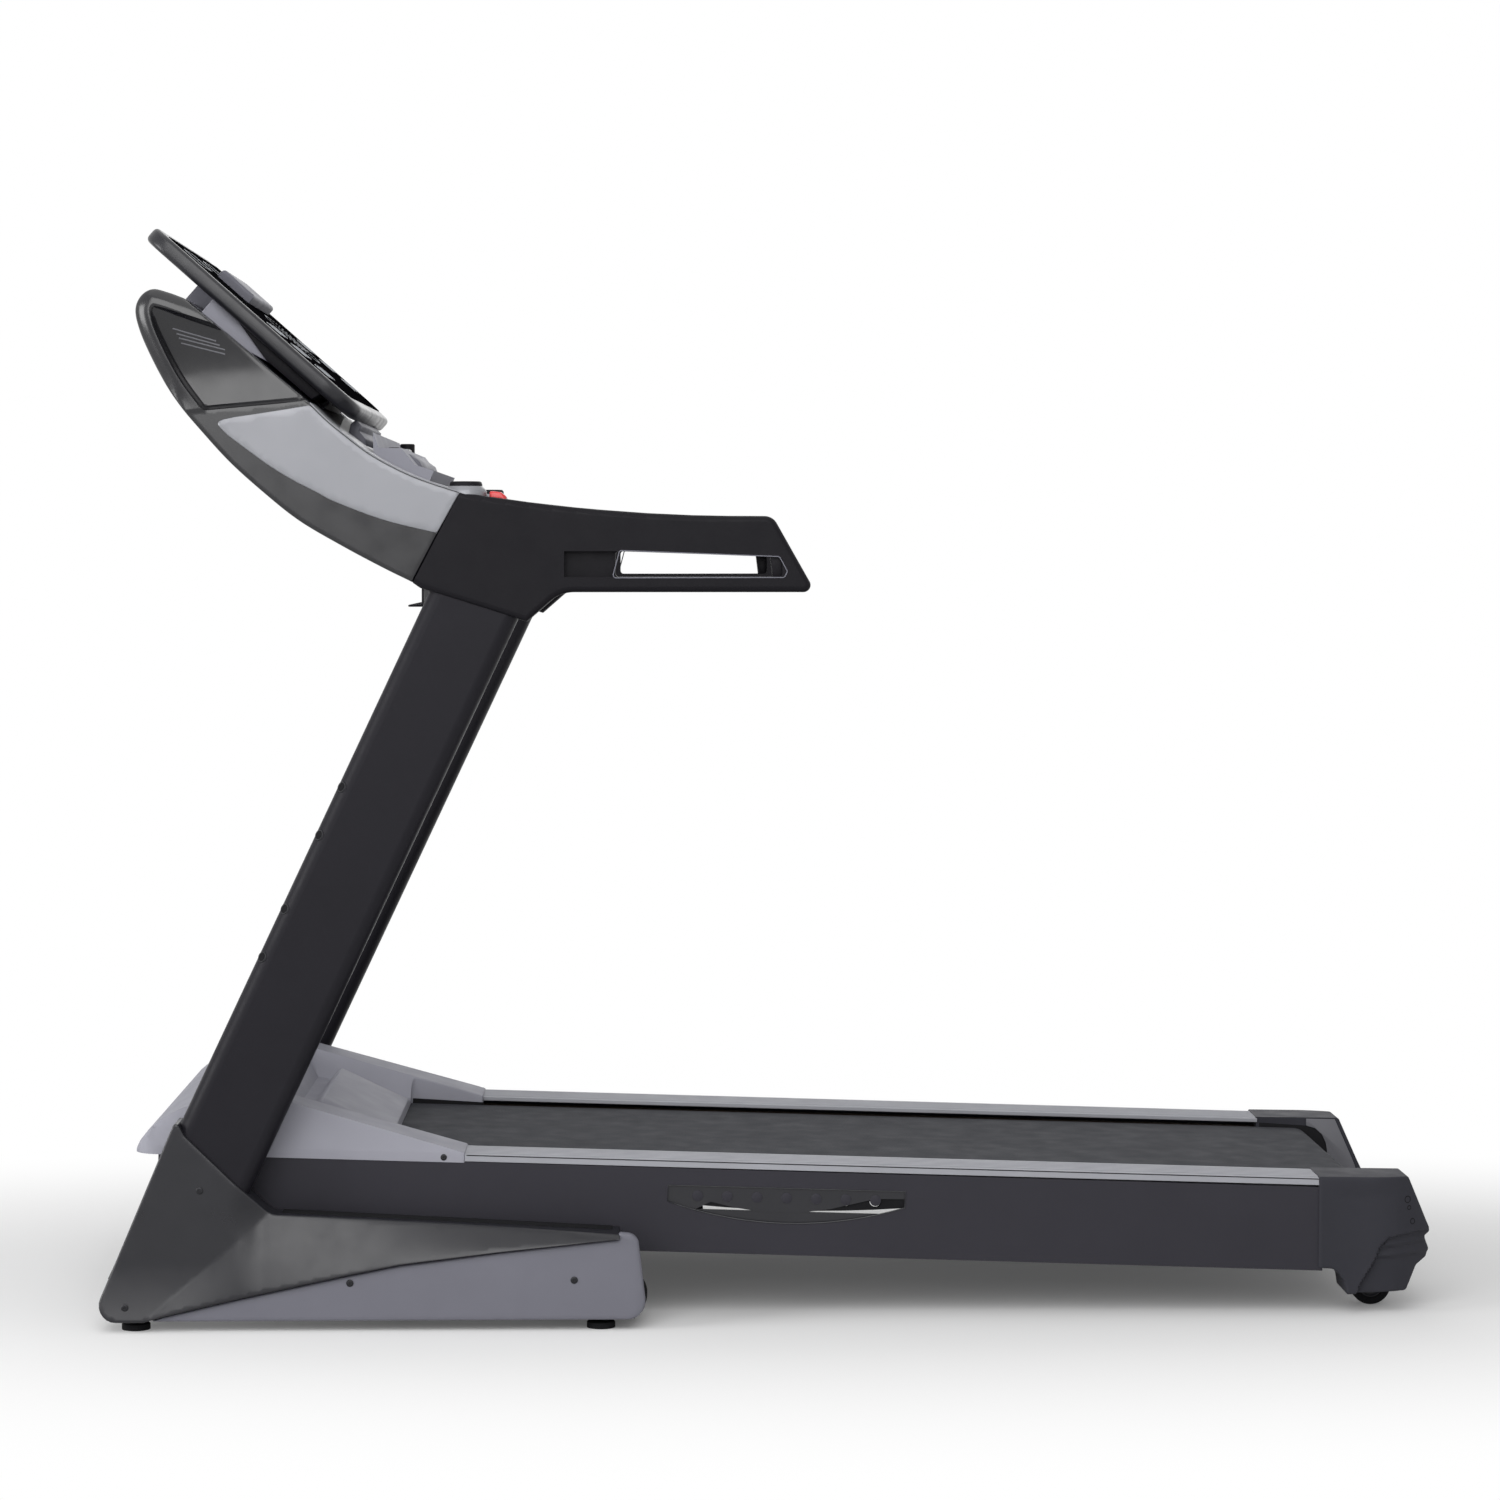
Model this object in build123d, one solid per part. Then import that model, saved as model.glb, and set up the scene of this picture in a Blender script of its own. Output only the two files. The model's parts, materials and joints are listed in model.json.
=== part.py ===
from build123d import *
import math
import os

# Folding motorised treadmill, millimetres, +Z up, rear of the deck towards +X.
# Origin: middle of the footprint, on the floor. Left is -Y, the side of a runner's left hand.

# Fits and clearances
RUN_FIT = 0.05
BODY_GAP = 0.3
KEY_GAP = 0.4

# Base frame
RAIL_FRONT = -918.0
RAIL_REAR = -194.0
RAIL_STEP = 6.0
RAIL_WIDTH = 48.0
RAIL_BOTTOM = 16.0
RAIL_HEIGHT = 56.0
TUBE_WALL = 2.5
CROSS_DEPTH = 44.0
CROSS_HEIGHT = 42.0
FRONT_CROSS_X = -880.0
MIDDLE_CROSS_X = -515.0
REAR_CROSS_X = -290.0
FOOT_FRONT_X = -894.0
FOOT_REAR_X = -242.0
FOOT_RADIUS = 20.0
FOOT_PAD = 9.0
FOOT_ROUND = 2.25
FOOT_STEM_RADIUS = 6.0
CARRY_WHEEL_RADIUS = 34.0
CARRY_WHEEL_WIDTH = 22.0
CARRY_WHEEL_X = -211.0
CARRY_WHEEL_LIFT = 7.0
CARRY_WHEEL_ROUND = 2.75
CARRY_AXLE_RADIUS = 6.0
CARRY_HEAD_RADIUS = 12.0
AXLE_HEAD = 4.0

# Uprights
UPRIGHT_INNER = 374.0
UPRIGHT_THICK = 54.0
UPRIGHT_DEPTH = 128.0
UPRIGHT_ROUND = 20.0
UPRIGHT_LEAN = 25.24
UPRIGHT_MID_X = -612.7
UPRIGHT_MID_Z = 600.0
UPRIGHT_TOP_Z = 1075.0
UPRIGHT_HOLES = (499.0, 563.0, 668.0, 734.0)
UPRIGHT_HOLE_RADIUS = 6.0

# Boot covers round the foot of each upright, and their side panels
BOOT_SIDE = 8.0
BOOT_BULGE = 18.0
BOOT_WALL = 3.0
BOOT_BOTTOM = 18.0
BOOT_FRONT_GAP = 5.0
BOOT_EAR_Z = 299.0
BOOT_NOTCH_X = -817.0
BOOT_NOTCH_Z = 270.0
BOOT_HEEL_X = -711.0
BOOT_HEEL_Z = 163.0
BOOT_TAIL_X = -213.0
BOOT_TAIL_Z = 134.0
BOOT_TOE_ROUND = 38.0
BOOT_HEEL_ROUND = 30.0
BOOT_SHOULDER_OUT = 2.0
BOOT_EAR_OUT = 4.0
BOOT_TOE_CUT = 18.0
BOOT_TOE_X = -905.0
BOOT_TOE_Z = 34.0
BOOT_SLEEVE_GAP = 0.6
BOOT_SCREW_X = -801.0
BOOT_SCREW_Z = 198.0
PANEL_FRONT_X = -868.0
PANEL_FRONT_Z = 24.0
PANEL_MID_X = -522.0
PANEL_MID_Z = 95.0
PANEL_END_X = -180.0
PANEL_END_ROUND = 18.0
PANEL_THICK = 9.0
PANEL_GAP = 2.0
PANEL_BOTTOM = 20.0
COVER_SCREW_RADIUS = 5.0
COVER_SCREW_HEAD = 1.5
PANEL_SCREWS = ((-592.0, 66.0), (-279.0, 70.0))

# Handrails
GRIP_SIDE = 6.0
HANDRAIL_ROUND = 9.0
GRIP_END_X = 48.0
GRIP_END_TOP_X = 0.0
GRIP_TOP_Z = 1139.0
GRIP_BOTTOM_Z = 1033.0
GRIP_END_ROUND = 20.0
GRIP_NECK_X = -296.0
GRIP_NECK_ROUND = 50.0
SLEEVE_REAR_X = -343.0
SLEEVE_REAR_Z = 992.0
SLEEVE_FRONT_X = -491.0
SLEEVE_FRONT_Z = 1039.0
SEAM_LOW_X = -501.0
SEAM_LOW_Z = 1046.0
SEAM_TOP_X = -435.0
SEAM_TOP_Z = 1172.0
GRIP_MID_X = -297.0
GRIP_MID_Z = 1153.0
SLOT_FRONT_X = -220.0
SLOT_REAR_X = 12.0
SLOT_BOTTOM_Z = 1054.0
SLOT_FRONT_Z = 1090.0
SLOT_REAR_Z = 1082.0
SLOT_ROUND = 5.0
SCOOP_FRONT_X = -291.0
SCOOP_DEPTH = 16.0

# Console
CHEEK_STEP = 2.0
CHEEK_THICK = 22.0
TRIM_THICK = 8.0
TRIM_PROUD = 1.0
RECESS_DEPTH = 14.0
CONSOLE_WALL = 4.0
CROWN_X = -893.0
CROWN_Z = 1463.0
CROWN_ROUND = 28.0
HIP_X = -794.0
HIP_Z = 1257.0
BELLY_X = -656.0
BELLY_Z = 1134.0
BROW_X = -819.0
BROW_Z = 1441.0
TRIM_HEAD_X = -642.0
TRIM_HEAD_Z = 1292.0
TRIM_DIP_X = -559.0
TRIM_DIP_Z = 1219.0
TRIM_TIP_X = -771.0
TRIM_TIP_Z = 1266.0
TRIM_LOW_X = -467.0
TRIM_LOW_Z = 1115.0
TRIM_SAG_X = -629.0
TRIM_SAG_Z = 1166.0
RIM_WIDTH = 17.0
BRACE_DEPTH = 22.0
BRACE_WALL = 3.0
BRACE_DROP = 34.0
BRACE_RISE = 30.0
STEP_HALF = 300.0
STEP_TOP_Z = 1236.0
STEP_HEAD_X = -564.0
STEP_HEAD_Z = 1258.0
STEP_FRONT_X = -556.0
STEP_REAR_X = -524.0
STEP_LOW_X = -505.0
STEP_LOW_Z = 1212.0
STEP_END_X = -478.0
STEP_END_Z = 1204.0

# Display
DISPLAY_HALF = 345.0
DISPLAY_LENGTH = 392.0
DISPLAY_THICK = 24.0
DISPLAY_TILT = 41.5
DISPLAY_MID_X = -727.0
DISPLAY_MID_Z = 1408.0
DISPLAY_ROUND = 24.0
DISPLAY_EDGE_ROUND = 5.0
GLASS_THICK = 2.0
GLASS_MARGIN = 26.0
LEDGE_HALF = 150.0
LEDGE_LENGTH = 60.0
LEDGE_PROUD = 15.0
LEDGE_UP = 76.0
LEDGE_ROUND = 5.0
BRACKET_HALF = 140.0
BRACKET_WIDTH = 30.0
BRACKET_UP = 105.0
BRACKET_DOWN = 120.0
BRACKET_REACH = 60.0

# Controls
POD_RADIUS = 29.0
POD_X = -428.0
POD_BASE_Z = 1168.0
POD_TOP_Z = 1189.0
POD_WELL_RADIUS = 20.0
POD_WELL_DEPTH = 3.0
STOP_X = -383.0
STOP_LENGTH = 24.0
STOP_WIDTH = 26.0
STOP_TOP_Z = 1174.0
STOP_BOTTOM_Z = 1156.0
KEY_TRAVEL = 2.0
KEY_ROUND = 2.0
START_HALF = 34.0
START_DEPTH = 22.0
START_PROUD = 5.0
START_SINK = 8.0
SAFETY_RADIUS = 11.0
SAFETY_HEIGHT = 16.0
SAFETY_PLUG_RADIUS = 6.0
SAFETY_PLUG_LENGTH = 16.0
SAFETY_Y = 110.0
INLET_Y = 150.0
INLET_WIDTH = 62.0
INLET_HEIGHT = 30.0
INLET_DEPTH = 14.0
INLET_SOCKET_DEPTH = 10.0
INLET_SOCKET_WIDTH = 27.0
INLET_SOCKET_HEIGHT = 20.0
INLET_BORDER = 4.0
SWITCH_WIDTH = 15.0
SWITCH_LENGTH = 20.0
SWITCH_PROUD = 3.0
SWITCH_SINK = 8.0
SWITCH_SWING = 2.0
SWITCH_PIN_RADIUS = 2.0
SWITCH_PIN_REACH = 3.0
SWITCH_PIN_DEPTH = 3.0
SWITCH_TURN = 8.0

# Deck, in its own frame: origin on the fold shaft, x along the deck, z square to it
FOLD_X = -825.0
FOLD_Z = 175.0
DECK_TILT = 1.8
FOLD_TURN = 62.0
DECK_HALF = 350.0
BEAM_FRONT = -45.0
BEAM_REAR = 1700.0
BEAM_WIDTH = 34.0
BEAM_BOTTOM = -56.0
BEAM_HEIGHT = 120.0
BEAM_WALL = 3.0
WINDOW_FRONT = 677.0
WINDOW_REAR = 1014.0
WINDOW_TOP = 38.0
WINDOW_SHOULDER = 15.0
WINDOW_BOTTOM = -12.0
CUSHION_BAR_THICK = 7.0
CUSHION_BAR_DROP = 24.0
CUSHION_BAR_ARCH = 8.0
CUSHION_HOLES = 7
CUSHION_HOLE_RADIUS = 8.0
FOOT_RAIL_GAP = 6.0
FOOT_RAIL_RISE = 10.0
FOOT_RAIL_PLATE = 6.0
FOOT_RAIL_ROUND = 1.2
RIB_COUNT = 6
RIB_HEIGHT = 1.2
RIB_WIDTH = 6.0
RIB_PITCH = 12.0
MEMBER_DEPTH = 25.0
MEMBER_HEIGHT = 20.0
MEMBERS_X = (420.0, 640.0, 1060.0, 1480.0)
BELLY_MEMBER_X = 700.0
BELLY_MEMBER_Z = -50.0
BELLY_MEMBER_SIZE = 30.0
BAY_MEMBER_X = 150.0
BAY_MEMBER_BOTTOM = 4.0
BAY_MEMBER_DEPTH = 30.0
BAY_MEMBER_HEIGHT = 18.0
BOARD_FRONT_GAP = 48.0
BOARD_REAR_GAP = 38.0
BOARD_SIDE_GAP = 16.0
BOARD_THICK = 18.0
CUSHION_SIZE = 36.0
CUSHION_HEIGHT = 8.3
CUSHION_INSET = 65.0

# Rollers and running belt
ROLLER_RADIUS = 24.0
ROLLER_DROP = 29.0
FRONT_ROLLER_X = 262.0
REAR_ROLLER_BACK = 40.0
ROLLER_SPARE = 6.0
ROLLER_AXLE_RADIUS = 8.5
BELT_HALF = 256.0
BELT_THICK = 2.5
PULLEY_GAP = 8.0
PULLEY_WIDTH = 20.0
ROLLER_PULLEY_RADIUS = 28.0
MOTOR_PULLEY_RADIUS = 16.0
DRIVE_BELT_THICK = 4.0
TENSION_BOLT_RADIUS = 4.0
TENSION_BOLT_INSET = 36.0
TENSION_HEAD_RADIUS = 7.0

# Motor bay
PAN_SIDE_GAP = 7.0
PAN_BOTTOM = 16.0
PAN_THICK = 3.0
PAN_FRONT_HEIGHT = 40.0
MOTOR_X = 92.0
MOTOR_FOOT = 4.0
MOTOR_ROUND = 4.0
MOTOR_RADIUS = 48.0
MOTOR_HALF = 105.0
MOTOR_SHAFT_RADIUS = 8.0
FLYWHEEL_RADIUS = 46.0
FLYWHEEL_WIDTH = 18.0
CONTROLLER_LENGTH = 110.0
CONTROLLER_WIDTH = 90.0
CONTROLLER_HEIGHT = 42.0
CONTROLLER_MARGIN = 8.0

# Motor hood
HOOD_SIDE = 1.0
HOOD_WALL = 3.0
HOOD_NOSE_X = -79.0
HOOD_NOSE_Z = 40.0
HOOD_BROW_X = -30.0
HOOD_BROW_RISE = 54.0
HOOD_CREST_X = 75.0
HOOD_CREST_RISE = 92.0
HOOD_EAR_X = 388.0
HOOD_EAR_RISE = 18.0
HOOD_DIP_OVER = 20.0
HOOD_DIP_RISE = 20.0
HOOD_DIP_GAP = 12.0
HOOD_DIP_START = 105.0
HOOD_DOME_HALF = 170.0
HOOD_DOME_FRONT = 120.0
HOOD_DOME_REAR = 262.0
HOOD_DOME_RISE = 16.0
HOOD_DOME_ROUND = 15.0
HOOD_BOW = 4.0
HOOD_LIP_RISE = 8.0
HOOD_SKIRT_Z = 26.0

# Rear caps, rear wheels and rear guard
CAP_COVER = 96.0
CAP_BELT_GAP = 8.0
CAP_SIDE = 4.0
CAP_WALL = 3.0
CAP_TOP_OVER = 22.0
CAP_LIP_OVER = 67.5
CAP_LIP_Z = -8.0
CAP_HEEL_OVER = 45.0
CAP_CORNER_ROUND = 24.0
CAP_CHIN_Z = -40.0
CAP_GROOVE = 2.0
CAP_GROOVE_WIDTH = 4.0
CAP_GROOVES_Z = (-14.0, -30.0)
HOUSING_WALL = 4.0
HOUSING_INSET = 3.0
HOUSING_AHEAD = 57.0
HOUSING_BEHIND = 29.0
HOUSING_CLEAR = 30.0
HOUSING_ROUND = 10.0
WHEEL_BACK = 1.0
WHEEL_RADIUS = 29.0
WHEEL_WIDTH = 26.0
WHEEL_ROUND = 3.0
WHEEL_INSET = 18.0
WHEEL_AXLE_RADIUS = 5.0
WHEEL_AXLE_SEAT = 3.0
WHEEL_POCKET_GAP = 3.0
GUARD_OVER = 8.0
GUARD_THICK = 14.0
GUARD_BOTTOM = -46.0
GUARD_TOP = 44.0
GUARD_ROUND = 6.0

# Lift frame, which carries the fold shaft
LIFT_X = -290.0
LIFT_Z = 88.0
ARM_GAP = 10.0
ARM_WIDTH = 32.0
ARM_HEIGHT = 40.0
ARM_WALL = 3.0
LIFT_PIN_RADIUS = 10.0
FOLD_SHAFT_RADIUS = 12.0
FOLD_SHAFT_SEAT = 7.0
BOSS_SIZE = 44.0
LUG_THICK = 6.0
LUG_GAP = 1.0
LUG_ROUND = 20.0
CROSS_TUBE_RADIUS = 16.0
REAR_TUBE_ALONG = 46.0
YOKE_PLATE = 8.0
YOKE_HALF = 22.0
YOKE_TUBE_X = 28.0
YOKE_TUBE_Z = -96.0
CRANK_LENGTH = 56.0
CRANK_THICK = 8.0
CRANK_ROUND = 13.0
CRANK_Y = -150.0
CRANK_SPREAD = 30.0
CRANK_PIN_RADIUS = 6.0
CRANK_SLOT_SLACK = 0.5
CRANK_SLOT_LENGTH = 4.0
DECK_INCLINE = 5.2

# Incline drive on the middle cross tube
INCLINE_BODY_LENGTH = 90.0
INCLINE_BODY_WIDTH = 70.0
INCLINE_BODY_ROOF = 19.0
INCLINE_ROUND = 4.0
INCLINE_END_WALL = 18.0
INCLINE_MOTOR_RADIUS = 32.0
INCLINE_MOTOR_LENGTH = 74.0
INCLINE_MOTOR_DROP = 46.0
INCLINE_GUIDE_RADIUS = 16.0
INCLINE_GUIDE_LENGTH = 60.0
SCREW_RADIUS = 9.0

# Gas spring between the yoke and the deck
SPRING_ARM = 105.0
SPRING_ANGLE = 50.0
SPRING_FAR_X = 645.0
SPRING_FAR_Z = -25.0
SPRING_RADIUS = 11.0
SPRING_ROD_RADIUS = 5.0
SPRING_LENGTH = 330.0
SPRING_OVERLAP = 192.0
SPRING_EYE_RADIUS = 12.0
SPRING_EYE_HALF = 9.0
SPRING_PIN_RADIUS = 6.0
SPRING_LUG_INNER = 11.0
SPRING_LUG_HALF = 18.0
SPRING_BOLT_RADIUS = 9.0

# Derived places, across
UPRIGHT_OUTER = UPRIGHT_INNER + UPRIGHT_THICK
UPRIGHT_MID_Y = UPRIGHT_INNER + UPRIGHT_THICK / 2
RAIL_INNER = UPRIGHT_INNER + RAIL_STEP
RAIL_OUTER = RAIL_INNER + RAIL_WIDTH
BOOT_INNER = UPRIGHT_INNER - BOOT_SIDE
BOOT_OUTER = UPRIGHT_OUTER + BOOT_BULGE
BOOT_SHOULDER = UPRIGHT_OUTER + BOOT_SHOULDER_OUT
BOOT_EAR = UPRIGHT_OUTER + BOOT_EAR_OUT
PANEL_FACE = RAIL_OUTER + PANEL_THICK
HANDRAIL_INNER = UPRIGHT_INNER - GRIP_SIDE
HANDRAIL_OUTER = UPRIGHT_OUTER + GRIP_SIDE
CHEEK_OUTER = HANDRAIL_OUTER - CHEEK_STEP
CONSOLE_HALF = CHEEK_OUTER - CHEEK_THICK
POD_Y = UPRIGHT_MID_Y
BEAM_INNER = DECK_HALF - BEAM_WIDTH
WEB_INNER = DECK_HALF - BEAM_WALL
HOOD_HALF = DECK_HALF + HOOD_SIDE
CAP_OUTER = DECK_HALF + CAP_SIDE
CAP_INNER = BELT_HALF + CAP_BELT_GAP
FOOT_RAIL_INNER = BELT_HALF + FOOT_RAIL_GAP
HOOD_DIP_HALF = BELT_HALF + HOOD_DIP_GAP
ROLLER_HALF = BELT_HALF + ROLLER_SPARE
PULLEY_INNER = ROLLER_HALF + PULLEY_GAP
PULLEY_OUTER = PULLEY_INNER + PULLEY_WIDTH
TENSION_BOLT_Y = CAP_INNER + TENSION_BOLT_INSET
WHEEL_Y = CAP_INNER - WHEEL_INSET
HOUSING_INNER = WHEEL_Y - WHEEL_WIDTH / 2 - WHEEL_POCKET_GAP - HOUSING_WALL
BOARD_HALF = BEAM_INNER - BOARD_SIDE_GAP
CUSHION_Y = BOARD_HALF - CUSHION_INSET
ARM_OUTER = BEAM_INNER - ARM_GAP
ARM_INNER = ARM_OUTER - ARM_WIDTH
YOKE_OUTER = ARM_INNER - LUG_GAP
YOKE_INNER = YOKE_OUTER - YOKE_PLATE
PAN_HALF = YOKE_INNER - PAN_SIDE_GAP
CONTROLLER_Y = CONTROLLER_MARGIN + CONTROLLER_WIDTH / 2 - PAN_HALF
FOLD_SHAFT_HALF = WEB_INNER - FOLD_SHAFT_SEAT

# Derived places, along and up
LEAN = math.radians(UPRIGHT_LEAN)
TILT = math.radians(DECK_TILT)
RAIL_TOP = RAIL_BOTTOM + RAIL_HEIGHT
BEAM_TOP = BEAM_BOTTOM + BEAM_HEIGHT
FOOT_RAIL_TOP = BEAM_TOP + FOOT_RAIL_RISE
ROLLER_Z = BEAM_TOP - ROLLER_DROP
BELT_INNER_RADIUS = ROLLER_RADIUS + BODY_GAP
BELT_OUTER_RADIUS = BELT_INNER_RADIUS + BELT_THICK
BOARD_TOP = ROLLER_Z + BELT_INNER_RADIUS
MEMBER_TOP = BOARD_TOP - BOARD_THICK - CUSHION_HEIGHT
MEMBER_BOTTOM = MEMBER_TOP - MEMBER_HEIGHT
MOTOR_Z = PAN_BOTTOM + PAN_THICK + MOTOR_FOOT + MOTOR_RADIUS
HOOD_BROW_Z = BEAM_TOP + HOOD_BROW_RISE
HOOD_CREST_Z = BEAM_TOP + HOOD_CREST_RISE
HOOD_DIP_Z = BEAM_TOP + HOOD_DIP_RISE
HOOD_LIP_Z = BEAM_TOP + HOOD_LIP_RISE
HOOD_EAR_Z = FOOT_RAIL_TOP + HOOD_EAR_RISE
HOOD_DIP_X = FRONT_ROLLER_X + HOOD_DIP_OVER
FOOT_RAIL_FRONT = HOOD_EAR_X
REAR_ROLLER_X = BEAM_REAR - REAR_ROLLER_BACK
BOARD_FRONT = FRONT_ROLLER_X + BOARD_FRONT_GAP
BOARD_REAR = REAR_ROLLER_X - BOARD_REAR_GAP
CAP_FRONT = BEAM_REAR - CAP_COVER
CAP_TOP_REAR = BEAM_REAR + CAP_TOP_OVER
CAP_LIP_X = BEAM_REAR + CAP_LIP_OVER
CAP_HEEL_X = BEAM_REAR + CAP_HEEL_OVER
GUARD_X = BEAM_REAR + GUARD_OVER
WHEEL_X = BEAM_REAR - WHEEL_BACK
HOUSING_FRONT = WHEEL_X - HOUSING_AHEAD
HOUSING_REAR = WHEEL_X + HOUSING_BEHIND
WHEEL_Z = (WHEEL_RADIUS - FOLD_Z + WHEEL_X * math.sin(TILT)) / math.cos(TILT)
HOUSING_BOTTOM = (HOUSING_CLEAR - FOLD_Z + WHEEL_X * math.sin(TILT)) / math.cos(TILT)
DECK_PLACE = Location((FOLD_X, 0, FOLD_Z), (0, DECK_TILT, 0))
DISPLAY_PLACE = Location((DISPLAY_MID_X, 0, DISPLAY_MID_Z), (0, DISPLAY_TILT, 0))


def world(x, z):
    """A point of the deck's own frame, in the part's frame."""
    return (FOLD_X + x * math.cos(TILT) + z * math.sin(TILT),
            FOLD_Z - x * math.sin(TILT) + z * math.cos(TILT))


def lift_travel():
    """Turn of the lift frame, in radians, that tips the deck by DECK_INCLINE with its wheels down."""
    steep = TILT + math.radians(DECK_INCLINE)
    raised = WHEEL_RADIUS + WHEEL_X * math.sin(steep) - WHEEL_Z * math.cos(steep)
    reach = math.hypot(FOLD_X - LIFT_X, FOLD_Z - LIFT_Z)
    start = math.asin((FOLD_Z - LIFT_Z) / reach)
    return math.asin((raised - LIFT_Z) / reach) - start


LIFT_REACH = math.hypot(FOLD_X - LIFT_X, FOLD_Z - LIFT_Z)
LIFT_START = math.asin((FOLD_Z - LIFT_Z) / LIFT_REACH)
LIFT_TURN = lift_travel()
CRANK_LEAN = LIFT_TURN / 2
CRANK_END_X = LIFT_X - CRANK_LENGTH * math.sin(CRANK_LEAN)
CRANK_END_Z = LIFT_Z + CRANK_LENGTH * math.cos(CRANK_LEAN)
SPRING_DROP = math.radians(SPRING_ANGLE) + TILT
SPRING_NEAR = (FOLD_X + SPRING_ARM * math.cos(SPRING_DROP), FOLD_Z - SPRING_ARM * math.sin(SPRING_DROP))


def spring_line(fold_degrees):
    """Length and slope of the gas spring at a fold angle."""
    turn = math.radians(fold_degrees)
    reach = math.hypot(SPRING_FAR_X, SPRING_FAR_Z)
    angle = math.atan2(SPRING_FAR_Z, SPRING_FAR_X) - TILT + turn
    run = FOLD_X + reach * math.cos(angle) - SPRING_NEAR[0]
    rise = FOLD_Z + reach * math.sin(angle) - SPRING_NEAR[1]
    return math.hypot(run, rise), math.atan2(rise, run)


SPRING_REST_LENGTH, SPRING_REST_SLOPE = spring_line(0)
SPRING_PLACE = Location((SPRING_NEAR[0], 0, SPRING_NEAR[1]), (0, -math.degrees(SPRING_REST_SLOPE), 0))


def upright_x(z, side=0.0):
    """X of the upright's centre line at a height, or of an edge that far in front of or behind it."""
    return UPRIGHT_MID_X + (z - UPRIGHT_MID_Z) * math.tan(LEAN) + side / math.cos(LEAN)


def outline(*points):
    """A face with straight edges through the points."""
    return make_face(Polyline(*points, close=True))


def prism(face, y_low, y_high):
    """A side outline (x, z) carried from one Y to another."""
    return Pos(0, y_high, 0) * extrude(Plane.XZ * face, y_high - y_low)


def block(x_low, x_high, y_low, y_high, z_low, z_high):
    """A box between two corners."""
    middle = Pos((x_low + x_high) / 2, (y_low + y_high) / 2, (z_low + z_high) / 2)
    return middle * Box(x_high - x_low, y_high - y_low, z_high - z_low)


def rod_y(x, z, radius, y_low, y_high):
    """A round bar along Y."""
    return Pos(x, (y_low + y_high) / 2, z) * Rot(90, 0, 0) * Cylinder(radius, y_high - y_low)


def rod_x(y, z, radius, x_low, x_high):
    """A round bar along X."""
    return Pos((x_low + x_high) / 2, y, z) * Rot(0, 90, 0) * Cylinder(radius, x_high - x_low)


def rod_z(x, y, radius, z_low, z_high):
    """A round bar along Z."""
    return Pos(x, y, (z_low + z_high) / 2) * Cylinder(radius, z_high - z_low)


def right(shape):
    """The same piece on the right side."""
    return mirror(shape, Plane.XZ)


def pair(shape):
    """The left piece and its right twin."""
    return [shape, right(shape)]


def save(name, *shapes):
    """Write the solids of one node."""
    solids = [solid for shape in shapes for solid in shape.solids()]
    export_step(solids[0] if len(solids) == 1 else Compound(solids), f"parts/{name}.step")


# Base frame

CARRY_WHEEL_Z = CARRY_WHEEL_RADIUS + CARRY_WHEEL_LIFT
CARRY_WHEEL_OUTER = RAIL_INNER - LUG_GAP
CARRY_WHEEL_INNER = CARRY_WHEEL_OUTER - CARRY_WHEEL_WIDTH
CROSS_TOP = RAIL_BOTTOM + CROSS_HEIGHT


def base_rail():
    """Left floor rail, a square tube closed at both ends, bored for the carry wheel's axle."""
    outer = block(RAIL_FRONT, RAIL_REAR, -RAIL_OUTER, -RAIL_INNER, RAIL_BOTTOM, RAIL_TOP)
    inner = block(RAIL_FRONT + TUBE_WALL, RAIL_REAR - TUBE_WALL, TUBE_WALL - RAIL_OUTER,
                  -RAIL_INNER - TUBE_WALL, RAIL_BOTTOM + TUBE_WALL, RAIL_TOP - TUBE_WALL)
    return outer - inner - carry_axle()


def carry_rod(radius, y_low, y_high):
    """A round bar on the left carry wheel's axis."""
    return rod_y(CARRY_WHEEL_X, CARRY_WHEEL_Z, radius, y_low, y_high)


def carry_axle():
    """Bolt that carries the left carry wheel on the rail's inner wall."""
    neck_end = BODY_GAP - CARRY_WHEEL_INNER
    shank = carry_rod(CARRY_AXLE_RADIUS, -RAIL_INNER - TUBE_WALL, neck_end)
    return shank + carry_rod(CARRY_HEAD_RADIUS, neck_end, neck_end + AXLE_HEAD)


def carry_wheel():
    """Left wheel for rolling the folded treadmill away."""
    tyre = carry_rod(CARRY_WHEEL_RADIUS, -CARRY_WHEEL_OUTER, -CARRY_WHEEL_INNER)
    tyre = fillet(tyre.edges().filter_by(GeomType.CIRCLE), CARRY_WHEEL_ROUND)
    return tyre - carry_rod(CARRY_AXLE_RADIUS + RUN_FIT, -CARRY_WHEEL_OUTER, -CARRY_WHEEL_INNER)


def cross_tube(x):
    """Tube between the two floor rails."""
    half = CROSS_DEPTH / 2
    outer = block(x - half, x + half, -RAIL_INNER, RAIL_INNER, RAIL_BOTTOM, CROSS_TOP)
    inner = block(x - half + TUBE_WALL, x + half - TUBE_WALL, -RAIL_INNER, RAIL_INNER,
                  RAIL_BOTTOM + TUBE_WALL, CROSS_TOP - TUBE_WALL)
    return outer - inner


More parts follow.
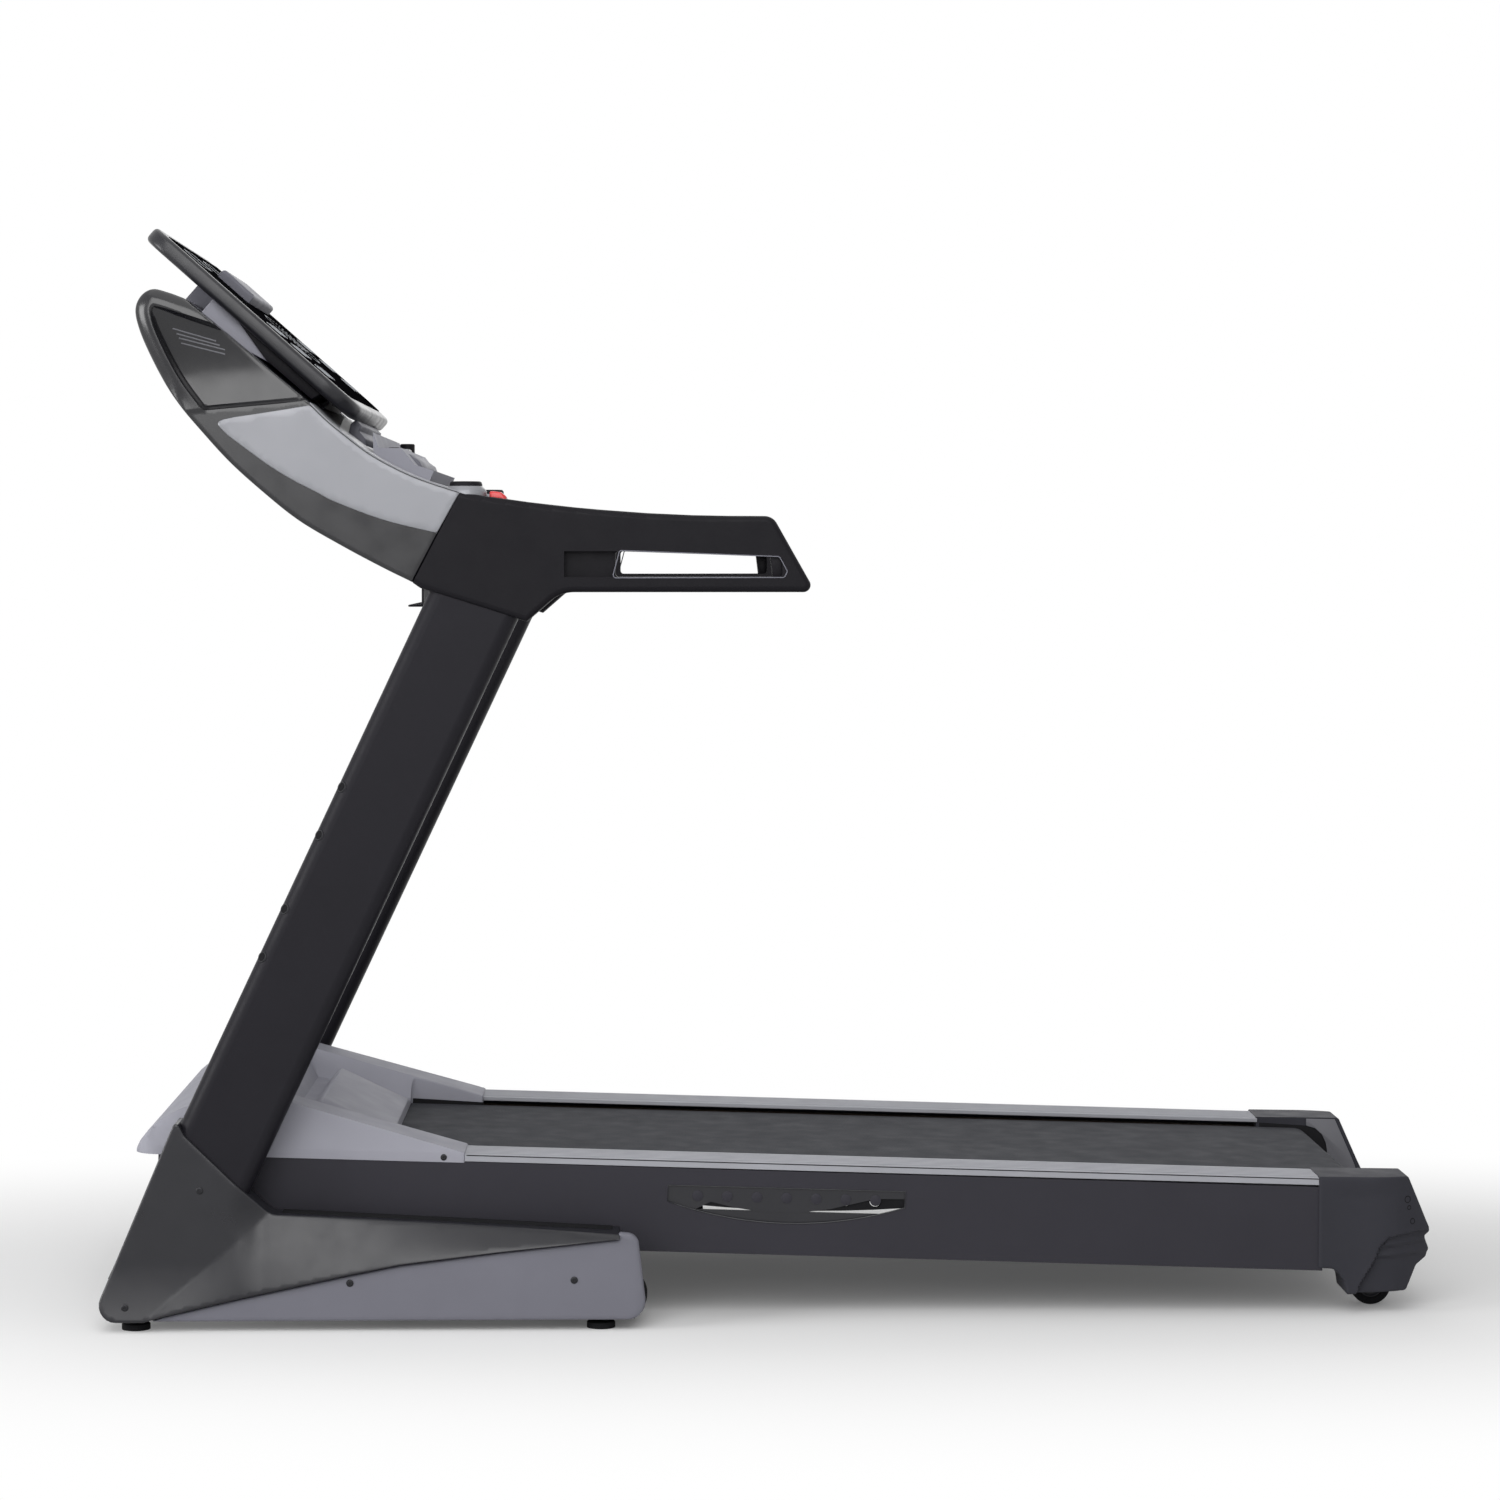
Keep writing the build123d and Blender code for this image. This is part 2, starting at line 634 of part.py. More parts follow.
def pivot_lug(y_low):
    """Ear on the rear cross tube that holds one end of a lift pin."""
    ear = outline((LIFT_X - LUG_ROUND, CROSS_TOP), (LIFT_X + LUG_ROUND, CROSS_TOP),
                  (LIFT_X + LUG_ROUND, LIFT_Z), (LIFT_X - LUG_ROUND, LIFT_Z))
    plate = prism(ear, y_low, y_low + LUG_THICK)
    plate += rod_y(LIFT_X, LIFT_Z, LUG_ROUND, y_low, y_low + LUG_THICK)
    return plate - rod_y(LIFT_X, LIFT_Z, LIFT_PIN_RADIUS, y_low, y_low + LUG_THICK)


def lift_pin():
    """Left pin that the lift frame turns on."""
    inner = ARM_INNER - LUG_GAP - LUG_THICK
    outer = ARM_OUTER + LUG_GAP + LUG_THICK
    shank = rod_y(LIFT_X, LIFT_Z, LIFT_PIN_RADIUS, -outer, -inner)
    return shank + rod_y(LIFT_X, LIFT_Z, LIFT_PIN_RADIUS + AXLE_HEAD, -inner, AXLE_HEAD - inner)


def levelling_foot(x):
    """Left rubber foot on its stud."""
    middle = -(RAIL_INNER + RAIL_WIDTH / 2)
    pad = rod_z(x, middle, FOOT_RADIUS, 0, FOOT_PAD)
    pad = fillet(pad.edges().group_by(Axis.Z)[-1], FOOT_ROUND)
    return pad + rod_z(x, middle, FOOT_STEM_RADIUS, FOOT_PAD, RAIL_BOTTOM)


def build_base():
    """Floor frame, feet, bolts and carry wheels."""
    save("base_rails", *pair(base_rail()))
    inner_lug = ARM_INNER - LUG_GAP - LUG_THICK
    outer_lug = ARM_OUTER + LUG_GAP
    lugs = [pivot_lug(inner_lug), pivot_lug(outer_lug)]
    tubes = [cross_tube(x) for x in (FRONT_CROSS_X, MIDDLE_CROSS_X, REAR_CROSS_X)]
    save("base_cross_tubes", *tubes, *lugs, *[right(lug) for lug in lugs])
    save("base_bolts", *pair(lift_pin()), *pair(carry_axle()))
    feet = [levelling_foot(x) for x in (FOOT_FRONT_X, FOOT_REAR_X)]
    save("levelling_feet", *feet, *[right(foot) for foot in feet])
    save("carry_wheel_left", carry_wheel())
    save("carry_wheel_right", right(carry_wheel()))


# Uprights and boot covers

def upright_bar(thick, depth, round_, z_low, z_high):
    """Leaning flat-oval bar of the left upright between two heights."""
    foot = Plane(origin=(upright_x(0), -UPRIGHT_MID_Y, 0), x_dir=(math.cos(LEAN), 0, -math.sin(LEAN)),
                 z_dir=(math.sin(LEAN), 0, math.cos(LEAN)))
    reach = (z_high + depth) / math.cos(LEAN)
    bar = extrude(foot * RectangleRounded(depth, thick, round_), reach)
    span = block(upright_x(z_low, -2 * depth), upright_x(z_high, 2 * depth), -UPRIGHT_OUTER, -UPRIGHT_INNER,
                 z_low, z_high)
    return bar & span


def upright():
    """Left upright tube with four fixing holes in its front edge."""
    tube = upright_bar(UPRIGHT_THICK, UPRIGHT_DEPTH, UPRIGHT_ROUND, RAIL_TOP, UPRIGHT_TOP_Z)
    wall = 2 * TUBE_WALL
    bore = upright_bar(UPRIGHT_THICK - wall, UPRIGHT_DEPTH - wall, UPRIGHT_ROUND - TUBE_WALL,
                       RAIL_TOP, UPRIGHT_TOP_Z)
    tube -= bore
    for z in UPRIGHT_HOLES:
        tube -= rod_x(-UPRIGHT_MID_Y, z, UPRIGHT_HOLE_RADIUS, upright_x(z, -UPRIGHT_DEPTH), upright_x(z))
    return tube


def boot_front(z, inset=0.0):
    """X of the boot cover's front edge at a height."""
    return upright_x(z, inset - UPRIGHT_DEPTH / 2 - BOOT_FRONT_GAP)


def boot_plane(a, b, c):
    """Plane through three points of the left cover's outside, facing outwards."""
    first = Vector(*b) - Vector(*a)
    second = Vector(*c) - Vector(*a)
    normal = first.cross(second)
    if normal.Y > 0:
        normal = -normal
    return Plane(origin=a, z_dir=normal)


def boot_curve(drop):
    """Line between the boot cover and its side panel, lowered by a gap."""
    return ThreePointArc((PANEL_FRONT_X, PANEL_FRONT_Z - drop), (PANEL_MID_X, PANEL_MID_Z - drop),
                         (BOOT_TAIL_X, BOOT_TAIL_Z - drop))


def boot_outline():
    """Side outline of the left boot cover."""
    edge = Polyline((PANEL_FRONT_X, PANEL_FRONT_Z), (PANEL_FRONT_X - BOOT_TOE_CUT, BOOT_BOTTOM),
                    (boot_front(BOOT_BOTTOM), BOOT_BOTTOM), (boot_front(BOOT_EAR_Z), BOOT_EAR_Z),
                    (BOOT_NOTCH_X, BOOT_NOTCH_Z), (BOOT_HEEL_X, BOOT_HEEL_Z),
                    (BOOT_TAIL_X, BOOT_TAIL_Z + BOOT_WALL), (BOOT_TAIL_X, BOOT_TAIL_Z))
    face = make_face(edge.edges() + [boot_curve(0).edge()])
    toe = face.vertices().sort_by(Axis.X)[0]
    face = fillet(toe, BOOT_TOE_ROUND)
    heel = face.vertices().sort_by_distance((BOOT_HEEL_X, BOOT_HEEL_Z))[0]
    return fillet(heel, BOOT_HEEL_ROUND)


def boot_cover():
    """Left boot cover: two outer facets, hollow for the rail and the upright, open below."""
    whole = prism(boot_outline(), -BOOT_OUTER, -BOOT_INNER)
    heel = (BOOT_HEEL_X, -BOOT_SHOULDER, BOOT_HEEL_Z)
    toe = (BOOT_TOE_X, -BOOT_OUTER, BOOT_TOE_Z)
    front = boot_plane(heel, toe, (boot_front(BOOT_EAR_Z), -BOOT_EAR, BOOT_EAR_Z))
    rear = boot_plane(heel, toe, (BOOT_TAIL_X, -BOOT_SHOULDER, BOOT_TAIL_Z))
    cover = split(whole, front, keep=Keep.BOTTOM) + split(whole, rear, keep=Keep.BOTTOM)
    over = BOOT_EAR_Z + UPRIGHT_DEPTH
    rear_edge = UPRIGHT_DEPTH / 2 + BOOT_SLEEVE_GAP
    hollow = outline((boot_front(0, BOOT_WALL), 0), (boot_front(over, BOOT_WALL), over),
                     (upright_x(over, rear_edge), over), (upright_x(BOOT_HEEL_Z, rear_edge), BOOT_HEEL_Z),
                     (BOOT_HEEL_X, BOOT_HEEL_Z - BOOT_WALL), (BOOT_TAIL_X, BOOT_TAIL_Z), (BOOT_TAIL_X, 0))
    cover -= prism(hollow, -UPRIGHT_OUTER - BOOT_SLEEVE_GAP, -BOOT_INNER - BOOT_WALL)
    half = CROSS_DEPTH / 2
    cover -= block(FRONT_CROSS_X - half, FRONT_CROSS_X + half, -RAIL_INNER, -BOOT_INNER, RAIL_BOTTOM, CROSS_TOP)
    for screw in boot_screws():
        cover -= screw
    return cover


def boot_screws():
    """Screws through the left boot cover."""
    inner = UPRIGHT_OUTER + BOOT_SLEEVE_GAP
    high = rod_y(BOOT_SCREW_X, BOOT_SCREW_Z, COVER_SCREW_RADIUS, -inner - 2 * BOOT_WALL, -inner)
    low = rod_y(BOOT_TOE_X, BOOT_TOE_Z, COVER_SCREW_RADIUS, -BOOT_OUTER - COVER_SCREW_HEAD, -inner)
    return [high, low]


def boot_panel():
    """Left lower side panel of the base, flush with the rail and open where its screws go."""
    edge = Polyline((BOOT_TAIL_X, BOOT_TAIL_Z - PANEL_GAP),
                    (PANEL_END_X - PANEL_END_ROUND, BOOT_TAIL_Z - PANEL_END_ROUND),
                    (PANEL_END_X, PANEL_BOTTOM), (PANEL_FRONT_X, PANEL_BOTTOM),
                    (PANEL_FRONT_X, PANEL_FRONT_Z - PANEL_GAP))
    face = make_face(edge.edges() + [boot_curve(PANEL_GAP).edge()])
    corner = face.vertices().sort_by_distance((PANEL_END_X, PANEL_BOTTOM))[0]
    face = fillet(corner, PANEL_END_ROUND)
    panel = prism(face, -PANEL_FACE, -RAIL_OUTER)
    for screw in panel_screws():
        panel -= screw
    return panel


def panel_screws():
    """Screws of the left side panel, into the rail."""
    return [rod_y(x, z, COVER_SCREW_RADIUS, -PANEL_FACE - COVER_SCREW_HEAD, -RAIL_OUTER)
            for x, z in PANEL_SCREWS]


def build_uprights():
    """Uprights, boot covers, side panels and their screws."""
    save("upright_left", upright())
    save("upright_right", right(upright()))
    save("boot_cover_left", boot_cover())
    save("boot_cover_right", right(boot_cover()))
    save("boot_panels", *pair(boot_panel()))
    screws = boot_screws() + panel_screws()
    save("cover_screws", *screws, *[right(screw) for screw in screws])


# Handrails

def handrail_outline():
    """Side outline of the handrail with its sleeve for the upright."""
    crown = ThreePointArc((SEAM_TOP_X, SEAM_TOP_Z), (GRIP_MID_X, GRIP_MID_Z), (GRIP_END_TOP_X, GRIP_TOP_Z))
    rest = Polyline((GRIP_END_TOP_X, GRIP_TOP_Z), (GRIP_END_X, GRIP_BOTTOM_Z), (GRIP_NECK_X, GRIP_BOTTOM_Z),
                    (SLEEVE_REAR_X, SLEEVE_REAR_Z), (SLEEVE_FRONT_X, SLEEVE_FRONT_Z),
                    (SEAM_LOW_X, SEAM_LOW_Z), (SEAM_TOP_X, SEAM_TOP_Z))
    face = make_face([crown.edge()] + rest.edges())
    for corner, size in (((GRIP_END_TOP_X, GRIP_TOP_Z), GRIP_END_ROUND),
                         ((GRIP_END_X, GRIP_BOTTOM_Z), GRIP_END_ROUND / 2),
                         ((GRIP_NECK_X, GRIP_BOTTOM_Z), GRIP_NECK_ROUND)):
        face = fillet(face.vertices().sort_by_distance(corner)[0], size)
    return face


def slot_outline():
    """Outline of the grip slot."""
    face = outline((SLOT_FRONT_X, SLOT_BOTTOM_Z), (SLOT_REAR_X, SLOT_BOTTOM_Z), (SLOT_REAR_X, SLOT_REAR_Z),
                   (SLOT_FRONT_X, SLOT_FRONT_Z))
    return fillet(face.vertices(), SLOT_ROUND)


def handrail():
    """Left handrail: rounded grip, slot, finger scoop, sleeve and stop button well."""
    rail = prism(handrail_outline(), -HANDRAIL_OUTER, -HANDRAIL_INNER)
    seam = Vector((SEAM_LOW_X + SEAM_TOP_X) / 2, 0, (SEAM_LOW_Z + SEAM_TOP_Z) / 2)
    sides = rail.faces().filter_by(Axis.Y).edges()
    soft = sides.filter_by(lambda edge: (Vector(edge.center().X, 0, edge.center().Z) - seam).length > 1)
    rail = fillet(soft, HANDRAIL_ROUND)
    rail -= prism(slot_outline(), -HANDRAIL_OUTER, -HANDRAIL_INNER)
    rail -= block(SCOOP_FRONT_X, SLOT_FRONT_X + SLOT_ROUND, -HANDRAIL_OUTER, SCOOP_DEPTH - HANDRAIL_OUTER,
                  SLOT_BOTTOM_Z, SLOT_FRONT_Z)
    sleeve_low = SLEEVE_REAR_Z - UPRIGHT_DEPTH
    rail -= upright_bar(UPRIGHT_THICK, UPRIGHT_DEPTH, UPRIGHT_ROUND, sleeve_low, UPRIGHT_TOP_Z)
    well = KEY_GAP + STOP_LENGTH / 2
    wide = KEY_GAP + STOP_WIDTH / 2
    return rail - block(STOP_X - well, STOP_X + well, -POD_Y - wide, wide - POD_Y,
                        STOP_BOTTOM_Z - KEY_TRAVEL - KEY_GAP, SEAM_TOP_Z)


def stop_button():
    """Left red stop button in its well."""
    button = block(STOP_X - STOP_LENGTH / 2, STOP_X + STOP_LENGTH / 2, -POD_Y - STOP_WIDTH / 2,
                   STOP_WIDTH / 2 - POD_Y, STOP_BOTTOM_Z, STOP_TOP_Z)
    return fillet(button.edges().group_by(Axis.Z)[-1], KEY_ROUND)


# Console

def side_outline():
    """Side outline of the console between the crown and the handrail seam."""
    belly = ThreePointArc((SEAM_LOW_X, SEAM_LOW_Z), (BELLY_X, BELLY_Z), (HIP_X, HIP_Z))
    back = Polyline((HIP_X, HIP_Z), (CROWN_X, CROWN_Z), (BROW_X, BROW_Z), (TRIM_HEAD_X, TRIM_HEAD_Z))
    dip = ThreePointArc((TRIM_HEAD_X, TRIM_HEAD_Z), (TRIM_DIP_X, TRIM_DIP_Z), (SEAM_TOP_X, SEAM_TOP_Z))
    seam = Line((SEAM_TOP_X, SEAM_TOP_Z), (SEAM_LOW_X, SEAM_LOW_Z))
    face = make_face([belly.edge()] + back.edges() + [dip.edge(), seam.edge()])
    return fillet(face.vertices().sort_by_distance((CROWN_X, CROWN_Z))[0], CROWN_ROUND)


def trim_outline():
    """Outline of the silver trim on the console's side."""
    dip = ThreePointArc((TRIM_HEAD_X, TRIM_HEAD_Z), (TRIM_DIP_X, TRIM_DIP_Z), (SEAM_TOP_X, SEAM_TOP_Z))
    seam = Line((SEAM_TOP_X, SEAM_TOP_Z), (TRIM_LOW_X, TRIM_LOW_Z))
    sag = ThreePointArc((TRIM_LOW_X, TRIM_LOW_Z), (TRIM_SAG_X, TRIM_SAG_Z), (TRIM_TIP_X, TRIM_TIP_Z))
    head = Line((TRIM_TIP_X, TRIM_TIP_Z), (TRIM_HEAD_X, TRIM_HEAD_Z))
    return make_face([dip.edge(), seam.edge(), sag.edge(), head.edge()])


def recess_outline():
    """Outline of the sunk panel in the upper part of the console's side."""
    upper = outline((TRIM_TIP_X, TRIM_TIP_Z), (HIP_X, HIP_Z), (CROWN_X, CROWN_Z), (BROW_X, BROW_Z),
                    (TRIM_HEAD_X, TRIM_HEAD_Z))
    return offset(upper, -RIM_WIDTH, kind=Kind.INTERSECTION)


def console_cheek():
    """Left side of the console, sunk for the silver trim and the recess."""
    cheek = prism(side_outline(), -CHEEK_OUTER, -CONSOLE_HALF)
    cheek -= prism(trim_outline(), -CHEEK_OUTER, TRIM_THICK - CHEEK_OUTER)
    return cheek - prism(recess_outline(), -CHEEK_OUTER, RECESS_DEPTH - CHEEK_OUTER)


def console_trim():
    """Left silver trim."""
    return prism(trim_outline(), -CHEEK_OUTER - TRIM_PROUD, TRIM_THICK - CHEEK_OUTER)


def step_outline():
    """Side outline of the stepped key shelf under the display."""
    return outline((TRIM_DIP_X - CONSOLE_WALL, TRIM_DIP_Z), (STEP_HEAD_X, STEP_HEAD_Z),
                   (STEP_FRONT_X, STEP_TOP_Z), (STEP_REAR_X, STEP_TOP_Z), (STEP_LOW_X, STEP_LOW_Z),
                   (STEP_END_X, STEP_END_Z), (SLEEVE_FRONT_X, SEAM_TOP_Z))


def console_body():
    """Console shell from cheek to cheek, with the key shelf and its holes."""
    shell = prism(side_outline(), -CONSOLE_HALF, CONSOLE_HALF) + prism(step_outline(), -STEP_HALF, STEP_HALF)
    room = offset(side_outline(), -CONSOLE_WALL, kind=Kind.INTERSECTION)
    shell -= prism(room, -CONSOLE_HALF, CONSOLE_HALF)
    shelf_room = offset(step_outline(), -CONSOLE_WALL, kind=Kind.INTERSECTION)
    shell -= prism(shelf_room, CONSOLE_WALL - STEP_HALF, STEP_HALF - CONSOLE_WALL)
    middle = (STEP_FRONT_X + STEP_REAR_X) / 2
    deep = START_DEPTH / 2 + KEY_GAP
    wide = START_HALF + KEY_GAP
    low = STEP_TOP_Z - CONSOLE_WALL
    shell -= block(middle - deep, middle + deep, -wide, wide, low, STEP_TOP_Z)
    return shell - rod_z(middle, SAFETY_Y, SAFETY_PLUG_RADIUS + RUN_FIT, low, STEP_TOP_Z)


def start_key():
    """Start key on the shelf."""
    middle = (STEP_FRONT_X + STEP_REAR_X) / 2
    key = block(middle - START_DEPTH / 2, middle + START_DEPTH / 2, -START_HALF, START_HALF,
                STEP_TOP_Z - START_SINK, STEP_TOP_Z + START_PROUD)
    return fillet(key.edges().group_by(Axis.Z)[-1], KEY_ROUND)


def safety_key():
    """Pull-out safety key."""
    middle = (STEP_FRONT_X + STEP_REAR_X) / 2
    head = rod_z(middle, SAFETY_Y, SAFETY_RADIUS, STEP_TOP_Z, STEP_TOP_Z + SAFETY_HEIGHT)
    head = fillet(head.edges().group_by(Axis.Z)[-1], KEY_ROUND)
    return head + rod_z(middle, SAFETY_Y, SAFETY_PLUG_RADIUS, STEP_TOP_Z - SAFETY_PLUG_LENGTH, STEP_TOP_Z)


def brace():
    """Open channel between the handrails, in front of the uprights."""
    low = SEAM_LOW_Z - BRACE_DROP
    top = SEAM_LOW_Z + BRACE_RISE
    rear = upright_x(low, -UPRIGHT_DEPTH / 2)
    channel = block(rear - BRACE_DEPTH, rear, -HANDRAIL_INNER, HANDRAIL_INNER, low, top)
    channel -= block(rear - BRACE_DEPTH, rear - BRACE_WALL, -HANDRAIL_INNER, HANDRAIL_INNER,
                     low + BRACE_WALL, top - BRACE_WALL)
    return channel - prism(side_outline(), -HANDRAIL_INNER, HANDRAIL_INNER)


def control_pod(rail, cheek, trim, shell):
    """Round thumb control on the left handrail, shaped to what it stands on."""
    pod = rod_z(POD_X, -POD_Y, POD_RADIUS, POD_BASE_Z, POD_TOP_Z)
    pod = fillet(pod.edges().group_by(Axis.Z)[-1], POD_WELL_DEPTH)
    pod -= rod_z(POD_X, -POD_Y, POD_WELL_RADIUS, POD_TOP_Z - POD_WELL_DEPTH, POD_TOP_Z)
    pod -= block(STOP_X - STOP_LENGTH, STOP_X + STOP_LENGTH, -POD_Y - STOP_WIDTH, STOP_WIDTH - POD_Y,
                 POD_BASE_Z, POD_TOP_Z)
    for seat in (rail, cheek, trim, shell):
        pod -= seat
    return pod.solids().sort_by(SortBy.VOLUME)[-1]


def build_console():
    """Handrails, console and its controls."""
    rail = handrail()
    cheek = console_cheek()
    trim = console_trim()
    shell = console_body()
    pod = control_pod(rail, cheek, trim, shell)
    save("handrail_left", rail)
    save("handrail_right", right(rail))
    save("console_cheeks", *pair(cheek))
    save("console_trims", *pair(trim))
    save("console_body", shell)
    save("upright_brace", brace())
    save("control_pods", *pair(pod))
    save("stop_button_left", stop_button())
    save("stop_button_right", right(stop_button()))
    save("start_key", start_key())
    save("safety_key", safety_key())


# Display, in its own frame: x down the slope, z towards the runner

def display_panel():
    """Display housing with a shallow seat for the glass."""
    panel = extrude(RectangleRounded(DISPLAY_LENGTH, 2 * DISPLAY_HALF, DISPLAY_ROUND), DISPLAY_THICK)
    panel = Pos(0, 0, -DISPLAY_THICK / 2) * panel
    rims = panel.edges().group_by(Axis.Z)
    panel = fillet(rims[0] + rims[-1], DISPLAY_EDGE_ROUND)
    return panel - display_glass()


def display_glass():
    """Glass front of the display."""
    glass = extrude(RectangleRounded(DISPLAY_LENGTH - 2 * GLASS_MARGIN, 2 * (DISPLAY_HALF - GLASS_MARGIN),
                                     DISPLAY_ROUND - DISPLAY_EDGE_ROUND), GLASS_THICK)
    return Pos(0, 0, DISPLAY_THICK / 2 - GLASS_THICK) * glass


def display_ledge():
    """Reading ledge on the display's face."""
    face = DISPLAY_THICK / 2
    ledge = block(-LEDGE_UP - LEDGE_LENGTH / 2, LEDGE_LENGTH / 2 - LEDGE_UP, -LEDGE_HALF, LEDGE_HALF,
                  face, face + LEDGE_PROUD)
    return fillet(ledge.edges().group_by(Axis.Z)[-1], LEDGE_ROUND)


def display_bracket(x):
    """Bracket between the console shell and the display's back."""
    arm = block(x - BRACKET_WIDTH / 2, x + BRACKET_WIDTH / 2, -BRACKET_HALF, BRACKET_HALF,
                -DISPLAY_THICK / 2 - BRACKET_REACH, -DISPLAY_THICK / 2)
    arm = DISPLAY_PLACE * arm - prism(side_outline(), -CONSOLE_HALF, CONSOLE_HALF)
    return arm.solids().sort_by(Axis.Z)[-1]


def build_display():
    """Display housing, glass, ledge and brackets."""
    save("display_panel", DISPLAY_PLACE * display_panel())
    save("display_glass", DISPLAY_PLACE * display_glass())
    save("display_ledge", DISPLAY_PLACE * display_ledge())
    save("display_brackets", display_bracket(-BRACKET_UP), display_bracket(BRACKET_DOWN))


# Power inlet on the front cross tube

def switch_middle():
    """Middle of the rocker switch: x, y and z."""
    face = FRONT_CROSS_X - CROSS_DEPTH / 2 - INLET_DEPTH
    y = INLET_Y + INLET_BORDER + SWITCH_WIDTH / 2 + SWITCH_PIN_REACH
    return face, y, RAIL_BOTTOM + CROSS_HEIGHT / 2


def power_inlet():
    """Mains inlet with the rocker's opening."""
    face, y, z = switch_middle()
    half = INLET_HEIGHT / 2
    body = block(face, face + INLET_DEPTH, INLET_Y, INLET_Y + INLET_WIDTH, z - half, z + half)
    socket_end = INLET_Y + INLET_WIDTH - INLET_BORDER
    body -= block(face, face + INLET_SOCKET_DEPTH, socket_end - INLET_SOCKET_WIDTH, socket_end,
                  z - INLET_SOCKET_HEIGHT / 2, z + INLET_SOCKET_HEIGHT / 2)
    room = SWITCH_LENGTH / 2 + SWITCH_SWING
    wide = SWITCH_WIDTH / 2 + KEY_GAP
    body -= block(face, face + SWITCH_SINK + SWITCH_PROUD, y - wide, y + wide, z - room, z + room)
    pin = SWITCH_WIDTH / 2 + SWITCH_PIN_REACH
    return body - rod_y(face + SWITCH_PIN_DEPTH, z, SWITCH_PIN_RADIUS + RUN_FIT, y - pin, y + pin)


def power_switch():
    """Rocker switch on its own pin."""
    face, y, z = switch_middle()
    rocker = block(face - SWITCH_PROUD, face + SWITCH_SINK, y - SWITCH_WIDTH / 2, y + SWITCH_WIDTH / 2,
                   z - SWITCH_LENGTH / 2, z + SWITCH_LENGTH / 2)
    pin = SWITCH_WIDTH / 2 + SWITCH_PIN_REACH - RUN_FIT
    rocker += rod_y(face + SWITCH_PIN_DEPTH, z, SWITCH_PIN_RADIUS, y - pin, y + pin)
    return rocker.rotate(Axis((face + SWITCH_PIN_DEPTH, y, z), (0, 1, 0)), -SWITCH_TURN)


def build_power():
    """Mains inlet and switch."""
    save("power_inlet", power_inlet())
    save("power_switch", power_switch())


# Lift frame, fold shaft, incline drive and gas spring

def lever(x, z, far_x, far_z, radius, y_low, y_high):
    """Flat bar with round ends between two centres."""
    length = math.hypot(far_x - x, far_z - z)
    turn = math.degrees(math.atan2(far_z - z, far_x - x))
    face = Pos((x + far_x) / 2, (z + far_z) / 2) * Rot(0, 0, turn) * SlotCenterToCenter(length, 2 * radius)
    return prism(face, y_low, y_high)


def lift_arm():
    """Left arm of the lift frame, a hollow bar bored for the lift pin and the fold shaft."""
    arm = lever(FOLD_X, FOLD_Z, LIFT_X, LIFT_Z, ARM_HEIGHT / 2, -ARM_OUTER, -ARM_INNER)
    run = (LIFT_X - FOLD_X) / LIFT_REACH
    rise = (LIFT_Z - FOLD_Z) / LIFT_REACH
    solid = 2 * ARM_HEIGHT
    arm -= lever(FOLD_X + run * solid, FOLD_Z + rise * solid, LIFT_X - run * solid, LIFT_Z - rise * solid,
                 ARM_HEIGHT / 2 - ARM_WALL, ARM_WALL - ARM_OUTER, -ARM_INNER - ARM_WALL)
    arm -= rod_y(FOLD_X, FOLD_Z, FOLD_SHAFT_RADIUS + RUN_FIT, -ARM_OUTER, -ARM_INNER)
    return arm - rod_y(LIFT_X, LIFT_Z, LIFT_PIN_RADIUS + RUN_FIT, -ARM_OUTER, -ARM_INNER)


def fold_yoke():
    """Yoke on the fold shaft: two hanger plates, a cross tube and the gas spring's lugs."""
    x = FOLD_X + YOKE_TUBE_X
    z = FOLD_Z + YOKE_TUBE_Z
    yoke = rod_y(x, z, CROSS_TUBE_RADIUS, -YOKE_OUTER, YOKE_OUTER)
    for y_low in (-YOKE_OUTER, YOKE_INNER):
        yoke += lever(FOLD_X, FOLD_Z, x, z, YOKE_HALF, y_low, y_low + YOKE_PLATE)
    for y_low in (-SPRING_LUG_INNER - LUG_THICK, SPRING_LUG_INNER):
        yoke += lever(x, z, *SPRING_NEAR, SPRING_EYE_RADIUS, y_low, y_low + LUG_THICK)
    reach = SPRING_LUG_INNER + LUG_THICK
    yoke -= rod_y(x, z, CROSS_TUBE_RADIUS - TUBE_WALL, -YOKE_OUTER, YOKE_OUTER)
    yoke -= rod_y(FOLD_X, FOLD_Z, FOLD_SHAFT_RADIUS, -YOKE_OUTER, YOKE_OUTER)
    return yoke - rod_y(*SPRING_NEAR, SPRING_PIN_RADIUS, -reach, reach)


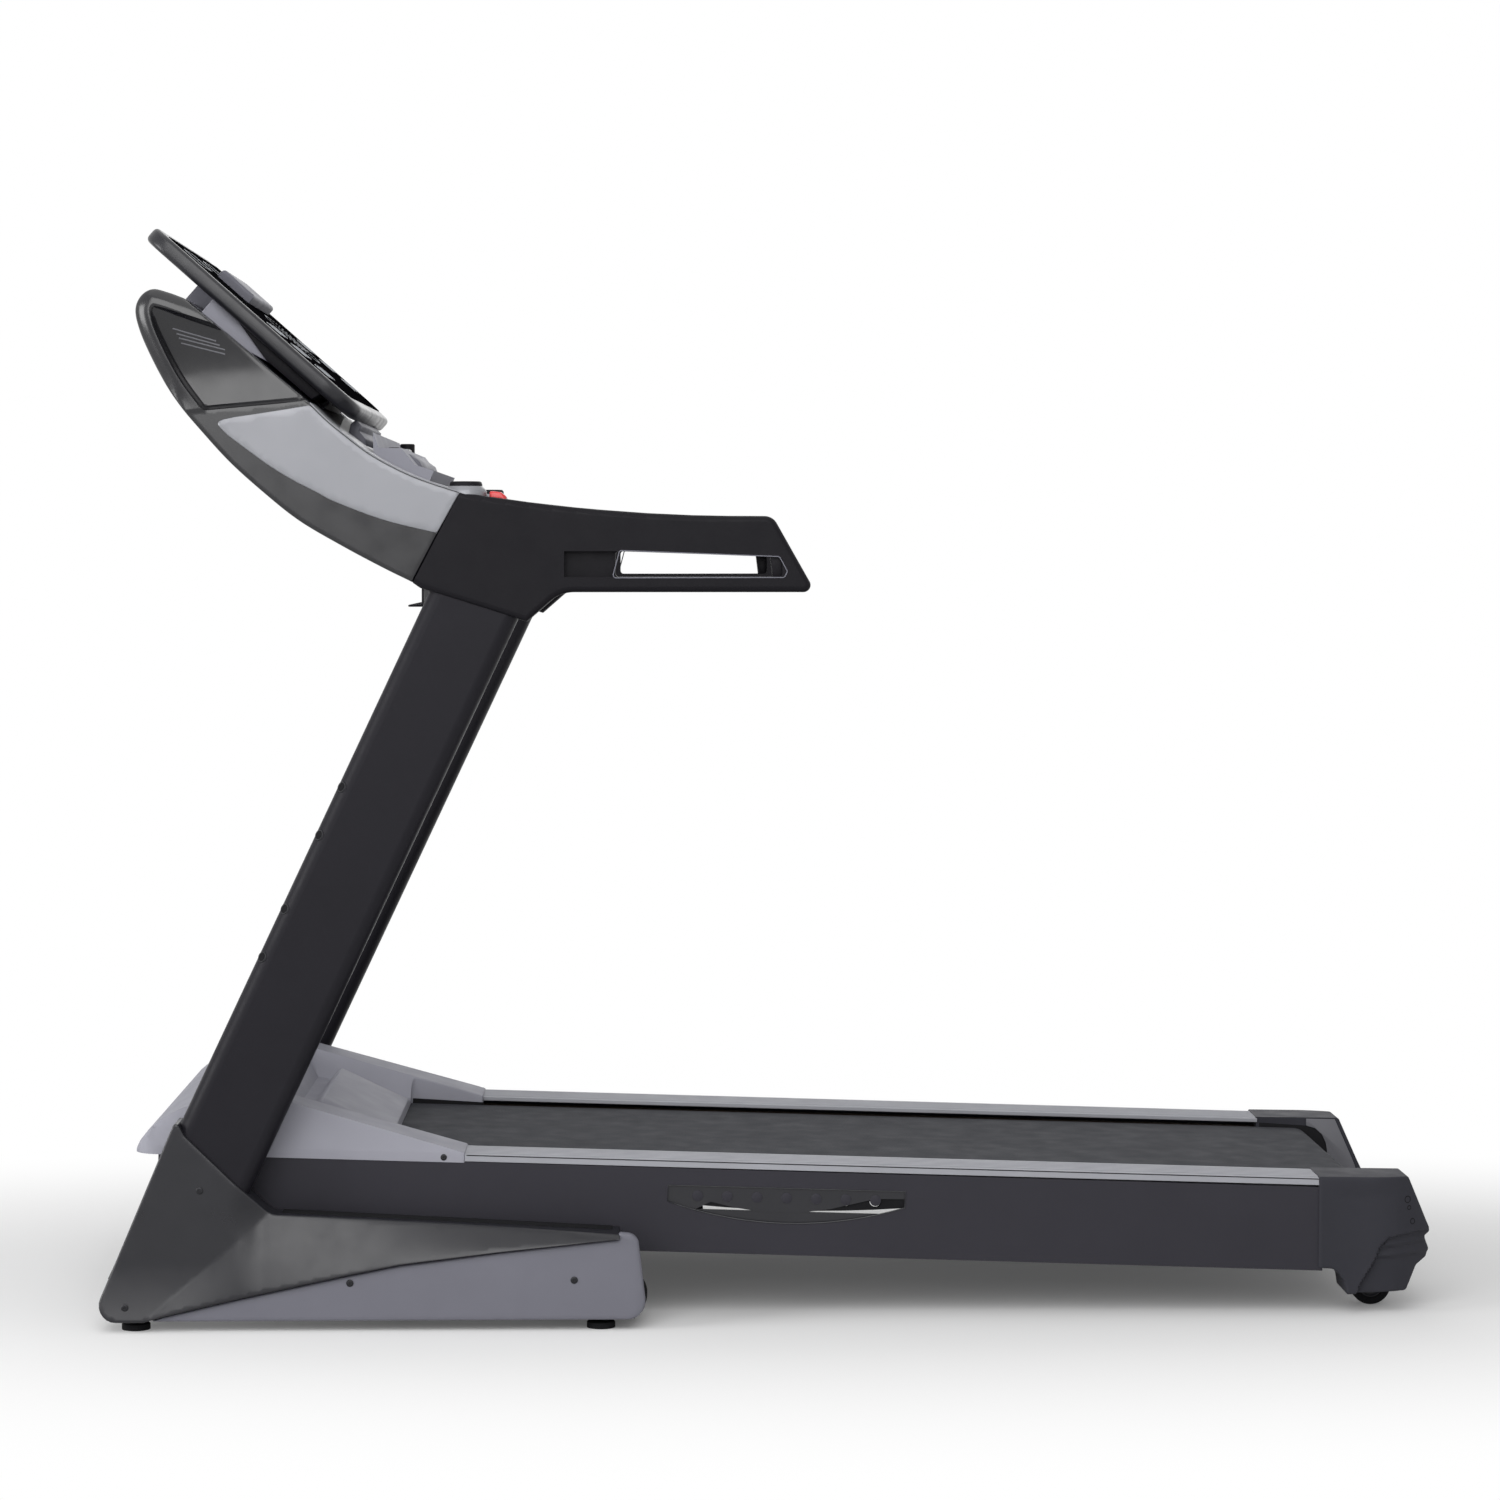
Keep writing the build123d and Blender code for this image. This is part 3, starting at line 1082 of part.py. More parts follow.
def lift_rear_tube():
    """Rear tube of the lift frame with the slotted crank of the incline drive."""
    x = LIFT_X - REAR_TUBE_ALONG * math.cos(LIFT_START)
    z = LIFT_Z + REAR_TUBE_ALONG * math.sin(LIFT_START)
    tube = rod_y(x, z, CROSS_TUBE_RADIUS, -ARM_INNER, ARM_INNER)
    gap = CRANK_SPREAD / 2
    for y_low in (CRANK_Y - gap - CRANK_THICK, CRANK_Y + gap):
        tube += lever(x, z, CRANK_END_X, CRANK_END_Z, CRANK_ROUND, y_low, y_low + CRANK_THICK)
    radial_x = -math.sin(CRANK_LEAN) * CRANK_SLOT_LENGTH / 2
    radial_z = math.cos(CRANK_LEAN) * CRANK_SLOT_LENGTH / 2
    reach = gap + CRANK_THICK
    tube -= lever(CRANK_END_X - radial_x, CRANK_END_Z - radial_z, CRANK_END_X + radial_x,
                  CRANK_END_Z + radial_z, CRANK_PIN_RADIUS + CRANK_SLOT_SLACK, CRANK_Y - reach, CRANK_Y + reach)
    return tube - rod_y(x, z, CROSS_TUBE_RADIUS - TUBE_WALL, -ARM_INNER, ARM_INNER)


def incline_motor():
    """Incline gearbox with its motor and guide tube, on the middle cross tube."""
    front = MIDDLE_CROSS_X - INCLINE_BODY_LENGTH / 2
    rear = MIDDLE_CROSS_X + INCLINE_BODY_LENGTH / 2
    side = INCLINE_BODY_WIDTH / 2
    body = block(front, rear, CRANK_Y - side, CRANK_Y + side, CROSS_TOP, CRANK_END_Z + INCLINE_BODY_ROOF)
    body = fillet(body.edges().group_by(Axis.Z)[-1], INCLINE_ROUND)
    motor_z = CRANK_END_Z - INCLINE_MOTOR_DROP
    motor_end = CRANK_Y - side - INCLINE_MOTOR_LENGTH
    body += rod_y(MIDDLE_CROSS_X, motor_z, INCLINE_MOTOR_RADIUS, motor_end, CRANK_Y - side)
    guide_end = rear + INCLINE_GUIDE_LENGTH
    body += rod_x(CRANK_Y, CRANK_END_Z, INCLINE_GUIDE_RADIUS, rear, guide_end)
    return body - rod_x(CRANK_Y, CRANK_END_Z, SCREW_RADIUS + RUN_FIT, front + INCLINE_END_WALL, guide_end)


def incline_screw():
    """Screw tube of the incline drive with its eye and cross pin."""
    start = MIDDLE_CROSS_X - INCLINE_BODY_LENGTH / 2 + INCLINE_END_WALL + BODY_GAP
    half = CRANK_SPREAD / 2 - LUG_GAP
    reach = CRANK_SPREAD / 2 + CRANK_THICK + LUG_GAP
    screw = rod_x(CRANK_Y, CRANK_END_Z, SCREW_RADIUS, start, CRANK_END_X)
    screw += rod_y(CRANK_END_X, CRANK_END_Z, CRANK_ROUND, CRANK_Y - half, CRANK_Y + half)
    return screw + rod_y(CRANK_END_X, CRANK_END_Z, CRANK_PIN_RADIUS, CRANK_Y - reach, CRANK_Y + reach)


def spring_cylinder():
    """Gas spring cylinder with its eye, along its own x from the yoke's pin."""
    start = SPRING_EYE_RADIUS + SPRING_PIN_RADIUS
    tube = rod_x(0, 0, SPRING_RADIUS, start, start + SPRING_LENGTH)
    tube += rod_y(0, 0, SPRING_EYE_RADIUS, -SPRING_EYE_HALF, SPRING_EYE_HALF)
    tube += rod_x(0, 0, SPRING_EYE_RADIUS / 2, 0, start)
    tube -= rod_y(0, 0, SPRING_PIN_RADIUS + RUN_FIT, -SPRING_EYE_HALF, SPRING_EYE_HALF)
    return tube - rod_x(0, 0, SPRING_ROD_RADIUS + RUN_FIT, 2 * start, start + SPRING_LENGTH)


def spring_rod():
    """Gas spring rod with its eye, along the cylinder's x, still held by the cylinder when folded."""
    stroke = spring_line(FOLD_TURN)[0] - SPRING_REST_LENGTH
    start = SPRING_EYE_RADIUS + SPRING_PIN_RADIUS + SPRING_LENGTH - stroke - SPRING_OVERLAP
    rod = rod_x(0, 0, SPRING_ROD_RADIUS, start, SPRING_REST_LENGTH)
    return rod + rod_y(SPRING_REST_LENGTH, 0, SPRING_EYE_RADIUS, -SPRING_EYE_HALF, SPRING_EYE_HALF)


def build_lift():
    """Lift frame, fold shaft, incline drive and gas spring."""
    save("lift_arms", *pair(lift_arm()))
    save("fold_yoke", fold_yoke())
    save("lift_rear_tube", lift_rear_tube())
    save("fold_shaft", rod_y(FOLD_X, FOLD_Z, FOLD_SHAFT_RADIUS, -FOLD_SHAFT_HALF, FOLD_SHAFT_HALF))
    save("incline_motor", incline_motor())
    save("incline_screw", incline_screw())
    reach = SPRING_LUG_INNER + LUG_THICK + LUG_GAP
    save("spring_pin", rod_y(*SPRING_NEAR, SPRING_PIN_RADIUS, -reach, reach))
    save("spring_cylinder", SPRING_PLACE * spring_cylinder())
    save("spring_rod", SPRING_PLACE * spring_rod())


# Deck frame, in the deck's own frame

def side_beam():
    """Left side beam, a channel open to the inside with a boss for the fold shaft and a window."""
    beam = block(BEAM_FRONT, BEAM_REAR, -DECK_HALF, -BEAM_INNER, BEAM_BOTTOM, BEAM_TOP)
    beam -= block(BEAM_FRONT, BEAM_REAR, -WEB_INNER, -BEAM_INNER, BEAM_BOTTOM + BEAM_WALL,
                  BEAM_TOP - BEAM_WALL)
    half = BOSS_SIZE / 2
    beam += block(-half, half, -WEB_INNER, -BEAM_INNER, -half, half)
    beam -= rod_y(0, 0, FOLD_SHAFT_RADIUS + RUN_FIT, -FOLD_SHAFT_HALF - BODY_GAP, -BEAM_INNER)
    return beam - prism(window_outline(), -DECK_HALF, -WEB_INNER)


def window_outline():
    """Lens-shaped window in the side beam."""
    middle = (WINDOW_FRONT + WINDOW_REAR) / 2
    bow = ThreePointArc((WINDOW_FRONT, WINDOW_SHOULDER), (middle, WINDOW_BOTTOM),
                        (WINDOW_REAR, WINDOW_SHOULDER))
    rest = Polyline((WINDOW_REAR, WINDOW_SHOULDER), (WINDOW_REAR, WINDOW_TOP), (WINDOW_FRONT, WINDOW_TOP),
                    (WINDOW_FRONT, WINDOW_SHOULDER))
    return make_face([bow.edge()] + rest.edges())


def cushion_bar():
    """Left arched cushion bar behind the window, with its row of holes."""
    middle = (WINDOW_FRONT + WINDOW_REAR) / 2
    low = WINDOW_TOP - CUSHION_BAR_DROP
    arch = ThreePointArc((WINDOW_FRONT, low), (middle, low - CUSHION_BAR_ARCH), (WINDOW_REAR, low))
    top = WINDOW_TOP + CUSHION_BAR_ARCH
    rest = Polyline((WINDOW_REAR, low), (WINDOW_REAR, top), (WINDOW_FRONT, top), (WINDOW_FRONT, low))
    bar = prism(make_face([arch.edge()] + rest.edges()), -WEB_INNER, CUSHION_BAR_THICK - WEB_INNER)
    pitch = (WINDOW_REAR - WINDOW_FRONT) / (CUSHION_HOLES + 1)
    for index in range(CUSHION_HOLES):
        bar -= rod_y(WINDOW_FRONT + (index + 1) * pitch, low + CUSHION_HOLE_RADIUS, CUSHION_HOLE_RADIUS,
                     -WEB_INNER, CUSHION_BAR_THICK - WEB_INNER)
    return bar


def foot_rail():
    """Left ribbed foot rail on top of the beam."""
    outer = -HOOD_HALF
    plate = block(FOOT_RAIL_FRONT, CAP_FRONT, outer, -FOOT_RAIL_INNER, FOOT_RAIL_TOP - FOOT_RAIL_PLATE,
                  FOOT_RAIL_TOP)
    plate = fillet(plate.edges().filter_by(Axis.X), FOOT_RAIL_ROUND)
    plate += block(FOOT_RAIL_FRONT, CAP_FRONT, outer, outer + BEAM_WIDTH, BEAM_TOP,
                   FOOT_RAIL_TOP - FOOT_RAIL_PLATE / 2)
    middle = (outer - FOOT_RAIL_INNER) / 2
    for index in range(RIB_COUNT):
        y = middle + (index - (RIB_COUNT - 1) / 2) * RIB_PITCH
        plate += block(FOOT_RAIL_FRONT, CAP_FRONT, y - RIB_WIDTH / 2, y + RIB_WIDTH / 2,
                       FOOT_RAIL_TOP - RIB_HEIGHT, FOOT_RAIL_TOP + RIB_HEIGHT)
    return plate


def cross_member(x):
    """Bar between the beams inside the belt loop."""
    return block(x, x + MEMBER_DEPTH, -WEB_INNER, WEB_INNER, MEMBER_BOTTOM, MEMBER_TOP)


def belly_member():
    """Bar under the belt with two lugs for the gas spring, whose eye swings free between them."""
    bar = block(BELLY_MEMBER_X, BELLY_MEMBER_X + BELLY_MEMBER_SIZE, -WEB_INNER, WEB_INNER,
                BELLY_MEMBER_Z, BELLY_MEMBER_Z + BELLY_MEMBER_SIZE)
    for y_low in (-SPRING_LUG_INNER - LUG_THICK, SPRING_LUG_INNER):
        bar += lever(SPRING_FAR_X, SPRING_FAR_Z, BELLY_MEMBER_X + SPRING_EYE_RADIUS,
                     SPRING_FAR_Z, SPRING_LUG_HALF, y_low, y_low + LUG_THICK)
    outer = SPRING_LUG_INNER + LUG_THICK
    for y_low in (-outer - AXLE_HEAD, outer):
        bar += rod_y(SPRING_FAR_X, SPRING_FAR_Z, SPRING_BOLT_RADIUS, y_low, y_low + AXLE_HEAD)
    return bar


def bay_member():
    """Bar behind the motor bay."""
    return block(BAY_MEMBER_X, BAY_MEMBER_X + BAY_MEMBER_DEPTH, -WEB_INNER, WEB_INNER, BAY_MEMBER_BOTTOM,
                 BAY_MEMBER_BOTTOM + BAY_MEMBER_HEIGHT)


def board_cushion(x, y):
    """Rubber cushion between a cross member and the running board."""
    half = CUSHION_SIZE / 2
    return block(x, x + MEMBER_DEPTH, y - half, y + half, MEMBER_TOP, BOARD_TOP - BOARD_THICK)


def belt_loop(half, inner, outer):
    """Closed belt round both rollers."""
    middle = (FRONT_ROLLER_X + REAR_ROLLER_X) / 2
    length = REAR_ROLLER_X - FRONT_ROLLER_X
    loop = prism(Pos(middle, ROLLER_Z) * SlotCenterToCenter(length, 2 * outer), -half, half)
    return loop - prism(Pos(middle, ROLLER_Z) * SlotCenterToCenter(length, 2 * inner), -half, half)


def roller(x, pulley):
    """Roller on its axle's bearings, with a belt pulley on its right end where wanted."""
    drum = rod_y(x, ROLLER_Z, ROLLER_RADIUS, -ROLLER_HALF, ROLLER_HALF)
    if pulley:
        drum += rod_y(x, ROLLER_Z, ROLLER_RADIUS / 2, ROLLER_HALF, PULLEY_INNER)
        drum += rod_y(x, ROLLER_Z, ROLLER_PULLEY_RADIUS, PULLEY_INNER, PULLEY_OUTER)
    return drum - rod_y(x, ROLLER_Z, ROLLER_AXLE_RADIUS + RUN_FIT, -ROLLER_HALF, PULLEY_OUTER)


def roller_axle(x):
    """Fixed axle of a roller, between the beams' webs."""
    return rod_y(x, ROLLER_Z, ROLLER_AXLE_RADIUS, -WEB_INNER, WEB_INNER)


def tension_bolt():
    """Left bolt that pulls the rear roller's axle back."""
    end = cap_rear(ROLLER_Z)
    head_end = end - CAP_WALL
    shank = rod_x(-TENSION_BOLT_Y, ROLLER_Z, TENSION_BOLT_RADIUS, REAR_ROLLER_X + ROLLER_AXLE_RADIUS, end)
    return shank + rod_x(-TENSION_BOLT_Y, ROLLER_Z, TENSION_HEAD_RADIUS, head_end - AXLE_HEAD, head_end)


def build_deck_frame():
    """Beams, rails, members, board, belt and rollers."""
    save("side_beams", *[DECK_PLACE * beam for beam in pair(side_beam())])
    save("foot_rails", *[DECK_PLACE * rail for rail in pair(foot_rail())])
    members = [cross_member(x) for x in MEMBERS_X] + [belly_member(), bay_member()]
    save("cross_members", *[DECK_PLACE * member for member in members])
    board = block(BOARD_FRONT, BOARD_REAR, -BOARD_HALF, BOARD_HALF, BOARD_TOP - BOARD_THICK, BOARD_TOP)
    save("running_board", DECK_PLACE * board)
    cushions = [board_cushion(x, side * CUSHION_Y) for x in MEMBERS_X for side in (-1, 1)]
    save("board_cushions", *[DECK_PLACE * cushion for cushion in cushions + pair(cushion_bar())])
    save("running_belt", DECK_PLACE * belt_loop(BELT_HALF, BELT_INNER_RADIUS, BELT_OUTER_RADIUS))
    save("front_roller", DECK_PLACE * roller(FRONT_ROLLER_X, True))
    save("rear_roller", DECK_PLACE * roller(REAR_ROLLER_X, False))
    axles = [roller_axle(x) for x in (FRONT_ROLLER_X, REAR_ROLLER_X)] + pair(wheel_axle())
    save("deck_axles", *[DECK_PLACE * axle for axle in axles])
    save("tension_bolts", *[DECK_PLACE * bolt for bolt in pair(tension_bolt())])


# Motor bay

def motor_pan():
    """Bent sheet under the motor, from the front plate to the bay member."""
    floor = block(BEAM_FRONT, BAY_MEMBER_X, -PAN_HALF, PAN_HALF, PAN_BOTTOM, PAN_BOTTOM + PAN_THICK)
    return floor + block(BEAM_FRONT, BEAM_FRONT + PAN_THICK, -WEB_INNER, WEB_INNER, PAN_BOTTOM,
                         PAN_BOTTOM + PAN_FRONT_HEIGHT)


def drive_motor():
    """Drive motor can on its foot."""
    can = rod_y(MOTOR_X, MOTOR_Z, MOTOR_RADIUS, -MOTOR_HALF, MOTOR_HALF)
    can = fillet(can.edges().filter_by(GeomType.CIRCLE), MOTOR_ROUND)
    half = MOTOR_RADIUS / 2
    can += block(MOTOR_X - half, MOTOR_X + half, -MOTOR_HALF / 2, MOTOR_HALF / 2,
                 PAN_BOTTOM + PAN_THICK, MOTOR_Z)
    return can - rod_y(MOTOR_X, MOTOR_Z, MOTOR_SHAFT_RADIUS + RUN_FIT, -MOTOR_HALF, MOTOR_HALF)


def motor_rotor():
    """Motor shaft with its drive pulley and flywheel."""
    flywheel = -MOTOR_HALF - LUG_GAP
    shaft = rod_y(MOTOR_X, MOTOR_Z, MOTOR_SHAFT_RADIUS, flywheel - FLYWHEEL_WIDTH, PULLEY_OUTER)
    shaft += rod_y(MOTOR_X, MOTOR_Z, MOTOR_PULLEY_RADIUS, PULLEY_INNER, PULLEY_OUTER)
    return shaft + rod_y(MOTOR_X, MOTOR_Z, FLYWHEEL_RADIUS, flywheel - FLYWHEEL_WIDTH, flywheel)


def drive_belt():
    """Belt from the motor pulley to the front roller's pulley."""
    return pulley_wrap(DRIVE_BELT_THICK) - pulley_wrap(BODY_GAP)


def pulley_wrap(over):
    """Solid that both pulleys and the space between them would fill, grown by a margin."""
    near = Pos(MOTOR_X, MOTOR_Z) * CenterArc((0, 0), MOTOR_PULLEY_RADIUS + over, 0, 360)
    far = Pos(FRONT_ROLLER_X, ROLLER_Z) * CenterArc((0, 0), ROLLER_PULLEY_RADIUS + over, 0, 360)
    return prism(make_hull(near.edges() + far.edges()), PULLEY_INNER + LUG_GAP, PULLEY_OUTER - LUG_GAP)


def controller():
    """Motor controller on the pan."""
    half = CONTROLLER_WIDTH / 2
    floor = PAN_BOTTOM + PAN_THICK
    return block(MOTOR_X - CONTROLLER_LENGTH / 2, MOTOR_X + CONTROLLER_LENGTH / 2, CONTROLLER_Y - half,
                 CONTROLLER_Y + half, floor, floor + CONTROLLER_HEIGHT)


def hood_outline(inset):
    """Side outline of the motor hood, inset by a wall."""
    nose = (HOOD_NOSE_X + inset, HOOD_NOSE_Z)
    brow = (HOOD_BROW_X + inset, HOOD_BROW_Z - inset)
    crest = (HOOD_CREST_X, HOOD_CREST_Z - inset)
    front_x = (HOOD_NOSE_X + HOOD_BROW_X) / 2 + inset - HOOD_BOW
    front_z = (HOOD_NOSE_Z + HOOD_BROW_Z) / 2 - inset + HOOD_BOW
    top_x = (HOOD_BROW_X + HOOD_CREST_X) / 2
    top_z = (HOOD_BROW_Z + HOOD_CREST_Z) / 2 - inset + 2 * HOOD_BOW
    front = ThreePointArc(nose, (front_x, front_z), brow)
    top = ThreePointArc(brow, (top_x, top_z), crest)
    rest = Polyline(crest, (HOOD_EAR_X - inset, HOOD_EAR_Z - inset), (HOOD_EAR_X - inset, BEAM_TOP),
                    (BEAM_FRONT - HOOD_WALL, BEAM_TOP), (BEAM_FRONT - HOOD_WALL, HOOD_SKIRT_Z),
                    (HOOD_NOSE_X + inset, HOOD_SKIRT_Z), nose)
    return make_face([front.edge(), top.edge()] + rest.edges())


def hood_dip(grow):
    """Space above the sunk middle of the hood, grown by a wall."""
    high = HOOD_CREST_Z + 2 * HOOD_DOME_RISE
    face = outline((HOOD_DIP_START, HOOD_CREST_Z - grow), (HOOD_DIP_X, HOOD_DIP_Z - grow),
                   (HOOD_DIP_X, BEAM_TOP - grow), (HOOD_EAR_X + HOOD_WALL, BEAM_TOP - grow),
                   (HOOD_EAR_X + HOOD_WALL, high), (HOOD_DIP_START, high))
    half = HOOD_DIP_HALF + grow
    return Pos(-grow, 0, 0) * prism(face, -half, half)


def hood_dome():
    """Soft raised field in the middle of the hood."""
    slope = math.degrees(math.atan2(HOOD_CREST_Z - HOOD_DIP_Z, HOOD_DIP_X - HOOD_DIP_START))
    middle = (HOOD_DOME_FRONT + HOOD_DOME_REAR) / 2
    share = (middle - HOOD_DIP_START) / (HOOD_DIP_X - HOOD_DIP_START)
    height = HOOD_CREST_Z + share * (HOOD_DIP_Z - HOOD_CREST_Z)
    length = HOOD_DOME_REAR - HOOD_DOME_FRONT
    dome = extrude(RectangleRounded(length, 2 * HOOD_DOME_HALF, 2 * HOOD_DOME_ROUND), HOOD_DOME_RISE)
    dome = fillet(dome.edges().group_by(Axis.Z)[-1], HOOD_DOME_ROUND)
    return Location((middle, 0, height), (0, slope, 0)) * dome


def motor_hood():
    """Motor hood shell: nose, crest, side ears, sunk middle and raised field."""
    outer = prism(hood_outline(0), -HOOD_HALF, HOOD_HALF) - hood_dip(0)
    side = HOOD_HALF - HOOD_WALL
    inner = prism(hood_outline(HOOD_WALL), -side, side) - hood_dip(HOOD_WALL)
    hood = outer - inner
    lip = HOOD_DIP_HALF - HOOD_WALL
    hood -= block(HOOD_DIP_X - 2 * HOOD_WALL, HOOD_EAR_X, -lip, lip, BEAM_TOP - HOOD_WALL, HOOD_LIP_Z)
    return hood + hood_dome()


def build_motor_bay():
    """Motor, belt, controller, pan and hood."""
    save("motor_pan", DECK_PLACE * motor_pan())
    save("drive_motor", DECK_PLACE * drive_motor())
    save("motor_rotor", DECK_PLACE * motor_rotor())
    save("drive_belt", DECK_PLACE * drive_belt())
    save("motor_controller", DECK_PLACE * controller())
    save("motor_hood", DECK_PLACE * motor_hood())


# Rear end of the deck

def cap_rear(z):
    """x of the rear cap's slanted back at a height."""
    share = (FOOT_RAIL_TOP - z) / (FOOT_RAIL_TOP - CAP_LIP_Z)
    return CAP_TOP_REAR + share * (CAP_LIP_X - CAP_TOP_REAR)


def cap_outline(inset):
    """Side outline of the rear cap, inset by a wall."""
    low = BEAM_BOTTOM - CAP_WALL + inset
    top = FOOT_RAIL_TOP + RIB_HEIGHT - inset
    return outline((CAP_FRONT, top), (CAP_TOP_REAR - inset, top), (CAP_LIP_X - inset, CAP_LIP_Z),
                   (CAP_LIP_X - inset, CAP_CHIN_Z), (CAP_HEEL_X - inset, low), (CAP_FRONT, low))


def wheel_housing():
    """Lower part of the left rear cap that holds the wheel."""
    roof = BEAM_BOTTOM - CAP_WALL
    face = outline((HOUSING_FRONT, roof), (HOUSING_FRONT, HOUSING_BOTTOM), (HOUSING_REAR, HOUSING_BOTTOM),
                   (CAP_HEEL_X, roof))
    low = face.vertices().group_by(Axis.Y)[0]
    house = prism(fillet(low, HOUSING_ROUND), HOUSING_INSET - CAP_OUTER, -HOUSING_INNER)
    half = WHEEL_WIDTH / 2 + WHEEL_POCKET_GAP
    house -= rod_y(WHEEL_X, WHEEL_Z, WHEEL_RADIUS + WHEEL_POCKET_GAP, -WHEEL_Y - half, half - WHEEL_Y)
    return house - wheel_axle()


def wheel_axle():
    """Left rear wheel's axle."""
    half = WHEEL_WIDTH / 2 + WHEEL_POCKET_GAP + WHEEL_AXLE_SEAT
    return rod_y(WHEEL_X, WHEEL_Z, WHEEL_AXLE_RADIUS, -WHEEL_Y - half, half - WHEEL_Y)


def rear_wheel():
    """Left rear wheel."""
    half = WHEEL_WIDTH / 2
    tyre = rod_y(WHEEL_X, WHEEL_Z, WHEEL_RADIUS, -WHEEL_Y - half, half - WHEEL_Y)
    tyre = fillet(tyre.edges().filter_by(GeomType.CIRCLE), WHEEL_ROUND)
    return tyre - rod_y(WHEEL_X, WHEEL_Z, WHEEL_AXLE_RADIUS + RUN_FIT, -WHEEL_Y - half, half - WHEEL_Y)


def cap_block(inset):
    """Left rear cap as a full block, rounded at its outer rear corner, inset by a wall."""
    outer = CAP_OUTER - inset
    whole = prism(cap_outline(inset), -outer, -CAP_INNER)
    side = whole.faces().sort_by(Axis.Y)[0]
    corner = side.edges().filter_by(lambda edge: edge.center().X > CAP_TOP_REAR)
    return fillet(corner, CAP_CORNER_ROUND - inset)


def rear_cap():
    """Left rear cap: hollow over the beam's end, open to the belt, bored and grooved at the back."""
    inner_edge = -CAP_INNER - CAP_WALL
    hollow = cap_block(CAP_WALL)
    hollow &= block(CAP_FRONT, CAP_LIP_X, -CAP_OUTER, inner_edge, BEAM_BOTTOM, FOOT_RAIL_TOP)
    cap = cap_block(0) - hollow
    cap -= block(CAP_FRONT, BEAM_REAR, inner_edge, -CAP_INNER, BEAM_BOTTOM, BEAM_TOP)
    for z in CAP_GROOVES_Z:
        ring = block(CAP_FRONT, CAP_LIP_X, -CAP_OUTER, -CAP_INNER, z - CAP_GROOVE_WIDTH, z)
        cap -= (cap_block(0) - cap_block(CAP_GROOVE)) & ring
    return cap - tension_bolt()


def rear_guard():
    """Guard behind the rear roller, from cap to cap."""
    guard = block(GUARD_X, GUARD_X + GUARD_THICK, -CAP_INNER, CAP_INNER, GUARD_BOTTOM, GUARD_TOP)
    return fillet(guard.edges().filter_by(Axis.Y), GUARD_ROUND)


def build_rear():
    """Rear caps, wheels and guard."""
    cap = rear_cap()
    save("rear_caps", *[DECK_PLACE * piece for piece in pair(cap)])
    save("wheel_housings", *[DECK_PLACE * piece for piece in pair(wheel_housing())])
    save("rear_wheel_left", DECK_PLACE * rear_wheel())
    save("rear_wheel_right", DECK_PLACE * right(rear_wheel()))
    save("rear_guard", DECK_PLACE * rear_guard())


def main():
    """Write every node."""
    os.makedirs("parts", exist_ok=True)
    build_base()
    build_uprights()
    build_console()
    build_display()
    build_power()
    build_lift()
    build_deck_frame()
    build_motor_bay()
    build_rear()


if __name__ == "__main__":
    main()
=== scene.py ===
"""Looks of a folding motorised treadmill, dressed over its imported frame. Metres, +Z up, left is -Y."""

import json
import logging
import math
from dataclasses import dataclass
from enum import Enum
from typing import Callable, Iterable, Sequence

import bmesh
import bpy
import numpy as np
from mathutils import Matrix, Vector
from mathutils.geometry import delaunay_2d_cdt

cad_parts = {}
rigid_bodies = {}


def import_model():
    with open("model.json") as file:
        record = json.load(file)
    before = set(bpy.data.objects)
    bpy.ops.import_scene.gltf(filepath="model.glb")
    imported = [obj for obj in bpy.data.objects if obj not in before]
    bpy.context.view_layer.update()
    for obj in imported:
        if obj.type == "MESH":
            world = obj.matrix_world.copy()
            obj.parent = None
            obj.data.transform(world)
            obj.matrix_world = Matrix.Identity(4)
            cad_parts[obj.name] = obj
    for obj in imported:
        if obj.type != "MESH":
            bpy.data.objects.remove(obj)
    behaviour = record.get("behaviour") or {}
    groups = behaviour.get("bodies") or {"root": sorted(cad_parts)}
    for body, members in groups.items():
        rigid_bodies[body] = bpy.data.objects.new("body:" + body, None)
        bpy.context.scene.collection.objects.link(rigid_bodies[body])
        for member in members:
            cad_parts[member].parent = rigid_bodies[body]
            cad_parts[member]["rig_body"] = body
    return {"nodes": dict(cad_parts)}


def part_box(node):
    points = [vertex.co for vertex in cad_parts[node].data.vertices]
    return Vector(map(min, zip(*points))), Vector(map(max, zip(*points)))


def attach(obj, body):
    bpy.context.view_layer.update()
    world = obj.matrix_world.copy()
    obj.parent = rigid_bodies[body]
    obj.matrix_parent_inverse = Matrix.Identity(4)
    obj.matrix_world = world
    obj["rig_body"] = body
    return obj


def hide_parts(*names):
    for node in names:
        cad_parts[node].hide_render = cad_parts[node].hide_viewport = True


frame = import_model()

log = logging.getLogger("treadmill")

MM = 0.001
PER_METRE = 1000.0
MERGE_DISTANCE = 2e-5
FLAT_ANGLE = math.radians(1.0)
EDGE_ANGLE = math.radians(32.0)
SMOOTH_ANGLE = math.radians(38.0)
# Faces around turned shapes: screws and eyelets, other turned parts, controls and hubs, and tyres.
SMALL_ROUND = 24
ROUND = 40
WIDE_ROUND = 48
TYRE_ROUND = 64
# Longest run of a line that needs no points along its straight parts, in millimetres.
LONG_STEP = 400.0
# A place beyond every end of the treadmill, in metres.
FAR = 2.0

Point = tuple[float, float, float]
Colour = tuple[float, float, float]
# A point of a flat view, or two values that belong together.
Flat = tuple[float, float]
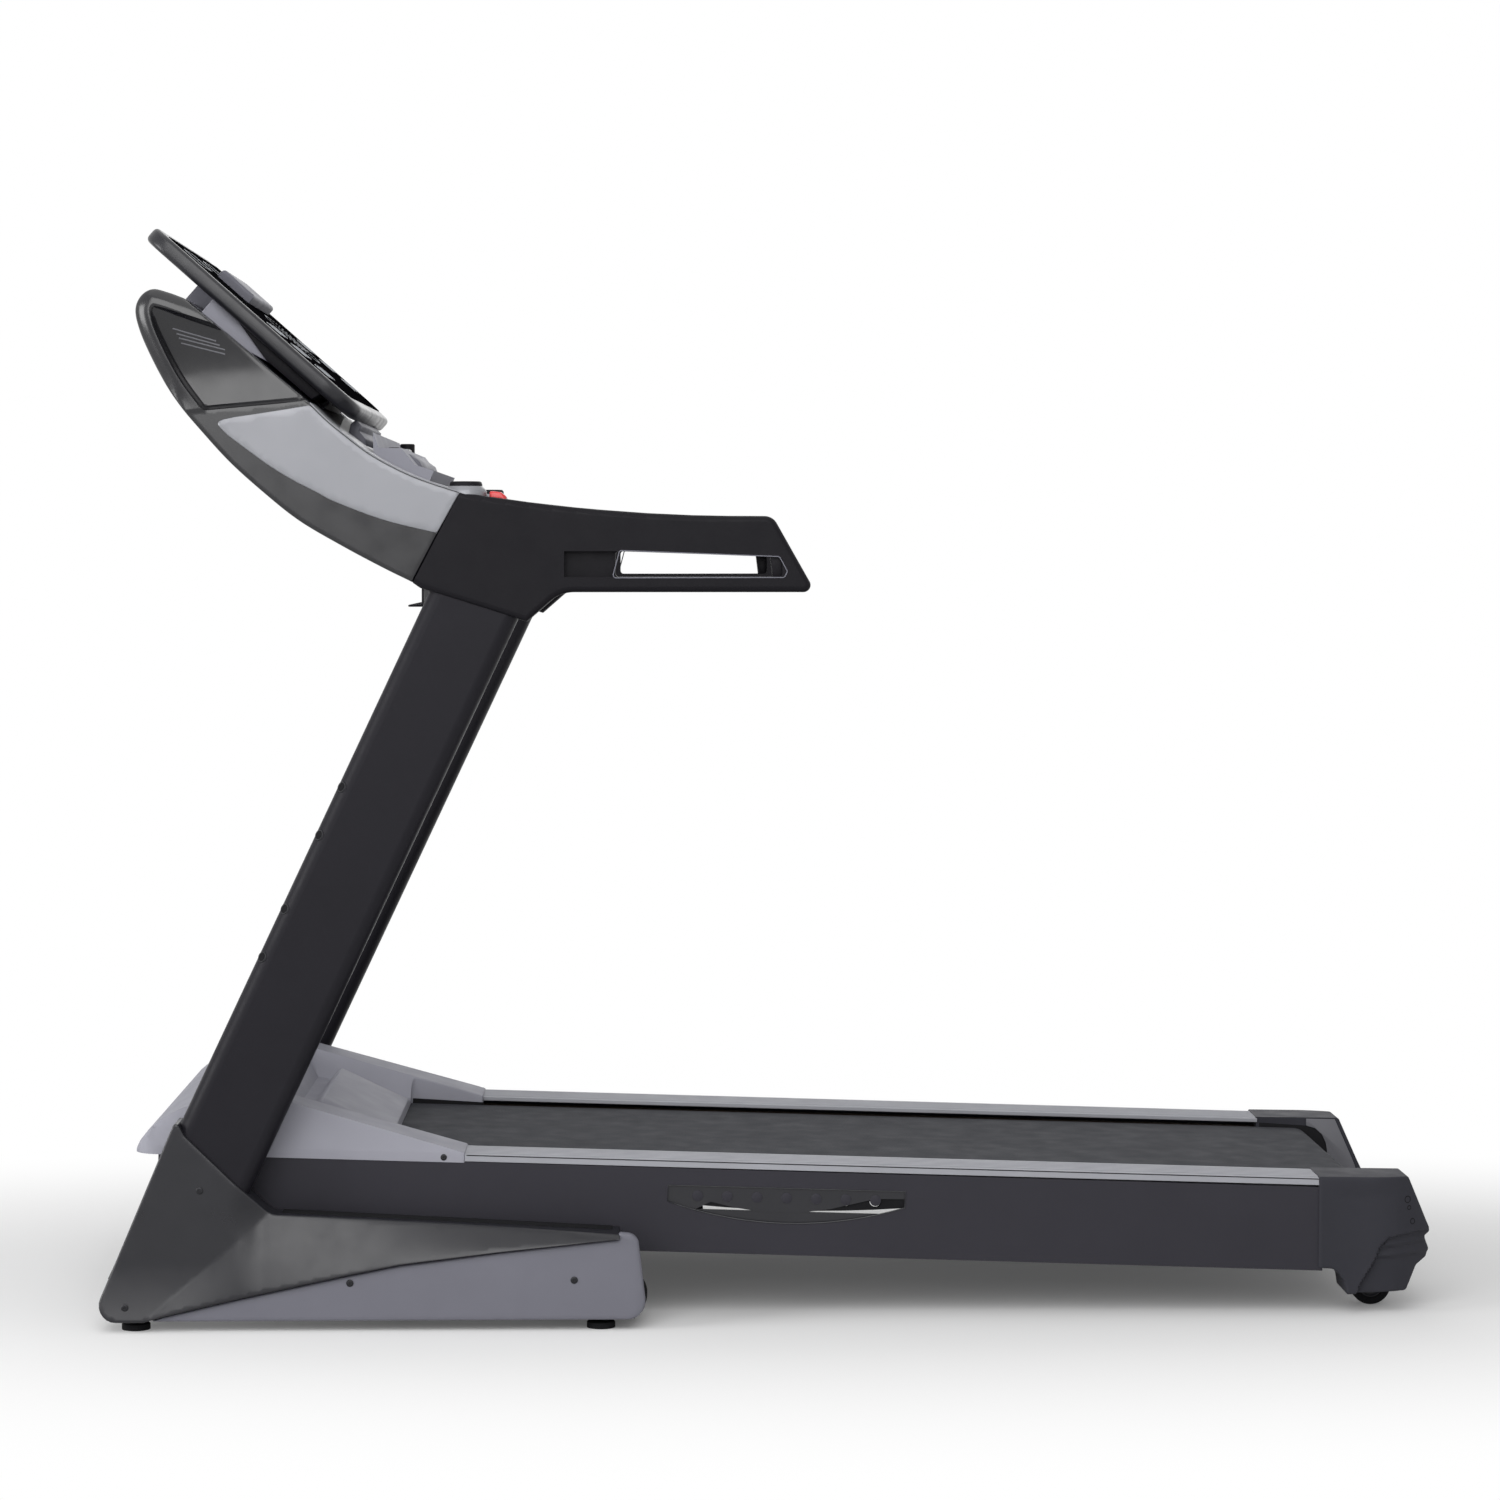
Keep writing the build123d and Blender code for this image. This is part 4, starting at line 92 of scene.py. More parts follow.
# A point of a flat view with its rounding radius, or three values that belong together.
Corner = tuple[float, float, float]
Line = tuple[Flat, ...]
Outline = tuple[Corner, ...]
Array = np.ndarray
BMesh = bmesh.types.BMesh
Socket = bpy.types.NodeSocket


def srgb(red: int, green: int, blue: int) -> Colour:
    """Linear colour of an 8-bit display colour."""

    def linear(value: int) -> float:
        """Linear value of one channel."""
        share = value / 255
        return share / 12.92 if share <= 0.04045 else ((share + 0.055) / 1.055) ** 2.4

    return linear(red), linear(green), linear(blue)


class Side(Enum):
    """The two sides of the treadmill."""

    LEFT = -1
    RIGHT = 1

    @property
    def word(self) -> str:
        """Name of the side as the nodes use it."""
        return self.name.lower()


BOTH = (Side.LEFT, Side.RIGHT)


def feed(node: bpy.types.Node, **settings: object) -> bpy.types.Node:
    """Make some settings of a node.

    Args:
        node: The node.
        **settings: Attributes, and inputs by name with underscores for spaces. Sockets are linked to inputs.

    Returns:
        The same node.
    """
    for key, value in settings.items():
        socket = node.inputs.get(key.replace("_", " "))
        if socket is None:
            setattr(node, key, value)
        elif isinstance(value, Socket):
            node.id_data.links.new(value, socket)
        else:
            socket.default_value = value
    return node


def wire(tree: bpy.types.NodeTree, kind: str, **settings: object) -> bpy.types.Node:
    """A new node with some of its settings made.

    Args:
        tree: Tree that it joins.
        kind: Node type.
        **settings: Settings as for feed.

    Returns:
        The node.
    """
    return feed(tree.nodes.new(kind), **settings)


def combined(operation: str, one: Socket, two: Socket) -> Socket:
    """Number that a Math node makes of two others.

    Args:
        operation: What the node does.
        one: First number.
        two: Second number.

    Returns:
        The socket of the result.
    """
    tree = one.id_data
    node = wire(tree, "ShaderNodeMath", operation=operation)
    for value, socket in zip((one, two), node.inputs):
        tree.links.new(value, socket)
    return node.outputs["Value"]


class Grain(Enum):
    """Surface textures that a finish can carry."""

    ORANGE_PEEL = "orange_peel"
    LEATHER = "leather"
    FLAKE = "flake"
    WEAVE = "weave"
    TURNED = "turned"
    FIBRE = "fibre"


@dataclass(frozen=True)
class Finish:
    """One procedural finish, read on Object coordinates.

    Attributes:
        name: Material name.
        slot: Slot of the record that the finish belongs to.
        colour: Base colour, linear.
        roughness: Middle roughness.
        grain: Kind of fine texture.
        grain_size: Size of one grain in metres.
        relief: Height of the grain in metres.
        mottle: Share by which the colour varies over a hand's breadth.
        metallic: Metallic share.
        coat: Weight of the clear coat.
        specular: Specular level.
    """

    name: str
    slot: str
    colour: Colour
    roughness: float
    grain: Grain = Grain.ORANGE_PEEL
    grain_size: float = 0.0012
    relief: float = 0.00003
    mottle: float = 0.08
    metallic: float = 0.0
    coat: float = 0.0
    specular: float = 0.5

    def material(self) -> bpy.types.Material:
        """The finish's material, made on first use.

        Returns:
            The material, shared by every piece with this finish.
        """
        known = bpy.data.materials.get(self.name)
        return known if known else FinishTree(self).material


class FinishTree:
    """Node tree of one finish. Sizes are in metres."""

    PATCH_SIZE = 0.11
    FIBRE_PATCH_SIZE = 0.01
    WEAR_SIZE = PATCH_SIZE / 3
    EVEN = (1.0, 1.0, 1.0)
    FIBRE_STRETCH = (0.1, 1.0, 1.0)
    FIBRE_PATCH_STRETCH = (0.12, 1.0, 1.0)
    TURNED_STRETCH = (1.0, 0.05, 1.0)
    NOISE_LOW = 0.3
    NOISE_HIGH = 0.7
    ROUGHNESS_SPREAD = 0.09
    LEAST_ROUGHNESS = 0.02
    # Length of one wave of the Wave texture at a scale of 1.
    WAVE_LENGTH = 0.314
    WAVE_DISTORTION = 1.2

    def __init__(self, finish: Finish) -> None:
        """Build the tree.

        Args:
            finish: The finish to draw.
        """
        self.finish = finish
        self.material = bpy.data.materials.new(finish.name)
        self.material.use_nodes = True
        self.material.diffuse_color = (*finish.colour, 1.0)
        self.tree = self.material.node_tree
        self.place = wire(self.tree, "ShaderNodeTexCoord").outputs["Object"]
        feed(self.tree.nodes["Principled BSDF"], Metallic=finish.metallic, Coat_Weight=finish.coat,
             Specular_IOR_Level=finish.specular, Base_Color=self._colour(), Roughness=self._roughness(),
             Normal=self._relief())

    def noise(self, size: float, detail: float, stretch: Point = EVEN) -> Socket:
        """Soft noise with features of a size.

        Args:
            size: Feature size.
            detail: Octaves.
            stretch: Factors on the three coordinates.

        Returns:
            The noise value socket.
        """
        turn = wire(self.tree, "ShaderNodeMapping", Vector=self.place, Scale=stretch)
        cloud = wire(self.tree, "ShaderNodeTexNoise", Vector=turn.outputs["Vector"], Scale=1 / size,
                     Detail=detail)
        return cloud.outputs["Fac"]

    def spread(self, value: Socket, low: float, high: float) -> Socket:
        """Stretch the middle of a noise to a range.

        Args:
            value: Noise socket.
            low: Result at the noise's low end.
            high: Result at its high end.

        Returns:
            The stretched socket.
        """
        span = wire(self.tree, "ShaderNodeMapRange", Value=value, From_Min=self.NOISE_LOW,
                    From_Max=self.NOISE_HIGH, To_Min=low, To_Max=high)
        return span.outputs["Result"]

    def _colour(self) -> Socket:
        """Colour that varies gently over the surface.

        Returns:
            The colour socket.
        """
        finish = self.finish
        if finish.grain is Grain.FIBRE:
            patch = self.noise(self.FIBRE_PATCH_SIZE, 3.0, self.FIBRE_PATCH_STRETCH)
        else:
            patch = self.noise(self.PATCH_SIZE, 3.0)
        mix = wire(self.tree, "ShaderNodeMix", data_type="RGBA")
        for socket, share in ((mix.inputs[6], 1 - finish.mottle), (mix.inputs[7], 1 + finish.mottle)):
            socket.default_value = (*(channel * share for channel in finish.colour), 1.0)
        self.tree.links.new(self.spread(patch, 0.0, 1.0), mix.inputs[0])
        return mix.outputs[2]

    def _roughness(self) -> Socket:
        """Roughness that varies gently over the surface.

        Returns:
            The roughness socket.
        """
        rough = self.finish.roughness
        low = max(self.LEAST_ROUGHNESS, rough - self.ROUGHNESS_SPREAD * rough)
        high = min(1.0, rough + self.ROUGHNESS_SPREAD)
        return self.spread(self.noise(self.WEAR_SIZE, 4.0), low, high)

    def _grain_height(self) -> Socket:
        """Height of the fine texture, 0 to 1.

        Returns:
            The height socket.
        """
        grain, size = self.finish.grain, self.finish.grain_size
        if grain is Grain.LEATHER:
            cells = wire(self.tree, "ShaderNodeTexVoronoi", Vector=self.place, Scale=1 / size)
            return cells.outputs["Distance"]
        if grain is Grain.WEAVE:
            return self._weave(size)
        if grain is Grain.TURNED:
            return self.noise(size, 1.0, self.TURNED_STRETCH)
        if grain is Grain.FIBRE:
            return self.noise(size, 2.0, self.FIBRE_STRETCH)
        return self.noise(size, 1.0)

    def _weave(self, size: float) -> Socket:
        """Crossed fine ribs of a running belt.

        Args:
            size: Distance between two ribs.

        Returns:
            The height socket.
        """
        ribs = []
        for direction in ("X", "Y"):
            wave = wire(self.tree, "ShaderNodeTexWave", bands_direction=direction, Vector=self.place,
                        Distortion=self.WAVE_DISTORTION, Detail=1.0, Scale=self.WAVE_LENGTH / size)
            ribs.append(wave.outputs["Fac"])
        return combined("MULTIPLY", *ribs)

    def _relief(self) -> Socket:
        """Fine relief of the surface.

        Returns:
            The normal socket.
        """
        bump = wire(self.tree, "ShaderNodeBump", Strength=1.0, Distance=self.finish.relief,
                    Height=self._grain_height())
        return bump.outputs["Normal"]


def coat(name: str, colour: Colour, roughness: float) -> Finish:
    """Satin powder coat of the steel frame."""
    return Finish(name, "frame_black", colour, roughness, grain_size=0.0011, relief=0.00002, mottle=0.04,
                  specular=0.13)


def moulding(name: str, slot: str, colour: Colour, roughness: float, specular: float, relief: float = 0.00003,
             grain_size: float = 0.0008) -> Finish:
    """Moulded plastic with a fine leather grain."""
    return Finish(name, slot, colour, roughness, Grain.LEATHER, grain_size, relief, 0.04, specular=specular)


FRAME_BLACK = coat("satin_black_coat", srgb(26, 25, 30), 0.42)
BEAM_BLACK = coat("deck_beam_coat", srgb(49, 48, 54), 0.45)
GRIP_BLACK = moulding("grip_moulding", "grip_black", srgb(20, 19, 23), 0.46, 0.105, grain_size=0.0009)
SHELL_DARK = moulding("dark_moulding", "shell_dark", srgb(25, 25, 30), 0.3, 0.42, 0.00002)
CHEEK_DARK = moulding("cheek_moulding", "shell_dark", srgb(18, 18, 22), 0.18, 0.55, 0.000004)
CAP_DARK = moulding("cap_moulding", "shell_dark", srgb(48, 48, 54), 0.6, 0.16)
# Lighter copy of the dark moulding: painted light on the caps' inner walls and painted highlights along the
# cheek vents.
SHELL_PAINTED_LIGHT = moulding("inner_moulding", "shell_dark", srgb(100, 100, 105), 0.5, 0.3)
SHELL_GREY = moulding("mid_grey_moulding", "shell_grey", srgb(105, 105, 114), 0.5, 0.3)
HOOD_GREY = moulding("hood_moulding", "shell_grey", srgb(147, 147, 156), 0.58, 0.2)
RAIL_GREY = moulding("foot_rail_moulding", "rail_grey", srgb(150, 151, 157), 0.52, 0.3, 0.00004, 0.001)
SILVER = Finish("silver_lacquer", "trim_silver", srgb(128, 129, 134), 0.36, Grain.FLAKE, 0.0004, 0.000006,
                0.03, metallic=0.2, coat=0.15)
SCREEN = Finish("screen_gloss", "screen_black", srgb(14, 14, 16), 0.3, grain_size=0.02, relief=0.000002,
                mottle=0.1, specular=0.0)
BELT = Finish("running_belt_rubber", "belt_black", srgb(60, 61, 65), 0.8, Grain.WEAVE, 0.0022, 0.00022, 0.05,
              specular=0.12)
BOARD = Finish("waxed_fibre_board", "board_wood", srgb(66, 54, 44), 0.5, Grain.FIBRE, 0.004, 0.00004, 0.2)
STEEL = Finish("turned_steel", "bright_steel", srgb(196, 196, 199), 0.28, Grain.TURNED, 0.0016, 0.00001, 0.06,
               metallic=1.0)
DARK_STEEL = Finish("blackened_steel", "bright_steel", srgb(34, 34, 37), 0.4, Grain.TURNED, 0.0016, 0.00001,
                    0.1, metallic=0.6)
RUBBER = Finish("matte_rubber", "rubber_black", srgb(26, 26, 28), 0.82, grain_size=0.0016, relief=0.00006,
                mottle=0.1, specular=0.1)
MOTOR_DARK = Finish("motor_enamel", "motor_dark", srgb(66, 67, 72), 0.4, grain_size=0.0014, relief=0.00002)
KEY_RED = Finish("gloss_red", "key_red", srgb(205, 30, 34), 0.3, grain_size=0.003, relief=0.00001, coat=0.3)
MARK = Finish("pale_print", "trim_silver", srgb(160, 163, 168), 0.5, grain_size=0.002, relief=0.00001)


@dataclass(frozen=True)
class Softening:
    """How a frame node is redrawn with rounded edges.

    Attributes:
        node: Name of the node.
        finish: Its finish.
        width: Width of the rounded edge in metres, 0 for none.
        segments: Faces across the rounded edge.
        limit: Lowest and highest corner that the redrawn node is pressed into, in metres.
        longer: Place along and length, in metres: what lies beyond the place moves on by the length.
    """

    node: str
    finish: Finish
    width: float = 0.0015
    segments: int = 2
    limit: tuple[Point, Point] | None = None
    longer: tuple[float, float] | None = None


def node_body(node: str) -> str:
    """Body that a node rides on."""
    return str(frame["nodes"][node]["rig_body"])


def link(name: str, mesh: bpy.types.Mesh) -> bpy.types.Object:
    """A new object in the scene.

    Args:
        name: Its name.
        mesh: Its mesh.

    Returns:
        The object, at the origin.
    """
    piece = bpy.data.objects.new(name, mesh)
    bpy.context.scene.collection.objects.link(piece)
    return piece


def baked(piece: bpy.types.Object) -> bpy.types.Object:
    """Turn a piece's modifiers into a plain mesh.

    Args:
        piece: Object with modifiers.

    Returns:
        The same object with its final mesh and no modifiers.
    """
    graph = bpy.context.evaluated_depsgraph_get()
    mesh = bpy.data.meshes.new_from_object(piece.evaluated_get(graph), depsgraph=graph)
    piece.modifiers.clear()
    old = piece.data
    piece.data = mesh
    mesh.name = piece.name
    if old.users == 0:
        bpy.data.meshes.remove(old)
    return piece


def settle(piece: bpy.types.Object, body: str, finish: Finish, *nodes: str) -> bpy.types.Object:
    """Dress a finished piece and let it ride on its body.

    Args:
        piece: The piece.
        body: Body that it moves with.
        finish: Its finish.
        *nodes: Frame nodes that it stands for.

    Returns:
        The piece.
    """
    piece.data.materials.clear()
    piece.data.materials.append(finish.material())
    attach(piece, body)
    if nodes:
        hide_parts(*nodes)
    log.info("%s rides on %s, %d faces", piece.name, body, len(piece.data.polygons))
    return piece


def merged_copy(node: str) -> BMesh:
    """A node's mesh with its loose triangles joined and its flat faces whole.

    Args:
        node: Name of the node.

    Returns:
        The joined mesh, to be freed by the caller.
    """
    shape = bmesh.new()
    shape.from_mesh(frame["nodes"][node].data)
    bmesh.ops.remove_doubles(shape, verts=shape.verts, dist=MERGE_DISTANCE)
    bmesh.ops.dissolve_limit(shape, angle_limit=FLAT_ANGLE, verts=shape.verts, edges=shape.edges)
    return shape


def soften(task: Softening) -> bpy.types.Object:
    """Redraw a node with rounded edges.

    Args:
        task: The node, its finish and its edges.

    Returns:
        The piece that stands for the node.
    """
    shape = merged_copy(task.node)
    if task.limit:
        for vert in shape.verts:
            vert.co = [min(max(value, low), high) for value, low, high in zip(vert.co, *task.limit)]
    if task.longer:
        for vert in shape.verts:
            vert.co.x += task.longer[1] if vert.co.x > task.longer[0] else 0.0
    mesh = bpy.data.meshes.new(task.node + "_skin")
    shape.to_mesh(mesh)
    shape.free()
    for layer in ("custom_normal", "sharp_edge", "sharp_face"):
        if layer in mesh.attributes:
            mesh.attributes.remove(mesh.attributes[layer])
    mesh.shade_smooth()
    mesh.set_sharp_from_angle(angle=SMOOTH_ANGLE)
    piece = link(task.node + "_skin", mesh)
    if task.width > 0:
        edge = piece.modifiers.new("rounded_edges", "BEVEL")
        edge.width = task.width
        edge.segments = task.segments
        edge.limit_method = "ANGLE"
        edge.angle_limit = EDGE_ANGLE
        edge.miter_outer = "MITER_ARC"
    even = piece.modifiers.new("even_shading", "WEIGHTED_NORMAL")
    even.keep_sharp = task.width <= 0
    baked(piece)
    return settle(piece, node_body(task.node), task.finish, task.node)


@dataclass
class Studio:
    """Camera, floor, light and background, in metres.

    Attributes:
        camera_place: Camera position.
        camera_tilt: Camera pitch below level, in degrees.
        camera_turn: Camera turn about the vertical, in degrees.
        lens: Focal length in millimetres.
        view_end: Distance that the camera sees to.
        floor_half: Half of the floor's side.
        floor_colour: Colour of the floor's own surface.
        fade_squash: Factors on the floor's coordinates before its distance from the middle is taken.
        fade: Distances between which the floor fades to white.
        fade_least: Share of white at the middle.
        ambient: Strength of the even light.
        lamps: Name, place, aim, size and power of each lamp.
    """

    camera_place: Point = (-0.1623, -6.130, 1.0916)
    camera_tilt: float = 2.7927
    camera_turn: float = -1.2997
    lens: float = 98.4
    view_end: float = 200.0
    floor_half: float = 30.0
    floor_colour: Colour = (0.9, 0.9, 0.9)
    fade_squash: Point = (1.0, 2.0, 1.0)
    fade: Flat = (0.8, 2.8)
    fade_least: float = 0.08
    ambient: float = 0.28
    lamps: tuple[tuple[str, Point, Point, float, float], ...] = (
        ("softbox", (-0.7, -4.6, 3.2), (-0.1, 0.0, 0.5), 4.0, 176.0),
        ("overhead", (-0.2, -0.4, 4.6), (0.0, 0.0, 0.4), 4.0, 29.0),
        ("left", (-4.6, -2.2, 1.7), (-0.5, 0.0, 0.8), 2.2, 104.0),
        ("front_right", (3.8, -3.8, 2.4), (0.2, 0.0, 0.6), 3.0, 6.5),
        ("rear", (0.5, 4.4, 3.2), (0.0, 0.0, 0.7), 3.0, 29.0),
    )

    def build(self) -> None:
        """Set the stage."""
        scene = bpy.context.scene
        scene.view_settings.view_transform = "Standard"
        self._camera(scene)
        self._world(scene)
        self._floor()
        for lamp in self.lamps:
            self._lamp(*lamp)

    def _camera(self, scene: bpy.types.Scene) -> None:
        """Place the camera."""
        lens = bpy.data.cameras.new("camera")
        lens.lens = self.lens
        lens.clip_end = self.view_end
        camera = bpy.data.objects.new("camera", lens)
        camera.location = self.camera_place
        camera.rotation_euler = (math.radians(90 - self.camera_tilt), 0.0, math.radians(self.camera_turn))
        scene.collection.objects.link(camera)
        scene.camera = camera

    def _world(self, scene: bpy.types.Scene) -> None:
        """White to look at, and an even pale light."""
        world = bpy.data.worlds.new("studio")
        scene.world = world
        world.use_nodes = True
        tree = world.node_tree
        strength = wire(tree, "ShaderNodeMapRange", Value=self._seen(tree), To_Min=self.ambient, To_Max=1.0)
        feed(tree.nodes["Background"], Color=(1.0, 1.0, 1.0, 1.0), Strength=strength.outputs["Result"])

    @staticmethod
    def _seen(tree: bpy.types.NodeTree) -> Socket:
        """One where the camera sees a point, also by a mirror or through glass.

        Args:
            tree: Node tree of the world or the floor.

        Returns:
            The socket that says so.
        """
        path = wire(tree, "ShaderNodeLightPath")
        seen = path.outputs["Is Camera Ray"]
        for ray in ("Is Glossy Ray", "Is Transmission Ray"):
            seen = combined("MAXIMUM", seen, path.outputs[ray])
        return seen

    def _floor(self) -> None:
        """Pale floor that keeps the shadow near the treadmill and fades to white."""
        shape = bmesh.new()
        bmesh.ops.create_grid(shape, x_segments=2, y_segments=2, size=self.floor_half)
        mesh = bpy.data.meshes.new("floor")
        shape.to_mesh(mesh)
        shape.free()
        floor = link("floor", mesh)
        mesh.materials.append(self._floor_material())

    def _floor_material(self) -> bpy.types.Material:
        """Diffuse floor under a white that grows with distance."""
        material = bpy.data.materials.new("pale_floor")
        material.use_nodes = True
        tree = material.node_tree
        tree.nodes.remove(tree.nodes["Principled BSDF"])
        place = wire(tree, "ShaderNodeTexCoord").outputs["Object"]
        squashed = wire(tree, "ShaderNodeMapping", Vector=place, Scale=self.fade_squash).outputs["Vector"]
        away = wire(tree, "ShaderNodeVectorMath", operation="LENGTH", Vector=squashed).outputs["Value"]
        fade = wire(tree, "ShaderNodeMapRange", interpolation_type="SMOOTHSTEP", Value=away,
                    From_Min=self.fade[0], From_Max=self.fade[1], To_Min=self.fade_least)
        matte = wire(tree, "ShaderNodeBsdfDiffuse", Color=(*self.floor_colour, 1.0))
        white = wire(tree, "ShaderNodeEmission")
        share = combined("MULTIPLY", fade.outputs["Result"], self._seen(tree))
        mix = wire(tree, "ShaderNodeMixShader", Fac=share)
        tree.links.new(matte.outputs["BSDF"], mix.inputs[1])
        tree.links.new(white.outputs["Emission"], mix.inputs[2])
        feed(tree.nodes["Material Output"], Surface=mix.outputs["Shader"])
        return material

    def _lamp(self, name: str, place: Point, aim: Point, size: float, power: float) -> None:
        """A soft square lamp.

        Args:
            name: Its name.
            place: Where it hangs.
            aim: Point that it faces.
            size: Side of its square.
            power: Its power in watts.
        """
        light = bpy.data.lights.new(name, "AREA")
        light.energy = power
        light.size = size
        lamp = bpy.data.objects.new(name, light)
        lamp.location = place
        lamp.rotation_euler = (Vector(aim) - Vector(place)).to_track_quat("-Z", "Y").to_euler()
        bpy.context.scene.collection.objects.link(lamp)


# Share of a run that a rounded corner may take up, the shortest such length in millimetres, and the half
# angle from which a corner counts as straight.
CORNER_SHARE = 0.49
LEAST_CORNER = 0.2
STRAIGHT = math.radians(89.5)


def spaced(line: Sequence[Flat], step: float) -> list[Flat]:
    """Closed line with runs no longer than a step.

    Args:
        line: Points of the line.
        step: Longest run between two points.

    Returns:
        Points of the finer line.
    """
    dense: list[Flat] = []
    corners = [Vector(point) for point in line]
    for start, end in zip(corners, corners[1:] + corners[:1]):
        parts = max(1, math.ceil((end - start).length / step))
        dense += [tuple(start.lerp(end, part / parts)) for part in range(parts)]
    return dense


def rounded(corners: Sequence[Corner], step: float = 5.0, turns: int = 7) -> list[Flat]:
    """Closed line with rounded corners and short runs.

    Args:
        corners: Points with their rounding radius, in millimetres.
        step: Longest run between two points.
        turns: Runs in each rounded corner.

    Returns:
        Points of the line.
    """
    line: list[Flat] = []
    count = len(corners)
    for index, (along, up, radius) in enumerate(corners):
        here = Vector((along, up))
        before = Vector(corners[index - 1][:2]) - here
        after = Vector(corners[(index + 1) % count][:2]) - here
        half_turn = before.angle(after) / 2
        longest = CORNER_SHARE * min(before.length, after.length)
        reach = min(radius / math.tan(half_turn), longest)
        if reach < LEAST_CORNER or half_turn > STRAIGHT:
            line.append((along, up))
            continue
        before.normalize()
        after.normalize()
        centre = here + (before + after).normalized() * reach / math.cos(half_turn)
        first, last = here + before * reach - centre, here + after * reach - centre
        size = first.length
        line += [tuple(centre + first.slerp(last, part / turns) * size) for part in range(turns + 1)]
    return spaced(line, step)


def flow(points: Sequence[Flat], parts: int = 6) -> list[Flat]:
    """Open smooth line through points.

    Args:
        points: Points that the line passes.
        parts: Runs between two of them.

    Returns:
        Points of the line.
    """
    knots = [Vector(point) for point in points]
    knots = [2 * knots[0] - knots[1], *knots, 2 * knots[-1] - knots[-2]]
    line: list[Flat] = []
    for one, two, three, four in zip(knots, knots[1:], knots[2:], knots[3:]):
        for part in range(parts):
            share = part / parts
            first = 2 * one - 5 * two + 4 * three - four
            second = 3 * two - one - 3 * three + four
            bend = first * share + second * share ** 2
            line.append(tuple(two + 0.5 * share * (three - one + bend)))
    return line + [tuple(knots[-2])]


def line_distance(x: Array, z: Array, line: Sequence[Flat], closed: bool = False) -> Array:
    """Distance of points to a line of runs.

    Args:
        x: First coordinates.
        z: Second coordinates.
        line: Points of the line.
        closed: Whether the last point joins the first.

    Returns:
        Distances.
    """
    starts = np.array(line if closed else line[:-1], dtype=float)
    ends = np.array(list(line[1:]) + [line[0]] if closed else line[1:], dtype=float)
    run = ends - starts
    length = np.maximum((run ** 2).sum(1), 1e-12)
    across = np.stack([x, z], 1)[:, None, :] - starts[None]
    share = np.clip((across * run[None]).sum(2) / length, 0, 1)
    return np.sqrt(((across - share[..., None] * run[None]) ** 2).sum(2)).min(1)


def is_inside(x: Array, z: Array, loop: Sequence[Flat]) -> Array:
    """Whether points lie inside a closed line.

    Args:
        x: First coordinates.
        z: Second coordinates.
        loop: Points of the closed line.

    Returns:
        True for the points inside.
    """
    inside = np.zeros(len(x), dtype=bool)
    for (x0, z0), (x1, z1) in zip(loop, list(loop[1:]) + [loop[0]]):
        crosses = (z0 > z) != (z1 > z)
        inside ^= crosses & (x < (x1 - x0) * (z - z0) / ((z1 - z0) or 1e-12) + x0)
    return inside


def ease(value: Array) -> Array:
    """Smooth step from 0 to 1."""
    share = np.clip(value, 0.0, 1.0)
    return share * share * (3 - 2 * share)


DepthRule = Callable[[Array, Array], Array]
PlaceRule = Callable[[float, float, float], Vector]


def beside(side: Side) -> PlaceRule:
    """Rule that places points of a side view, with their distance from the middle plane, on a side."""
    return lambda along, up, out: MM * Vector((along, side.value * out, up))


# Rules of the left and the right side.
PAIR = tuple(map(beside, BOTH))


def level(depth: float) -> DepthRule:
    """Rule of a flat face."""
    return lambda x, z: np.full(len(x), depth)


def straight(start: Flat, end: Flat, parts: int) -> list[Flat]:
    """Evenly spaced points from one point to another.

    Args:
        start: First point.
        end: Last point.
        parts: Runs between them.

    Returns:
        The points.
    """
    return [tuple(one + (two - one) * part / parts for one, two in zip(start, end))
            for part in range(parts + 1)]


